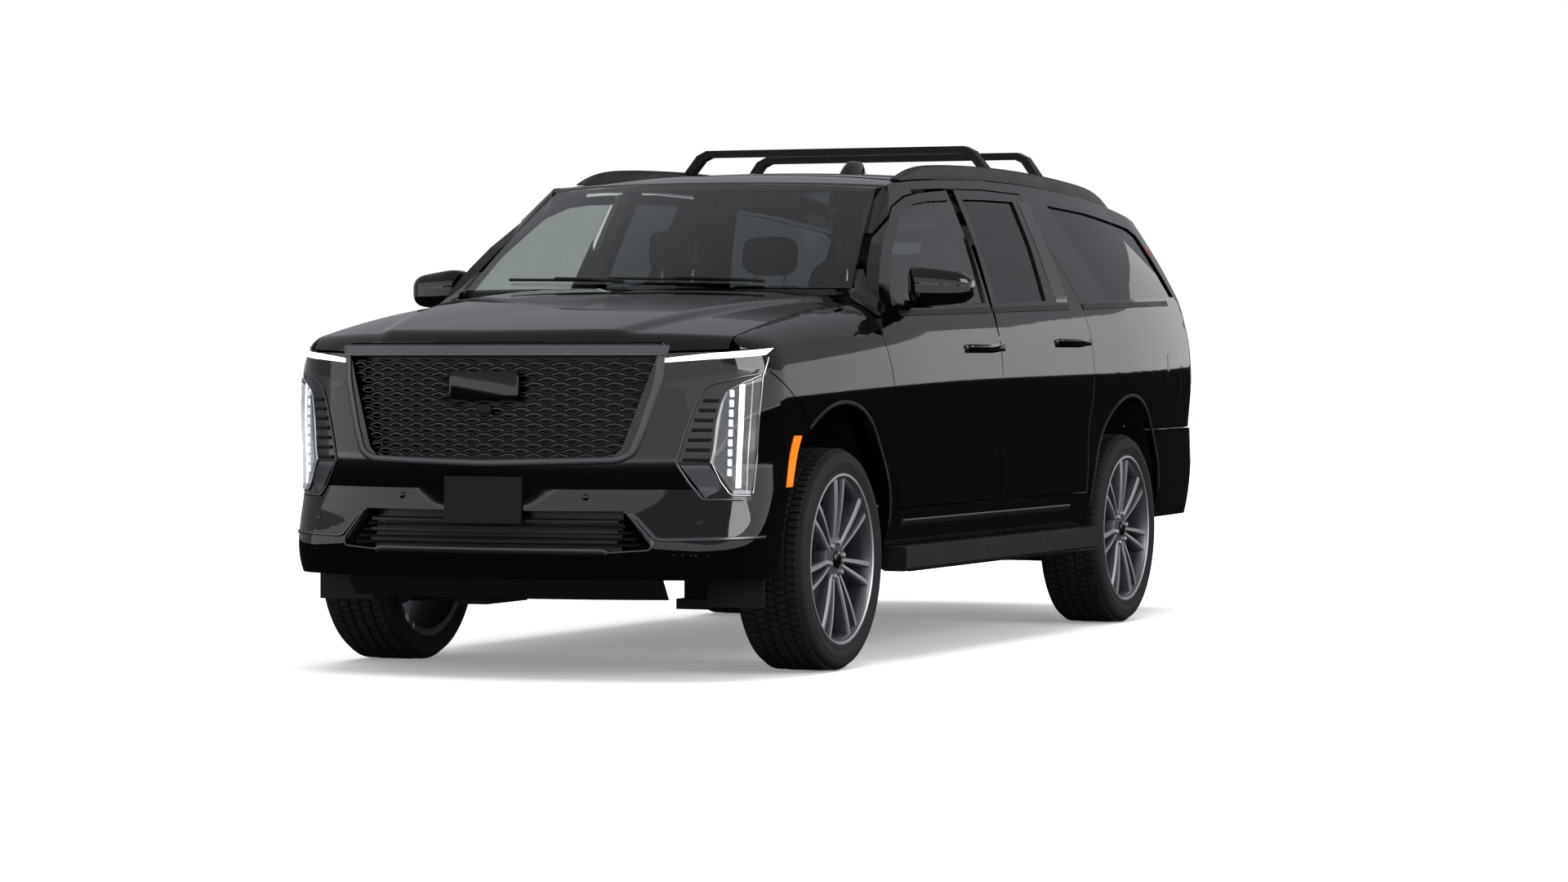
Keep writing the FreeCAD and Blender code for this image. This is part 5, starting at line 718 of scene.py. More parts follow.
@dataclass
class NodeWork:
    """Geometry Nodes trees of this script, each built once and then used for many pieces."""

    trees: dict = field(default_factory=dict)
    bar_corners: int = 10

    def tree(self, name: str, sockets: dict[str, str]) -> tuple[Tree, Node]:
        """New tree with named inputs, and the node that gives them."""
        tree = bpy.data.node_groups.new(name, "GeometryNodeTree")
        for label, kind in sockets.items():
            tree.interface.new_socket(name=label, in_out="INPUT", socket_type=kind)
        tree.interface.new_socket(name="Piece", in_out="OUTPUT", socket_type="NodeSocketGeometry")
        self.trees[name] = tree
        return tree, add_node(tree, "NodeGroupInput")

    def close(self, tree: Tree, made: Socket, finish: Socket) -> Tree:
        """Ends a tree: the made form becomes one real mesh with its finish."""
        real = add_node(tree, "GeometryNodeRealizeInstances", {"Geometry": made})
        dressed = add_node(tree, "GeometryNodeSetMaterial", {"Geometry": real.outputs["Geometry"],
                                                             "Material": finish})
        add_node(tree, "NodeGroupOutput", {"Piece": dressed.outputs["Geometry"]})
        return tree

    def copies(self) -> Tree:
        """Tree that lays a copy of one shape on each point, turned as the point says."""
        if "laid_copies" in self.trees:
            return self.trees["laid_copies"]
        tree, entry = self.tree("laid_copies", {
            "Points": "NodeSocketGeometry", "Shape": "NodeSocketObject", "Size": "NodeSocketVector",
            "Finish": "NodeSocketMaterial"})
        shape = add_node(tree, "GeometryNodeObjectInfo", {"Object": entry.outputs["Shape"]})
        turn = add_node(tree, "GeometryNodeInputNamedAttribute", {"Name": "turn"}, data_type="FLOAT_VECTOR")
        laid = add_node(tree, "GeometryNodeInstanceOnPoints", {
            "Points": entry.outputs["Points"], "Instance": shape.outputs["Geometry"],
            "Rotation": turn.outputs["Attribute"], "Scale": entry.outputs["Size"]})
        return self.close(tree, laid.outputs["Instances"], entry.outputs["Finish"])

    def tube(self) -> Tree:
        """Tree that runs a round bar along the edges of a path."""
        if "round_bar" in self.trees:
            return self.trees["round_bar"]
        tree, entry = self.tree("round_bar", {
            "Path": "NodeSocketGeometry", "Radius": "NodeSocketFloat", "Corners": "NodeSocketInt",
            "Finish": "NodeSocketMaterial"})
        line = add_node(tree, "GeometryNodeMeshToCurve", {"Mesh": entry.outputs["Path"]})
        ring = add_node(tree, "GeometryNodeCurvePrimitiveCircle", {
            "Resolution": entry.outputs["Corners"], "Radius": entry.outputs["Radius"]})
        bar = add_node(tree, "GeometryNodeCurveToMesh", {
            "Curve": line.outputs["Curve"], "Profile Curve": ring.outputs["Curve"], "Fill Caps": True})
        return self.close(tree, bar.outputs["Mesh"], entry.outputs["Finish"])

    def evaluate(self, name: str, carrier: Mesh, tree: Tree, values: dict, finish: Finish,
                 sharp_degrees: float = 38.0) -> Piece:
        """Plain piece made by a tree over a carrier mesh, with its inputs by name."""
        holder = bpy.data.objects.new(name + "_carrier", carrier)
        bpy.context.scene.collection.objects.link(holder)
        modifier = holder.modifiers.new("nodes", "NODES")
        modifier.node_group = tree
        for item in tree.interface.items_tree:
            if item.item_type == "SOCKET" and item.in_out == "INPUT" and item.name in values:
                modifier[item.identifier] = values[item.name]
        graph = bpy.context.evaluated_depsgraph_get()
        mesh = bpy.data.meshes.new_from_object(holder.evaluated_get(graph))
        holder.modifiers.remove(modifier)
        bpy.data.objects.remove(holder)
        mesh.name = name
        return finish_piece(name, mesh, finish, sharp_degrees)

    def lay(self, name: str, shape: Piece, places: Array, turns: Array, finish: Finish) -> Piece:
        """Copies of a shape at places in millimetres, turned by Euler angles; the shape is used up."""
        carrier = bpy.data.meshes.new(name + "_points")
        carrier.from_pydata((np.asarray(places, float) * MM).tolist(), [], [])
        turn = carrier.attributes.new("turn", "FLOAT_VECTOR", "POINT")
        turn.data.foreach_set("vector", np.asarray(turns, float).ravel())
        piece = self.evaluate(name, carrier, self.copies(),
                              {"Shape": shape, "Size": (1, 1, 1), "Finish": finish.material()}, finish)
        bpy.data.objects.remove(shape)
        return piece

    def bar(self, name: str, path: Array, radius: float, finish: Finish) -> Piece:
        """Round bar along a path in millimetres."""
        edges = [(i, i + 1) for i in range(len(path) - 1)]
        carrier = bpy.data.meshes.new(name + "_path")
        carrier.from_pydata((np.asarray(path, float) * MM).tolist(), edges, [])
        values = {"Radius": radius * MM, "Corners": self.bar_corners, "Finish": finish.material()}
        piece = self.evaluate(name, carrier, self.tube(), values, finish, 60)
        face_outwards(piece.data)
        return piece


NODE_WORK = NodeWork()


def turn_of(across: Array, up: Array, out: Array) -> Array:
    """Euler angles that turn X to across, Y to up and Z to out, row by row."""
    return np.array([tuple(Matrix(axes).transposed().to_euler()) for axes in zip(across, up, out)])


def rounded_plate(name: str, size: Point, bevel: float, finish: Finish, corner: float = 0.0,
                  base: float = 0.0) -> Piece:
    """Plate with rounded corners in its plan and a bevelled top, seated on its base.

    Args:
        name: Name of the piece.
        size: Width, height and thickness in millimetres.
        bevel: Width of the bevel round the top.
        finish: Finish of the plate.
        corner: Corner radius in plan.
        base: Height of the seat along the thickness.

    Returns:
        The plate, with its thickness along Z.
    """
    wide, high, thick = size
    corner = max(corner, bevel * 1.2)
    rings = []
    for inset, level in ((0.0, base), (0.0, base + thick - bevel), (bevel * 0.35, base + thick - bevel * 0.3),
                         (bevel, base + thick)):
        ring = []
        radius = max(corner - inset, 0.05)
        for turn, (sx, sy) in enumerate(((1, 1), (-1, 1), (-1, -1), (1, -1))):
            centre = (sx * (wide / 2 - inset - radius), sy * (high / 2 - inset - radius))
            for angle in np.linspace(0, math.pi / 2, 4) + turn * math.pi / 2:
                ring.append((centre[0] + radius * math.cos(angle), centre[1] + radius * math.sin(angle), level))
        rings.append(ring)
    return loft(name, np.array(rings), finish)


@dataclass
class Wrap:
    """Skin unrolled from the middle of an end, round the corner and along the side.

    A flat place is a run in millimetres from the middle of the end, and a height. The bevel of one edge of
    a strip takes edge_share of its width, and its edges lie crown_share of its lift lower than its middle.
    """

    form: BodyForm
    end: End
    side: Side = Side.LEFT
    on_side: bool = False
    edge_share: float = 0.25
    crown_share: float = 0.25
    sharp_degrees: float = 40.0

    @property
    def radius(self) -> float:
        """Corner radius in plan."""
        return self.form.radii[self.end]

    @property
    def back(self) -> int:
        """Sign of Y from the end towards the middle of the vehicle."""
        return 1 if self.end is End.FRONT else -1

    def face(self, x: Array, z: Array) -> Array:
        """Outer face of the end."""
        faces = {End.FRONT: self.form.front_y, End.TAIL: self.form.tail_y, End.BUMPER: self.form.bumper_y}
        return faces[self.end](x, z)

    def corner(self, z: Array) -> tuple[Array, Array, float]:
        """Run where the corner starts, place along Y where it ends, and length of the corner."""
        first = self.face(np.full_like(z, 840.0), z) + self.back * self.radius
        side = self.form.side_any(first, z)
        last = self.face(side, z) + self.back * self.radius
        return side - self.radius, last, 1.6 * self.radius

    def from_x(self, x: float, z: float) -> tuple[float, float]:
        """Flat place of a point on the end, from its X and its height."""
        start, _, length = self.corner(np.array([float(z)]))
        start = float(start[0])
        if abs(x) <= start:
            return (x, z)
        share = min(1.0, (abs(x) - start) / self.radius)
        return (math.copysign(start + length * math.asin(share ** 1.25) * 2 / math.pi, x), z)

    def from_y(self, y: float, z: float) -> tuple[float, float]:
        """Flat place of a point on the side, from its Y and its height."""
        start, last, length = (float(np.ravel(part)[0]) for part in self.corner(np.array([float(z)])))
        along = self.back * (y - last)
        if along >= 0:
            return (start + length + along, z)
        share = min(1.0, -along / self.radius)
        return (start + length * math.acos(share ** 1.25) * 2 / math.pi, z)

    def flat(self, points: Sequence[Point]) -> list[tuple[float, float]]:
        """Flat places of points given as X and height, or as Y and height where the piece is on the side."""
        return [(self.from_y if self.on_side else self.from_x)(place, z) for place, z in points]

    def lay(self, flat: Array, height: Array | float = 0.0) -> tuple[Array, Array]:
        """Places over the skin and its outward directions.

        Args:
            flat: Runs and heights, of any shape by 2.
            height: Distance out of the skin, in millimetres.

        Returns:
            Places and directions, of the same shape by 3.
        """
        shape = flat.shape[:-1]
        run, z = np.asarray(flat, float).reshape(-1, 2).T
        reach = np.abs(run)
        start, last, length = self.corner(z)
        angle = np.clip((reach - start) / length, 0, 1) * math.pi / 2
        out, away = np.sin(angle) ** 0.8, 1 - np.cos(angle) ** 0.8
        x = np.where(reach < start, reach, start + self.radius * out)
        y = self.face(x, z) + self.back * self.radius * away
        past = reach > start + length
        y = np.where(past, last + self.back * (reach - start - length), y)
        x = np.where(past, self.form.side_any(y, z), x)
        places = np.stack([x, y, z], -1)
        for _ in range(3):
            direction, distance = self.form.outward_any(self.end, places)
            flat_direction = direction * np.array([1, 1, 0])
            length_flat = np.maximum(np.linalg.norm(flat_direction, axis=1, keepdims=True), 0.2)
            places = places - flat_direction / length_flat ** 2 * distance[:, None]
        direction, _ = self.form.outward_any(self.end, places)
        places = places + direction * np.broadcast_to(height, shape).reshape(-1, 1)
        flip = np.where(run < 0, -1.0, 1.0) * self.side.value
        places[:, 0] *= flip
        direction[:, 0] *= flip
        return places.reshape(*shape, 3), direction.reshape(*shape, 3)

    def ribbon(self, name: str, path: Sequence[Point], width: float | Sequence[float], finish: Finish,
               lift: float = 3.0, sink: float = 3.0, closed: bool = False, round_mm: float = 0.0,
               step: float = 14.0) -> Piece:
        """Strip that lies along a path on the skin.

        Args:
            name: Name of the piece.
            path: Points of its middle line, as flat() reads them.
            width: Width in millimetres, or widths at even shares of its length.
            finish: Finish of the strip.
            lift: How far its top stands out of the skin.
            sink: How far its underside lies inside the skin.
            closed: True for a ring.
            round_mm: Rounding of the corners of the path.
            step: Distance between its sections.

        Returns:
            The strip.
        """
        edge, crown = self.edge_share, self.crown_share
        line = even_path(self.flat(path), step, closed, round_mm)
        if closed:
            run = np.roll(line, -1, 0) - np.roll(line, 1, 0)
        else:
            run = np.gradient(line, axis=0)
        run /= np.maximum(np.linalg.norm(run, axis=1, keepdims=True), 1e-6)
        across = np.stack([-run[:, 1], run[:, 0]], -1)
        widths = np.interp(np.linspace(0, 1, len(line)), np.linspace(0, 1, np.size(width)), np.ravel(width))
        half = [(-0.5, -sink), (-0.5, lift * (1 - crown) - 0.4 * abs(lift) * edge),
                (-0.5 + edge * 0.4, lift * (1 - crown * 0.6)), (-0.5 + edge, lift * (1 - crown * 0.3))]
        section = np.array(half + [(0, lift)] + [(-place, level) for place, level in half[::-1]])
        flat = line[:, None, :] + across[:, None, :] * (widths[:, None] * section[None, :, 0])[..., None]
        rings, _ = self.lay(flat, section[None, :, 1])
        return loft(name, rings, finish, closed, self.sharp_degrees)

    def patch(self, name: str, low: Sequence[Point], high: Sequence[Point], finish: Finish, lift: float = 2.0,
              sink: float = 3.0, step: float = 16.0, rows: int = 9) -> Piece:
        """Slab on the skin between two edges that run the same way.

        Args:
            name: Name of the piece.
            low: Points of one edge, as flat() reads them.
            high: Points of the other edge.
            finish: Finish of the slab.
            lift: How far its top stands out of the skin.
            sink: How far its underside lies inside the skin.
            step: Distance between places along the edges.
            rows: Number of lines between the edges.

        Returns:
            The slab.
        """
        low, high = self.flat(low), self.flat(high)
        count = max(len(even_path(low, step)), len(even_path(high, step)), 3)
        edges = []
        for edge in (low, high):
            fine = even_path(edge, step / 6)
            picks = np.linspace(0, len(fine) - 1, count)
            edges.append(np.stack([np.interp(picks, np.arange(len(fine)), fine[:, k]) for k in (0, 1)], -1))
        shares = np.concatenate([[0, 0.004], np.linspace(0, 1, rows)[1:-1], [0.996, 1]])
        flat = edges[0][None] * (1 - shares[:, None, None]) + edges[1][None] * shares[:, None, None]
        height = np.full(flat.shape[:2], lift - 1.0)
        height[1:-1, 1:-1] = lift
        top, _ = self.lay(flat, height)
        under, _ = self.lay(flat, -sink)
        return slab(name, top, under, finish, self.sharp_degrees)

    def frames(self, flat: Array, height: float = 0.0) -> tuple[Array, Array]:
        """Places over the skin, and the turns of shapes that stand on it, with X along the run."""
        places, out = self.lay(flat, height)
        ahead, _ = self.lay(flat + np.array([1.0, 0.0]) * np.where(flat[:, :1] < 0, -1, 1), height)
        across = ahead - places
        across -= out * np.einsum("ij,ij->i", across, out)[:, None]
        across /= np.linalg.norm(across, axis=1, keepdims=True)
        up = np.cross(out, across)
        upright = np.where(up[:, 2:] < 0, -1.0, 1.0)
        return places, turn_of(across * upright, up * upright, out)


def values_of(rows: bpy.types.bpy_prop_collection, attribute: str, width: int = 3, kind: type = float) -> Array:
    """Values of an attribute for every row of a mesh collection, as rows of the width given."""
    found = np.zeros(len(rows) * width, kind)
    rows.foreach_get(attribute, found)
    return found.reshape(-1, width) if width > 1 else found


def merged_copy(node: str) -> bmesh.types.BMesh:
    """Mesh of a node with its doubled corners merged, in a copy."""
    merged = bmesh.new()
    merged.from_mesh(frame["nodes"][node].data)
    bmesh.ops.remove_doubles(merged, verts=merged.verts, dist=0.00002)
    return merged


@dataclass
class Panels:
    """Painted panels and panes: copies of the nodes whose shading follows the true skin."""

    form: BodyForm
    reach_mm: float = 2.0
    slice_mm: float = 30.0
    slice_from: float = 620.0
    slice_to: float = 1290.0
    pane_faces: tuple = (10.0, 15.0)

    def copy(self, node: str, finish: Finish, slot: str, end: Optional[End] = None,
             offsets: Sequence[float] = (0.0,)) -> Piece:
        """Copies a node with smooth shading and puts the copy in its place.

        Args:
            node: Name of the node.
            finish: Finish of the copy.
            slot: Material slot of the record; not used.
            end: End that the panel wraps round, if it follows the skin.
            offsets: Depths of its faces inside the skin, in millimetres.

        Returns:
            The copy.
        """
        mesh = frame["nodes"][node].data.copy()
        mesh.name = node + "_skin"
        merged = merged_copy(node)
        if end is End.FRONT and finish is PAINT:
            self.slice(merged)
        merged.to_mesh(mesh)
        merged.free()
        piece = finish_piece(node + "_skin", mesh, finish)
        if end:
            self.shade(mesh, end, offsets)
        return settle(piece, slot, node, body=body_named(node))

    def slice(self, shaped: bmesh.types.BMesh) -> None:
        """Cuts a mesh at even heights, so that its long triangles follow the curve of the side."""
        for height in np.arange(self.slice_from, self.slice_to, self.slice_mm):
            bmesh.ops.bisect_plane(shaped, geom=shaped.verts[:] + shaped.edges[:] + shaped.faces[:],
                                   plane_co=(0, 0, height * MM), plane_no=(0, 0, 1), dist=0.00001)

    def shade(self, mesh: Mesh, end: End, offsets: Sequence[float]) -> None:
        """Turns the corner normals of the faces on the skin to the skin's own direction."""
        normals = values_of(mesh.corner_normals, "vector")
        centres = values_of(mesh.polygons, "center") / MM
        facing = values_of(mesh.polygons, "normal")
        corner_place = (values_of(mesh.vertices, "co") / MM)[values_of(mesh.loops, "vertex_index", 1, int)]
        corner_face = np.repeat(np.arange(len(centres)), values_of(mesh.polygons, "loop_total", 1, int))
        bands = self.form.band_at(centres)
        inward = centres[corner_face] - corner_place
        reach = np.linalg.norm(inward, axis=1, keepdims=True)
        near = corner_place + inward * np.minimum(0.1, 3 / np.maximum(reach, 0.01))
        for band in Band:
            for offset in offsets:
                picked = np.where(bands == band.value)[0]
                if not len(picked):
                    continue
                direction, distance = self.direction(end, band, centres[picked])
                agree = np.einsum("ij,ij->i", direction, facing[picked])
                on_skin = (np.abs(distance + offset) < self.reach_mm) & (np.abs(agree) > 0.9)
                chosen = np.zeros(len(centres), bool)
                chosen[picked[on_skin]] = True
                corners = np.where(chosen[corner_face])[0]
                if not len(corners):
                    continue
                direction, distance = self.direction(end, band, near[corners])
                sign = np.sign(np.einsum("ij,ij->i", direction, facing[corner_face[corners]]))
                normals[corners] = direction * sign[:, None]
        mesh.normals_split_custom_set(normals.tolist())

    def direction(self, end: End, band: Band, places: Array) -> tuple[Array, Array]:
        """Direction and distance of the skin for places on both sides of the vehicle."""
        flip = np.sign(places[:, 0])
        flip[flip == 0] = 1
        left = places * np.stack([flip, np.ones_like(flip), np.ones_like(flip)], -1)
        direction, distance = self.form.outward(end, band, left)
        direction[:, 0] *= flip
        return direction, distance

    def build(self) -> None:
        """Copies every painted panel and pane that follows the skin."""
        for side in ("left", "right"):
            for place in ("front", "rear"):
                self.copy("door_%s_%s" % (place, side), PAINT, "body_paint", End.FRONT)
            self.copy("body_side_" + side, PAINT, "body_paint", End.TAIL)
            self.copy("glass_front_" + side, CLEAR_GLASS, "cabin_glass", End.FRONT, self.pane_faces)
            self.copy("glass_rear_" + side, DARK_GLASS, "privacy_glass", End.FRONT, self.pane_faces)
            self.copy("mirror_" + side, PAINT, "body_paint")
        for node in ("fenders", "front_bumper"):
            self.copy(node, PAINT, "body_paint", End.FRONT)
        self.copy("headlamps", GLOSS_TRIM, "lamp_plastic", End.FRONT)
        self.copy("rear_bumper", PAINT, "body_paint", End.BUMPER)
        self.copy("tailgate", PAINT, "body_paint", End.TAIL)
        self.copy("tailgate_glass", DARK_GLASS, "privacy_glass", End.TAIL, self.pane_faces)
        self.copy("tail_lamps", RED_LENS, "tail_lamp_plastic", End.TAIL)


@dataclass
class LargeSheets:
    """Hood, roof and fixed panes, made again as fine grids."""

    form: BodyForm
    hood_wall: float = 28.0
    roof_wall: float = 32.0
    glass_wall: float = 5.0
    gap: float = 3.0
    header_half: float = 640.0
    header_top: float = 1232.0

    def hood(self) -> Piece:
        """Hood panel with its nose and its raised middle."""
        x = np.linspace(-1, 1, 121) * (self.form.hood_half - self.gap)
        nose, rear = self.form.hood_front(x), self.form.hood_rear(x)
        curl = 60 * (1 - np.cos(np.linspace(0, math.pi / 2, 16)))
        flat_from = nose + 90
        lines = [nose + step for step in (*curl, 75, 90)]
        lines += [flat_from + (rear - flat_from) * share for share in np.linspace(0, 1, 60)[1:]]
        y = np.array(lines)
        x = np.broadcast_to(x, y.shape)
        top = np.stack([x, y, self.form.hood_z(x, y)], -1)
        under = top + np.array([0, 0.6 * self.hood_wall, -self.hood_wall])
        low = np.where(np.abs(x) < self.header_half, self.header_top, self.form.shoulder_z(y) + 8)
        top[..., 2] = np.maximum(top[..., 2], low)
        under[..., 2] = np.maximum(under[..., 2], low - 0.5)
        return settle(slab("hood_panel", top, under, PAINT, 50), "body_paint", "hood", body="hood_lid")

    def roof(self) -> Piece:
        """Roof panel between the side rails."""
        across = np.linspace(-1, 1, 61)
        edge = self.form.half_width - self.form.gutter_inset
        x = across * (edge - 4)
        start = self.form.header_y + 6 + self.form.glass_top_bow * x ** 2
        end = self.form.pane_rear_y + 45 - 0.00012 * x ** 2
        y = start + (end - start) * np.linspace(0, 1, 90)[:, None]
        x = across * (edge - self.form.side_taper(y) - 4)
        top = np.stack([x, y, self.form.roof_z(x, y)], -1)
        piece = slab("roof_panel", top, top - np.array([0, 0, self.roof_wall]), PAINT)
        return settle(piece, "body_paint", "roof")

    def windshield(self) -> Piece:
        """Curved pane between the pillars."""
        side, share = np.meshgrid(np.linspace(-1, 1, 61), np.linspace(0, 1, 31))
        outer = self.form.glass_point(side, share)
        piece = slab("windshield_pane", outer, outer - GLASS_OUT * self.glass_wall, CLEAR_GLASS)
        return settle(piece, "cabin_glass", "fixed_glass")

    def quarter_panes(self, panels: Panels) -> None:
        """Side panes of the rear quarters, copied without the windshield."""
        mesh = frame["nodes"]["fixed_glass"].data.copy()
        panes = merged_copy("fixed_glass")
        bmesh.ops.delete(panes, geom=[vert for vert in panes.verts if vert.co.y < 0], context="VERTS")
        panes.to_mesh(mesh)
        panes.free()
        piece = finish_piece("quarter_panes", mesh, DARK_GLASS)
        panels.shade(mesh, End.TAIL, panels.pane_faces)
        settle(piece, "cabin_glass", "fixed_glass")

    def build(self, panels: Panels) -> None:
        """Makes the sheets."""
        self.hood()
        self.roof()
        self.windshield()
        self.quarter_panes(panels)


@dataclass
class FrontFace:
    """Lamps, trims, grille dressing and lower fascia of the front."""

    form: BodyForm
    louvre_left: tuple = ((775, 1021), (762, 986), (749, 951), (740, 915), (729, 879), (722, 843), (712, 807))
    louvre_right: tuple = ((825, 1021), (816, 986), (809, 950), (807, 915), (803, 879), (800, 843), (798, 806))
    cell_pitch: float = 35.7
    cell_top: float = 1047.0
    cell_count: int = 9
    row_top: float = 1160.0
    row_count: int = 19
    row_pitch: float = 18.5
    wave_pitch: float = 97.0

    def pair(self, name: str, finish: Finish, slot: str, make: Callable[[Wrap, str], Piece]) -> Piece:
        """Makes a piece on each side and joins the two.

        Args:
            name: Name of the piece.
            finish: Finish of the piece.
            slot: Material slot of the record; not used.
            make: Function that makes one side on its skin.

        Returns:
            The joined piece.
        """
        pieces = [make(Wrap(self.form, End.FRONT, side), name + "_" + side.word) for side in Side]
        return settle(joined(name, pieces, finish), slot)

    def strip(self, name: str, points: Sequence[Point], width: float, finish: Finish, slot: str,
              lift: float = 3.0, round_mm: float = 8.0) -> Piece:
        """Strip through points of X and height, on both sides."""
        return self.pair(name, finish, slot, lambda wrap, label: wrap.ribbon(
            label, points, width, finish, lift, 2.0, round_mm=round_mm, step=11))

    def sheet(self, name: str, low: Sequence[Point], high: Sequence[Point], finish: Finish, slot: str,
              lift: float = 2.0) -> Piece:
        """Slab between two edges of X and height, on both sides."""
        return self.pair(name, finish, slot, lambda wrap, label: wrap.patch(
            label, low, high, finish, lift, 2.0, step=12))

    def lamps(self) -> None:
        """Light guides, louvres, cells and lens of the headlamps."""
        self.sheet("day_light_guides", [(646, 1159), (811, 1172), (943, 1187)],
                   [(643, 1174), (810, 1194), (949, 1212)], GLOW, "lamp_plastic", 4.0)
        self.strip("corner_lamp_lines", [(949, 1178), (944, 1107), (940, 977), (932, 825), (922, 685)], 5.0, CHROME,
                   "lamp_plastic", 4.0)
        self.strip("headlamp_frames", [(945, 1120), (895, 1108), (806, 1082), (780, 1067), (750, 1000), (721, 913),
                                       (691, 792), (734, 719), (779, 663), (900, 663)], 9.0, SATIN,
                   "gloss_trim", 5.0)
        self.strip("lens_edges", [(940, 1114), (888, 1082), (849, 1056), (835, 1017), (816, 870), (803, 792),
                                  (831, 727), (862, 679), (916, 677)], 5.0, CHROME, "lamp_plastic", 5.0)
        self.strip("outer_lamp_lines", [(921, 1092), (914, 900), (906, 690)], 5.0, CHROME, "lamp_plastic", 3.0)
        self.strip("light_bars", [(894, 1080), (890, 890), (884, 704)], 17.0, GLOW, "lamp_plastic", 3.0)
        # Black gloss wedges between the light guides and the lamp frames: painted shade, a dark sheet on the skin in
        # place of the shade of a recess that is not modelled.
        self.sheet("lamp_wedges", [(650, 1074), (753, 1054), (800, 1086), (930, 1118)],
                   [(655, 1086), (760, 1106), (840, 1121), (938, 1137)], GLOSS_TRIM, "gloss_trim", 2.0)
        self.sheet("lower_lamp_panels", [(787, 668), (704, 788)], [(840, 704), (798, 788)], SATIN, "gloss_trim", 2.0)
        for row, (left, right) in enumerate(zip(self.louvre_left, self.louvre_right)):
            self.strip("lamp_louvres_%d" % row, [left, right], 13.0, ANODISED, "lamp_plastic", 6.0, 0)
        self.pair("lamp_cells", CELL_GLOW, "lamp_plastic", self.cells)
        self.pair("lamp_lenses", LENS, "lamp_plastic", lambda wrap, label: wrap.patch(
            label, [(866, 684), (808, 792), (819, 870), (838, 1012), (852, 1050), (889, 1078)],
            [(915, 682), (926, 800), (931, 880), (937, 1000), (939, 1060), (940, 1108)], LENS, 9.0, -7.0,
            step=12))

    def cells(self, wrap: Wrap, label: str) -> Piece:
        """Column of lamp cells, each a bevelled reflector."""
        heights = self.cell_top - self.cell_pitch * np.arange(self.cell_count)
        flat = np.array([wrap.from_x(865 - 6 * share, z)
                         for share, z in zip(np.linspace(0, 1, self.cell_count), heights)])
        places, turns = wrap.frames(flat)
        shape = rounded_plate(label + "_shape", (17, 27, 6), 3.0, LAMP_SILVER, 4.0, -1.0)
        return NODE_WORK.lay(label, shape, places, turns, CELL_GLOW)

    def grille(self) -> None:
        """Frame, header bar, bright chevrons and bare middle plate of the grille."""
        wrap = Wrap(self.form, End.FRONT)
        half = [(637, 1183), (629, 1092), (581, 918), (548, 830), (500, 806), (351, 801), (0, 792)]
        ring = half + [(-x, z) for x, z in half[-2::-1]]
        settle(wrap.ribbon("grille_frame", ring, 27.0, SATIN, 5.0, 14.0, round_mm=22), "gloss_trim")
        settle(wrap.patch("grille_header", [(-658, 1192), (0, 1192), (658, 1192)],
                          [(-664, 1222), (0, 1222), (664, 1222)], SATIN, 3.0, 8.0), "gloss_trim")
        settle(wrap.ribbon("grille_header_line", [(-650, 1188), (0, 1188), (650, 1188)], 5.0, CHROME, 5.0,
                           6.0), "gloss_trim")
        flat = []
        for row in range(self.row_count):
            z = self.row_top - row * self.row_pitch
            reach = np.interp(z, [812, 859, 1092, 1177], [500, 520, 578, 600])
            for k in range(-7, 8):
                x = (k + (row % 2) / 2) * self.wave_pitch
                behind_plate = abs(x) < 175 and 1010 < z < 1140
                if abs(x) < reach and not behind_plate:
                    flat.append((x, z))
        places, turns = wrap.frames(np.array(flat), -11.0)
        settle(NODE_WORK.lay("grille_chevrons", self.chevron(), places, turns, SATIN), "gloss_trim")
        plate = rounded_plate("grille_middle_plate", (280, 104, 16), 4.0, GLOSS_TRIM, 20.0, -8.0)
        settle(placed(plate, wrap, (0, 1075), -2.0), "gloss_trim")
        camera = rounded_plate("front_camera", (58, 36, 14), 4.0, GRAINED, 12.0, -8.0)
        settle(placed(camera, wrap, (0, 989), 0.0), "black_plastic")

    def chevron(self) -> Piece:
        """One bright chevron of the grille, flat on its seat."""
        rings = []
        for x, drop in ((-33, 8), (-14, 2.4), (0, 0), (14, 2.4), (33, 8)):
            rings.append([(x, -drop - 2.4, 0), (x, -drop + 2.4, 0), (x, -drop + 1.4, 3), (x, -drop - 1.4, 3)])
        return loft("chevron_shape", np.array(rings, float), SATIN)

    def fascia(self) -> None:
        """Trims of the lower fascia: intake frame, accents, skid lip, sensors."""
        self.strip("intake_frames", [(519, 620), (533, 617), (624, 512), (626, 496), (617, 481), (474, 471)], 9.0,
                   SATIN, "black_plastic", 4.0)
        self.strip("fascia_accents", [(545, 613), (572, 592), (636, 523), (661, 519), (800, 522), (948, 524)], 13.0,
                   SATIN, "gloss_trim", 4.0)
        wrap = Wrap(self.form, End.FRONT)
        settle(wrap.ribbon("skid_lip", [(-468, 466), (-449, 474), (0, 474), (449, 474), (468, 466)], 25.0,
                           SATIN, 5.0, 6.0), "gloss_trim")
        for z in (500, 523, 546, 569, 592):
            reach = float(np.interp(z, [490, 620], [590, 490]))
            settle(wrap.ribbon("intake_slat_%d" % z, [(-reach, z), (0, z), (reach, z)], 8.0, GRAINED,
                               -18.0, 34.0), "black_plastic")
        flat = np.array([wrap.from_x(x, z) for x, z in ((-352, 672), (387, 672), (-775, 584), (775, 584))])
        places, turns = wrap.frames(flat)
        shape = rounded_plate("sensor_shape", (25, 25, 6), 2.5, GLOSS_TRIM, 12.0, -3.0)
        settle(NODE_WORK.lay("parking_sensors", shape, places, turns, GLOSS_TRIM), "black_plastic")

    def build(self) -> None:
        """Makes the front."""
        self.lamps()
        self.grille()
        self.fascia()


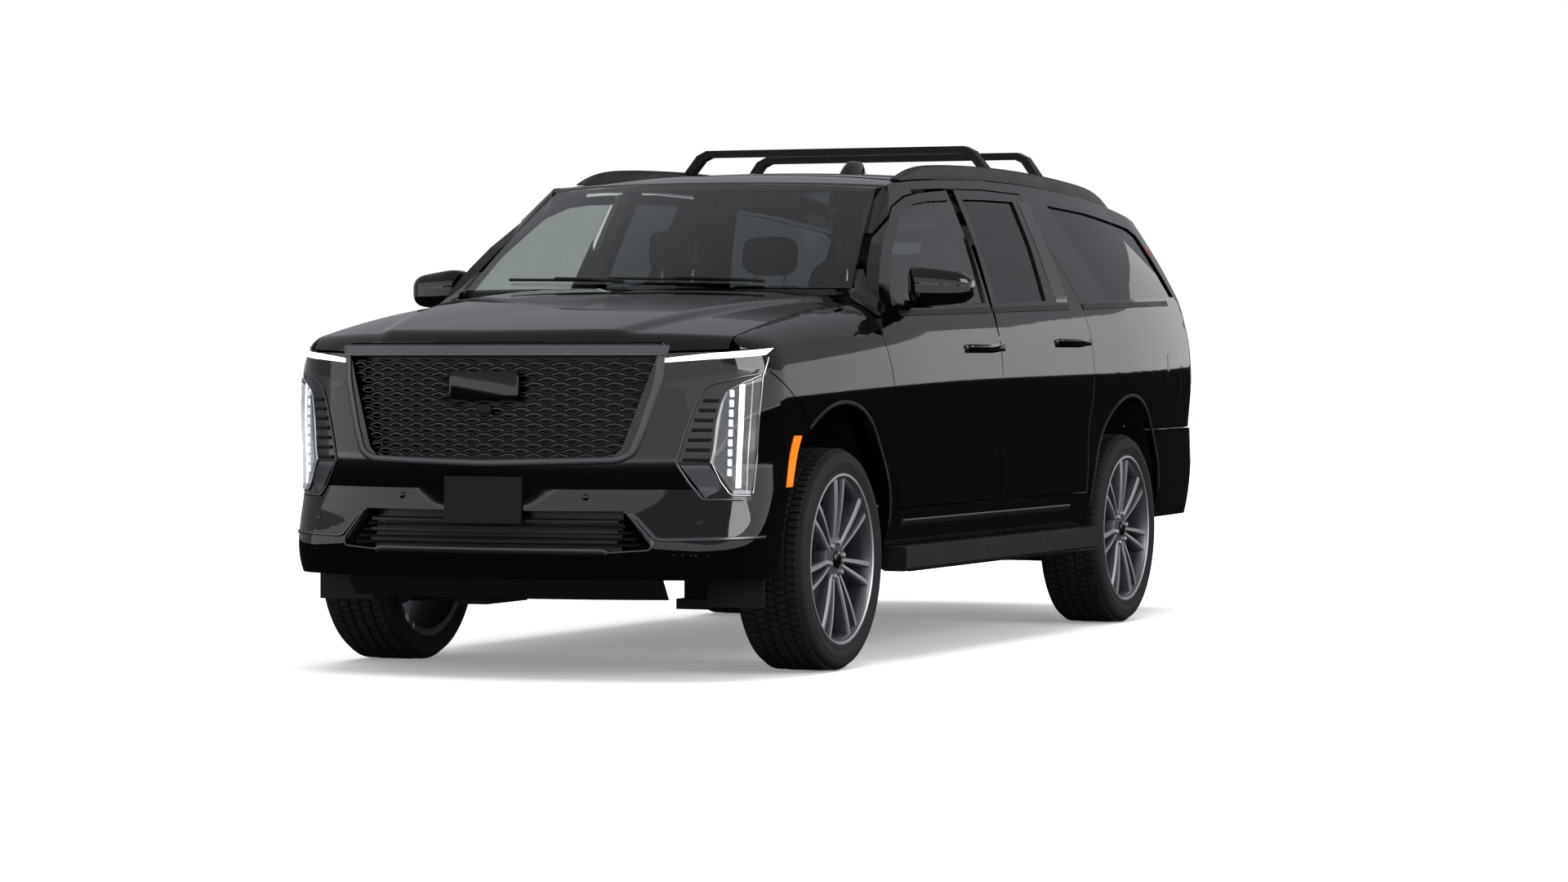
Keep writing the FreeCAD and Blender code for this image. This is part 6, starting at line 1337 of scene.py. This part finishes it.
def placed(piece: Piece, wrap: Wrap, flat: Point, height: float) -> Piece:
    """Sets a plate made at the origin on the skin, upright along the run."""
    places, turns = wrap.frames(np.array([flat], float), height)
    matrix = Matrix.Translation(Vector(places[0]) * MM) @ Euler(turns[0]).to_matrix().to_4x4()
    piece.data.transform(matrix)
    return piece


def set_down(piece: Piece, centre: Point, across: Point, up: Point) -> Piece:
    """Sets a plate made at the origin at a place, with its width along one way and its height along another."""
    x, y = Vector(across).normalized(), Vector(up).normalized()
    turn = Matrix((x, y, x.cross(y))).transposed().to_4x4()
    piece.data.transform(Matrix.Translation(Vector(centre) * MM) @ turn)
    return piece


@dataclass
class FlankTrim:
    """Mouldings, markers, arch lips, rear liners, step pads and mirror panes of the sides."""

    form: BodyForm
    arch_lift: float = 90.0
    lip_radius: float = 501.0

    def arch(self, axle_y: float, low: float, high: float) -> list[tuple[float, float]]:
        """Places of Y and height round a wheel opening, between two angles in degrees."""
        centre_z = self.form.axle_z + self.arch_lift
        return [(axle_y + self.lip_radius * math.cos(a), centre_z + self.lip_radius * math.sin(a))
                for a in np.radians(np.linspace(low, high, 31))]

    def side_pieces(self, side: Side) -> None:
        """Trim of one side."""
        wrap = Wrap(self.form, End.FRONT, side, True)
        word = side.word
        for place, axle_y, limits in (("front", self.form.front_axle_y, (2, 126)),
                                      ("rear", self.form.rear_axle_y, (8, 178))):
            path = self.arch(axle_y, *limits)
            settle(wrap.ribbon("arch_lip_%s_%s" % (place, word), path, 15.0, GRAINED, 4.5, 6.0, step=20),
                   "black_plastic")
        for label, body, start, end in (("front", "front_%s_door" % word, -1195, -165),
                                        ("rear", "rear_%s_door" % word, -138, 835),
                                        ("quarter", "vehicle", 1012, 2330)):
            low, high = ([(y, self.form.belt_z(y) - drop) for y in np.linspace(start, end, 5)] for drop in (27, 5))
            settle(wrap.patch("belt_moulding_%s_%s" % (label, word), low, high, ANODISED,
                              4.0, 3.0, step=30), "gloss_trim", body=body)
        settle(wrap.patch("rear_divider_" + word, [(683, 1416), (693, 1640), (700, 1850)],
                          [(848, 1418), (838, 1640), (828, 1850)], GLOSS_TRIM, 1.5, 3.0),
               "gloss_trim", body="rear_%s_door" % word)
        settle(wrap.ribbon("sill_strip_" + word, [(-1232, 536), (-200, 536), (762, 536)], 24.0, SATIN, 4.0,
                           3.0, step=30), "gloss_trim")
        settle(wrap.patch("side_marker_" + word, [(-2347, 702), (-2291, 890)],
                          [(-2297, 702), (-2226, 890)], AMBER, 3.0, 2.0, step=10), "lamp_plastic")
        if side is Side.LEFT:
            settle(wrap.patch("fuel_flap", [(2123, 940), (2250, 934), (2377, 940)],
                              [(2123, 1194), (2250, 1200), (2377, 1194)], PAINT, 1.6, 2.0, step=14,
                              rows=16), "body_paint")
        self.liner(side)
        self.steps(side)
        self.mirror(side)

    def liner(self, side: Side) -> None:
        """Moulded liner inside the rear wheel opening."""
        centre_z = self.form.axle_z + self.arch_lift
        rings = [[(side.value * x, self.form.rear_axle_y + radius * math.cos(a), centre_z + radius * math.sin(a))
                  for x, radius in ((884, 489), (884, 485), (968, 485), (968, 489))]
                 for a in np.radians(np.linspace(14, 166, 39))]
        settle(loft("rear_liner_" + side.word, np.array(rings), GRAINED), "black_plastic")

    def steps(self, side: Side) -> None:
        """Ribbed rubber pad and bright edge of a running board."""
        rib = loft("rib_shape", np.array([[(x, -5, 0), (x, 5, 0), (x, 3.2, 3.4), (x, -3.2, 3.4)]
                                          for x in (-38, 38)], float), SEAL)
        count = 74
        places = np.stack([np.full(count, side.value * 990.0), np.linspace(-1270, 935, count),
                           np.full(count, 444.0)], -1)
        settle(NODE_WORK.lay("step_ribs_" + side.word, rib, places, np.zeros((count, 3)), SEAL), "black_plastic")
        rings = [[(side.value * x, y, z) for x, z in ((1037, 350.5), (1046, 348.5), (1052.5, 355), (1052.5, 364),
                                                      (1048, 364))] for y in (-1290, -400, 500, 960)]
        settle(loft("step_edge_" + side.word, np.array(rings, float), CHROME), "gloss_trim")

    def mirror(self, side: Side) -> None:
        """Mirror pane at the back of its housing."""
        pane = rounded_plate("mirror_pane_" + side.word, (176, 104, 5), 1.2, MIRROR, 22.0, -2.0)
        settle(set_down(pane, (side.value * 1112, -1004, 1455), (-1, 0, 0), (0, 0, 1)),
               "gloss_trim", body="front_%s_door" % side.word)

    def build(self) -> None:
        """Makes the trim of both sides."""
        for side in Side:
            self.side_pieces(side)


@dataclass
class RoofAndScreen:
    """Wipers and aerial fin."""

    form: BodyForm
    fin_y: float = 745.0

    def over_glass(self, side: float, share: float, lift: float) -> Array:
        """Place over the windshield."""
        point = self.form.glass_point(np.array([side]), np.array([share]))[0]
        return point + GLASS_OUT * lift

    def wipers(self) -> None:
        """Two arms with their blades, parked along the base of the windshield."""
        for label, pivot, low, high in (("left", 0.62, 0.56, -0.12), ("right", -0.05, -0.12, -0.72)):
            blade = even_path([self.over_glass(low + (high - low) * t, 0.045 + 0.02 * t, 12) for t in
                               np.linspace(0, 1, 6)], 25)
            settle(NODE_WORK.bar("wiper_blade_" + label, blade, 6.0, SEAL), "black_plastic")
            middle = (low + high) / 2
            arm = even_path([self.over_glass(pivot + 0.02, 0.03, 16),
                             self.over_glass((pivot + middle) / 2, 0.042, 22),
                             self.over_glass(middle, 0.057, 18)], 20)
            settle(NODE_WORK.bar("wiper_arm_" + label, arm, 6.5, GRAINED), "black_plastic")

    def fin(self) -> None:
        """Aerial fin on the roof."""
        base = float(self.form.roof_z(0.0, self.fin_y)) - 3
        rings = [[(half * math.cos(a), self.fin_y + level * 0.5 + length * math.sin(a), base + level)
                  for a in np.linspace(0, 2 * math.pi, 20, endpoint=False)]
                 for level, length, half in ((0, 128, 44), (20, 120, 40), (48, 100, 32), (68, 76, 24), (76, 52, 15))]
        settle(loft("aerial_fin", np.array(rings), PAINT), "gloss_trim")

    def build(self) -> None:
        """Makes the pieces over the screen and the roof."""
        self.wipers()
        self.fin()


@dataclass
class RearFace:
    """Lamps, tailgate trim and bumper dressing of the rear."""

    form: BodyForm

    def build(self) -> None:
        """Makes the rear."""
        for side in Side:
            wrap = Wrap(self.form, End.TAIL, side)
            guide = [(800, 1700), (846, 1400), (850, 1150), (846, 900)]
            settle(wrap.ribbon("tail_light_guide_" + side.word, guide, 18.0, RED_GLOW, 2.0, round_mm=60),
                   "tail_lamp_plastic")
            settle(wrap.patch("reversing_lamp_" + side.word, [(790, 960), (790, 1010)],
                              [(822, 960), (822, 1010)], LAMP_SILVER, step=8), "tail_lamp_plastic")
            bumper = Wrap(self.form, End.BUMPER, side)
            settle(bumper.patch("rear_reflector_" + side.word, [(700, 560), (880, 560)],
                                [(700, 588), (880, 588)], RED_LENS, 2.5), "tail_lamp_plastic")
        gate = Wrap(self.form, End.TAIL)
        corners = [(-290, 1010), (290, 1010), (290, 1170), (-290, 1170)]
        settle(gate.ribbon("plate_recess_frame", corners, 12.0, GLOSS_TRIM, 4.0, closed=True, round_mm=24),
               "gloss_trim", body="tail_lid")
        settle(gate.patch("gate_handle_bar", [(-330, 1190), (0, 1190), (330, 1190)],
                          [(-330, 1226), (0, 1226), (330, 1226)], SATIN, 9.0), "gloss_trim", body="tail_lid")
        low = Wrap(self.form, End.BUMPER)
        settle(low.patch("rear_lower_fascia", [(-800, 458), (0, 458), (800, 458)],
                         [(-760, 540), (0, 540), (760, 540)], GRAINED), "black_plastic")


@dataclass
class Wheel:
    """Rim with split spokes, brake disc and tyre of one corner."""

    end: str
    side: Side
    spokes: int = 7
    tread_radius: float = 409.2
    tyre_radius: float = 418.8
    blocks_round: int = 88

    def __post_init__(self) -> None:
        """Finds the middle of the wheel, and the names that go with its corner."""
        self.corner = "%s_%s" % (self.end, self.side.word)
        self.body = self.corner + "_wheel"
        self.tag = "_" + self.corner
        self.centre = joint_place(self.corner + "_spin")

    def turned(self, name: str, outline: Sequence[Point], finish: Finish, segments: int = 96,
               sharp: float = 32.0) -> Piece:
        """Ring turned about the axle from a closed outline of radius and outward place."""
        radius, out = np.array(outline, float).T
        rings = [self.world(radius, 0 * out, out, a) for a in np.linspace(0, 2 * math.pi, segments, endpoint=False)]
        return loft(name, np.array(rings), finish, True, sharp)

    def world(self, radius: Array, across: Array, out: Array, angle: float) -> Array:
        """Places from a radius, a distance across it and an outward distance, at an angle."""
        y = self.centre.y + radius * math.cos(angle) - across * math.sin(angle)
        z = self.centre.z + radius * math.sin(angle) + across * math.cos(angle)
        return np.stack([self.centre.x + self.side.value * out, y, z], -1)

    def stacked(self, name: str, levels: Sequence[Point], finish: Finish) -> Piece:
        """Round piece on the axle, closed at both ends, from pairs of radius and outward place."""
        angles = np.linspace(0, 2 * math.pi, 48, endpoint=False)
        return loft(name, np.array([self.round_places(radius, out, angles) for radius, out in levels]), finish)

    def round_places(self, radius: float, out: float, angles: Array) -> Array:
        """Places at one radius and outward distance, at many angles."""
        return np.array([self.world(radius, 0.0, out, a) for a in angles])

    def blade(self, name: str, angle: float, hand: int, bright: bool) -> Piece:
        """One blade of a split spoke, or the bright facet along it."""
        rings = []
        for share in np.linspace(0, 1, 9):
            radius = 66 + 236 * share
            offset = hand * (9 + 27 * share ** 0.9)
            half = 8.5 + 3.5 * share
            face = 107 + 17 * math.sin(math.pi * min(1, share * 1.05) * 0.55)
            back = 76 - 10 * share
            if bright:
                edge = offset + hand * half
                inner = edge - hand * (2 * half - 4.5)
                section = [(inner, face - 2), (inner, face + 0.9), (edge - hand * 4, face + 1.1),
                           (edge + hand * 0.3, face - 6), (edge - hand * 1.2, face - 8)]
            else:
                section = [(offset - half, back), (offset - half, face - 7), (offset - half + 4, face),
                           (offset + half - 4, face), (offset + half, face - 7), (offset + half, back)]
            across, out = np.array(section, float).T
            rings.append(self.world(np.full_like(across, radius), across, out, angle))
        return loft(name, np.array(rings), BRIGHT_ALLOY if bright else DARK_ALLOY, sharp_degrees=25)

    def rim(self) -> None:
        """Barrel, hub, spokes, cap and nuts."""
        body, tag = self.body, self.tag
        barrel = [(325, 135), (321, 136), (311, 131), (304, 122), (296, 108), (293, 90), (293, -118), (300, -131),
                  (325, -135), (326, -128), (309, -122), (305, -100), (304, 95), (309, 120), (326, 128)]
        hub = [(60, 40), (94, 44), (95, 96), (88, 106), (60, 109), (40, 110)]
        parts = [self.turned("barrel", barrel, DARK_ALLOY), self.stacked("hub", hub, DARK_ALLOY)]
        facets = []
        for k in range(self.spokes):
            angle = math.pi / 2 + 2 * math.pi * k / self.spokes
            for hand in (-1, 1):
                parts.append(self.blade("blade", angle, hand, False))
                facets.append(self.blade("facet", angle, hand, True))
        settle(joined("dark_rim" + tag, parts, DARK_ALLOY), "wheel_finish", "rim" + tag, body=body)
        facets.append(self.turned("lip", [(322.5, 135.4), (316, 136.6), (310.5, 132.5), (312, 130)], BRIGHT_ALLOY))
        settle(joined("turned_facets" + tag, facets, BRIGHT_ALLOY), "wheel_finish", body=body)
        cap = [(34, 104), (34, 116), (31, 119), (20, 120.5)]
        settle(self.stacked("hub_cap" + tag, cap, GLOSS_TRIM), "wheel_finish", body=body)
        disc = [(62, -10), (205, -10), (205, 20), (110, 20), (106, 38), (62, 38)]
        settle(self.turned("brake_disc" + tag, disc, IRON, 80), "chassis_metal", body=body)
        sixths = np.arange(6) * math.pi / 3
        nut = loft("nut_shape", np.array([[(r * math.cos(a), r * math.sin(a), level) for a in sixths]
                                          for r, level in ((11, 0), (11, 9), (8, 13))]), BRIGHT_ALLOY)
        angles = sixths + 0.2
        places = self.round_places(66, 106, angles)
        out = np.tile([self.side.value, 0.0, 0.0], (6, 1))
        radial = np.stack([np.zeros(6), np.cos(angles), np.sin(angles)], -1)
        settle(NODE_WORK.lay("wheel_nuts" + tag, nut, places, turn_of(radial, np.cross(out, radial), out),
                             BRIGHT_ALLOY), "wheel_finish", body=body)

    def tyre(self) -> None:
        """Carcass with its sidewalls, and the tread blocks round it."""
        half = [(308, 116), (309, 127), (322, 134), (333, 137.5), (337, 136), (352, 141), (368, 142.3), (372, 140.8),
                (390, 139.5), (401, 133), (407.5, 122), (409.2, 108)]
        outline = half + [(r, -out) for r, out in half[::-1]] + [(322, -104), (326, 0), (322, 104)]
        carcass = self.turned("tyre_carcass" + self.tag, outline, TYRE, 120, 24)
        settle(carcass, "tyre_rubber", "tyre" + self.tag, body=self.body)
        thick = self.tyre_radius - self.tread_radius + 2
        ribs = []
        for out, wide, slant, shift in ((-93, 40, 0.0, 0.0), (-46, 36, 0.35, 0.5), (0, 36, -0.35, 0.0),
                                        (46, 36, 0.35, 0.5), (93, 40, 0.0, 0.0)):
            lean = 11 * slant
            rings = [[(-wide / 2 + i, -11.5 + i - lean, level), (wide / 2 - i, -11.5 + i + lean, level),
                      (wide / 2 - i, 11.5 - i + lean, level), (-wide / 2 + i, 11.5 - i - lean, level)]
                     for i, level in ((0, -2.0), (0, thick - 3.4), (1.4, thick - 2))]
            block = loft("block_shape", np.array(rings), TYRE)
            angles = (np.arange(self.blocks_round) + shift) * 2 * math.pi / self.blocks_round
            drop = 1.6 if abs(out) > 60 else 0.0
            places = self.round_places(self.tread_radius - drop, out, angles)
            radial = np.stack([np.zeros_like(angles), np.cos(angles), np.sin(angles)], -1)
            across = np.tile([1.0, 0.0, 0.0], (len(angles), 1))
            turns = turn_of(across, np.cross(radial, across), radial)
            ribs.append(NODE_WORK.lay("rib_%d" % out, block, places, turns, TYRE))
        settle(joined("tread_blocks" + self.tag, ribs, TYRE), "tyre_rubber", body=self.body)

    def build(self) -> None:
        """Makes the wheel."""
        self.rim()
        self.tyre()


@dataclass
class Seats:
    """Upholstered seats: crowned cushions with sewn channels, backs and head restraints."""

    rows: tuple = (("front_left", 420.0, -279.0, 630.0, 540.0), ("front_right", -420.0, -279.0, 630.0, 540.0),
                   ("middle_left", 420.0, 731.0, 630.0, 540.0), ("middle_right", -420.0, 731.0, 630.0, 540.0),
                   ("bench", 0.0, 1691.0, 788.0, 1242.0))
    fill: float = 0.85
    seam_depth: float = 9.0
    bolster_rise: float = 26.0

    def pad(self, name: str, centre: Point, size: Point, tilt: float, seams: Sequence[float],
            power: float = 5.0) -> Piece:
        """Crowned pad with channels sewn across its front face.

        Args:
            name: Name of the pad.
            centre: Middle of the pad in millimetres.
            size: Width, depth and thickness, with the thickness along its face.
            tilt: Turn about the width in radians, that raises the face from upwards to forwards.
            seams: Places of the channels along the width, as shares of half of it.
            power: Squareness of its edges.

        Returns:
            The pad.
        """
        shaped = bmesh.new()
        bmesh.ops.create_cube(shaped, size=2.0)
        bmesh.ops.subdivide_edges(shaped, edges=shaped.edges, cuts=35, use_grid_fill=True)
        mesh = bpy.data.meshes.new(name)
        shaped.to_mesh(mesh)
        shaped.free()
        corner = values_of(mesh.vertices, "co")
        unit = corner / ((np.abs(corner) ** power).sum(1) ** (1 / power))[:, None]
        unit[:, 0] *= 1 - 0.035 * (1 - unit[:, 1] ** 2)
        place = unit * np.array(size) / 2
        top = np.clip(unit[:, 2] * 2.2, 0, 1) ** 2
        for seam in seams:
            away = (unit[:, 0] - seam) * size[0] / 2
            place[:, 2] -= self.seam_depth * np.exp(-(away / self.seam_depth) ** 2) * top
        reach = np.abs(unit[:, 0])
        bolster = np.clip((reach - 0.62) / 0.3, 0, 1)
        rise = self.bolster_rise * bolster ** 2 * (3 - 2 * bolster)
        place[:, 2] += rise * top * (1 - np.clip(reach - 0.9, 0, 1))
        cos, sin = math.cos(tilt), math.sin(tilt)
        y = place[:, 1] * cos - place[:, 2] * sin
        z = place[:, 1] * sin + place[:, 2] * cos
        world = (np.stack([place[:, 0], y, z], -1) + np.array(centre)) * MM
        mesh.vertices.foreach_set("co", world.ravel())
        piece = finish_piece(name, mesh, LEATHER, 60)
        face_outwards(mesh)
        settle(piece, "seat_leather")
        return piece

    def build(self) -> None:
        """Makes every seat."""
        for index, (label, x, back_y, floor_z, width) in enumerate(self.rows):
            seams = (-0.62, 0.0, 0.62) if width < 900 else (-0.62, -0.22, 0.22, 0.62)
            cushion = self.pad("cushion_" + label, (x, back_y - 330, floor_z + 286), (width - 12, 470, 118), -0.03,
                               seams)
            if index == 0:
                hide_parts("seats")
            tilt = math.atan2(540, 150)
            self.pad("back_" + label, (x, back_y - 8, floor_z + 575), (width - 20, 590, 118), tilt, seams)
            rests = (0.0,) if width < 900 else (-380.0, 380.0)
            for number, shift in enumerate(rests):
                self.pad("head_restraint_%s_%d" % (label, number), (x + shift, back_y + 102, floor_z + 998),
                         (252, 172, 82), tilt + 0.14, (), 3.6)
                for hand in (-70, 70):
                    path = even_path([(x + shift + hand, back_y + 72, floor_z + 820),
                                      (x + shift + hand, back_y + 98, floor_z + 960)], 40)
                    settle(NODE_WORK.bar("rest_post_%s_%d_%d" % (label, number, hand + 70), path, 6.0, CHROME),
                           "chassis_metal")
            base = rounded_plate("seat_base_" + label, (width - 60, 430, 222), 14.0, GRAINED, 40.0, 2.0)
            settle(set_down(base, (x, back_y - 300, floor_z), (1, 0, 0), (0, 1, 0)), "black_plastic")


@dataclass
class CarriedNodes:
    """Nodes whose CAD shape stays, with their finishes."""

    finishes: dict = field(default_factory=lambda: {
        "frame": CHASSIS, "floor": CHASSIS, "front_axle": CHASSIS, "rear_axle": CHASSIS,
        "knuckle_left": IRON, "knuckle_right": IRON, "engine": CHASSIS, "exhaust": STEEL,
        "dashboard": GRAINED, "steering_wheel": LEATHER, "running_boards": SEAL,
        "roof_rails": ANODISED, "grille": MESH_BLACK, "front_trim": GRAINED})

    def build(self) -> None:
        """Gives each node its finish."""
        for node, finish in self.finishes.items():
            mesh = frame["nodes"][node].data
            mesh.materials.clear()
            mesh.materials.append(finish.material())


def bare_tree(holder: bpy.types.ID) -> Tree:
    """Empty node tree of a new material or world."""
    holder.use_nodes = True
    holder.node_tree.nodes.clear()
    return holder.node_tree


def seen_rays(tree: Tree) -> Socket:
    """One for rays of the eye, through panes and in reflections, and zero for the light."""
    rays = add_node(tree, "ShaderNodeLightPath").outputs
    clear = add_node(tree, "ShaderNodeMath", {0: rays["Is Camera Ray"], 1: rays["Is Transmission Ray"]},
                     operation="MAXIMUM")
    return add_node(tree, "ShaderNodeMath", {0: clear.outputs[0], 1: rays["Is Glossy Ray"]},
                    operation="MAXIMUM").outputs[0]


@dataclass
class Studio:
    """Floor, soft light and the camera at the photograph's viewing angle."""

    camera_place: tuple[float, float, float] = (7.280, -17.5576, 1.1674)
    yaw: float = 0.393662
    pitch: float = 0.01795
    focal_px: float = 5508.83
    picture_width_px: float = 1920.0
    sensor_mm: float = 36.0
    floor_size: float = 400.0
    floor_lift: float = 0.25
    lift_from: float = 3.2
    lift_to: float = 7.5
    floor_card_half: float = 60.0
    ceiling_height: float = 8.0
    ceiling_half: float = 31.0
    dome_strength: float = 0.62

    def camera(self) -> None:
        """Camera with the focal length found from the wheels."""
        data = bpy.data.cameras.new("studio_camera")
        data.sensor_width = self.sensor_mm
        data.lens = self.focal_px / self.picture_width_px * self.sensor_mm
        data.clip_end = 1000
        camera = bpy.data.objects.new("studio_camera", data)
        back = Vector((math.sin(self.yaw) * math.cos(self.pitch), -math.cos(self.yaw) * math.cos(self.pitch),
                       math.sin(self.pitch)))
        camera.location = self.camera_place
        camera.rotation_mode = "QUATERNION"
        camera.rotation_quaternion = (-back).to_track_quat("-Z", "Y")
        bpy.context.scene.collection.objects.link(camera)
        bpy.context.scene.camera = camera

    def plane(self, name: str, corners: Sequence[Point], material: Material) -> Piece:
        """Flat stage piece between four corners in metres."""
        mesh = bpy.data.meshes.new(name)
        mesh.from_pydata(list(corners), [], [(0, 1, 2, 3)])
        mesh.materials.append(material)
        piece = bpy.data.objects.new(name, mesh)
        bpy.context.scene.collection.objects.link(piece)
        return piece

    def floor(self) -> None:
        """Pale floor that runs to the horizon and takes the shadow of the vehicle."""
        material = bpy.data.materials.new("pale_studio_floor")
        tree = bare_tree(material)
        place = add_node(tree, "ShaderNodeTexCoord").outputs["Object"]
        away = add_node(tree, "ShaderNodeVectorMath", {0: place}, operation="LENGTH").outputs["Value"]
        lift = add_node(tree, "ShaderNodeMapRange", {"Value": away, "From Min": self.lift_from,
                                                     "From Max": self.lift_to, "To Min": self.floor_lift})
        pale = add_node(tree, "ShaderNodeBsdfDiffuse", {"Color": linear(WHITE)})
        glow = add_node(tree, "ShaderNodeEmission", {"Color": linear(WHITE), "Strength": lift.outputs["Result"]})
        seen = add_node(tree, "ShaderNodeAddShader", {0: pale.outputs[0], 1: glow.outputs[0]})
        mixed = add_node(tree, "ShaderNodeMixShader", {0: seen_rays(tree), 1: pale.outputs[0], 2: seen.outputs[0]})
        add_node(tree, "ShaderNodeOutputMaterial", {"Surface": mixed.outputs[0]})
        self.plane("studio_floor", self.level(self.floor_size / 2, 0), material)

    def level(self, half: float, height: float) -> list[Point]:
        """Corners of a level square over the middle of the stage, in metres."""
        return [(x * half, y * half, height) for x, y in ((-1, -1), (1, -1), (1, 1), (-1, 1))]

    def card(self, name: str, corners: Sequence[Point], shade: str, over_glass: bool = False) -> None:
        """Studio card that only reflections show.

        Args:
            name: Name of the card.
            corners: Four corners in metres.
            shade: Colour that reflections of the card have.
            over_glass: True where the card also darkens what lies behind panes.
        """
        material = bpy.data.materials.new(name + "_cloth")
        tree = bare_tree(material)
        glow = add_node(tree, "ShaderNodeEmission", {"Color": linear(shade), "Strength": 1.0})
        add_node(tree, "ShaderNodeOutputMaterial", {"Surface": glow.outputs[0]})
        card = self.plane(name, corners, material)
        card.visible_camera = False
        card.visible_diffuse = False
        card.visible_transmission = over_glass
        card.visible_volume_scatter = False
        card.visible_shadow = False

    def cards(self) -> None:
        """Dark and grey cards under, over and behind the vehicle, as round a photographed car."""
        self.card("floor_card", self.level(self.floor_card_half, 0.003), "#1c1d1f")
        self.card("ceiling_card", self.level(self.ceiling_half, self.ceiling_height), "#97989d", True)
        self.card("rear_card", [(-34, -6, 0), (1.5, 31, 0), (1.5, 31, 26), (-34, -6, 26)], "#8f9095")
        self.card("horizon_card", [(-70, 58, 0), (70, 58, 0), (70, 58, 2.1), (-70, 58, 2.1)], "#1c1d1f")

    def world(self) -> None:
        """White surroundings to the eye and in reflections, and a soft dome for the light."""
        world = bpy.data.worlds.new("studio_world")
        tree = bare_tree(world)
        dome, white = (add_node(tree, "ShaderNodeBackground", {"Color": linear(WHITE), "Strength": strength})
                       for strength in (self.dome_strength, 1.0))
        mixed = add_node(tree, "ShaderNodeMixShader", {0: seen_rays(tree), 1: dome.outputs[0], 2: white.outputs[0]})
        add_node(tree, "ShaderNodeOutputWorld", {"Surface": mixed.outputs[0]})
        bpy.context.scene.world = world

    def lamp(self, name: str, place: Point, target: Point, size: tuple[float, float], watts: float) -> None:
        """Soft box that looks at a target."""
        data = bpy.data.lights.new(name, "AREA")
        data.shape = "RECTANGLE"
        data.size, data.size_y = size
        data.energy = watts
        lamp = bpy.data.objects.new(name, data)
        lamp.location = place
        lamp.rotation_mode = "QUATERNION"
        lamp.rotation_quaternion = (Vector(target) - Vector(place)).to_track_quat("-Z", "Y")
        bpy.context.scene.collection.objects.link(lamp)

    def build(self) -> None:
        """Sets the stage."""
        self.camera()
        self.floor()
        self.cards()
        self.world()
        self.lamp("top_box", (0, 0, 9), (0, 0, 0), (9, 14), 900)
        self.lamp("side_box", (11, -3, 5), (0, 0, 1), (8, 4), 500)
        bpy.context.scene.view_settings.view_transform = "Standard"


def main() -> None:
    """Builds the sub-assemblies in order."""
    logging.basicConfig(level=logging.INFO, format="%(message)s")
    form = BodyForm()
    panels = Panels(form)
    CarriedNodes().build()
    panels.build()
    LargeSheets(form).build(panels)
    FrontFace(form).build()
    FlankTrim(form).build()
    RoofAndScreen(form).build()
    RearFace(form).build()
    for end in ("front", "rear"):
        for side in Side:
            Wheel(end, side).build()
    Seats().build()
    Studio().build()


if __name__ == "__main__":
    main()
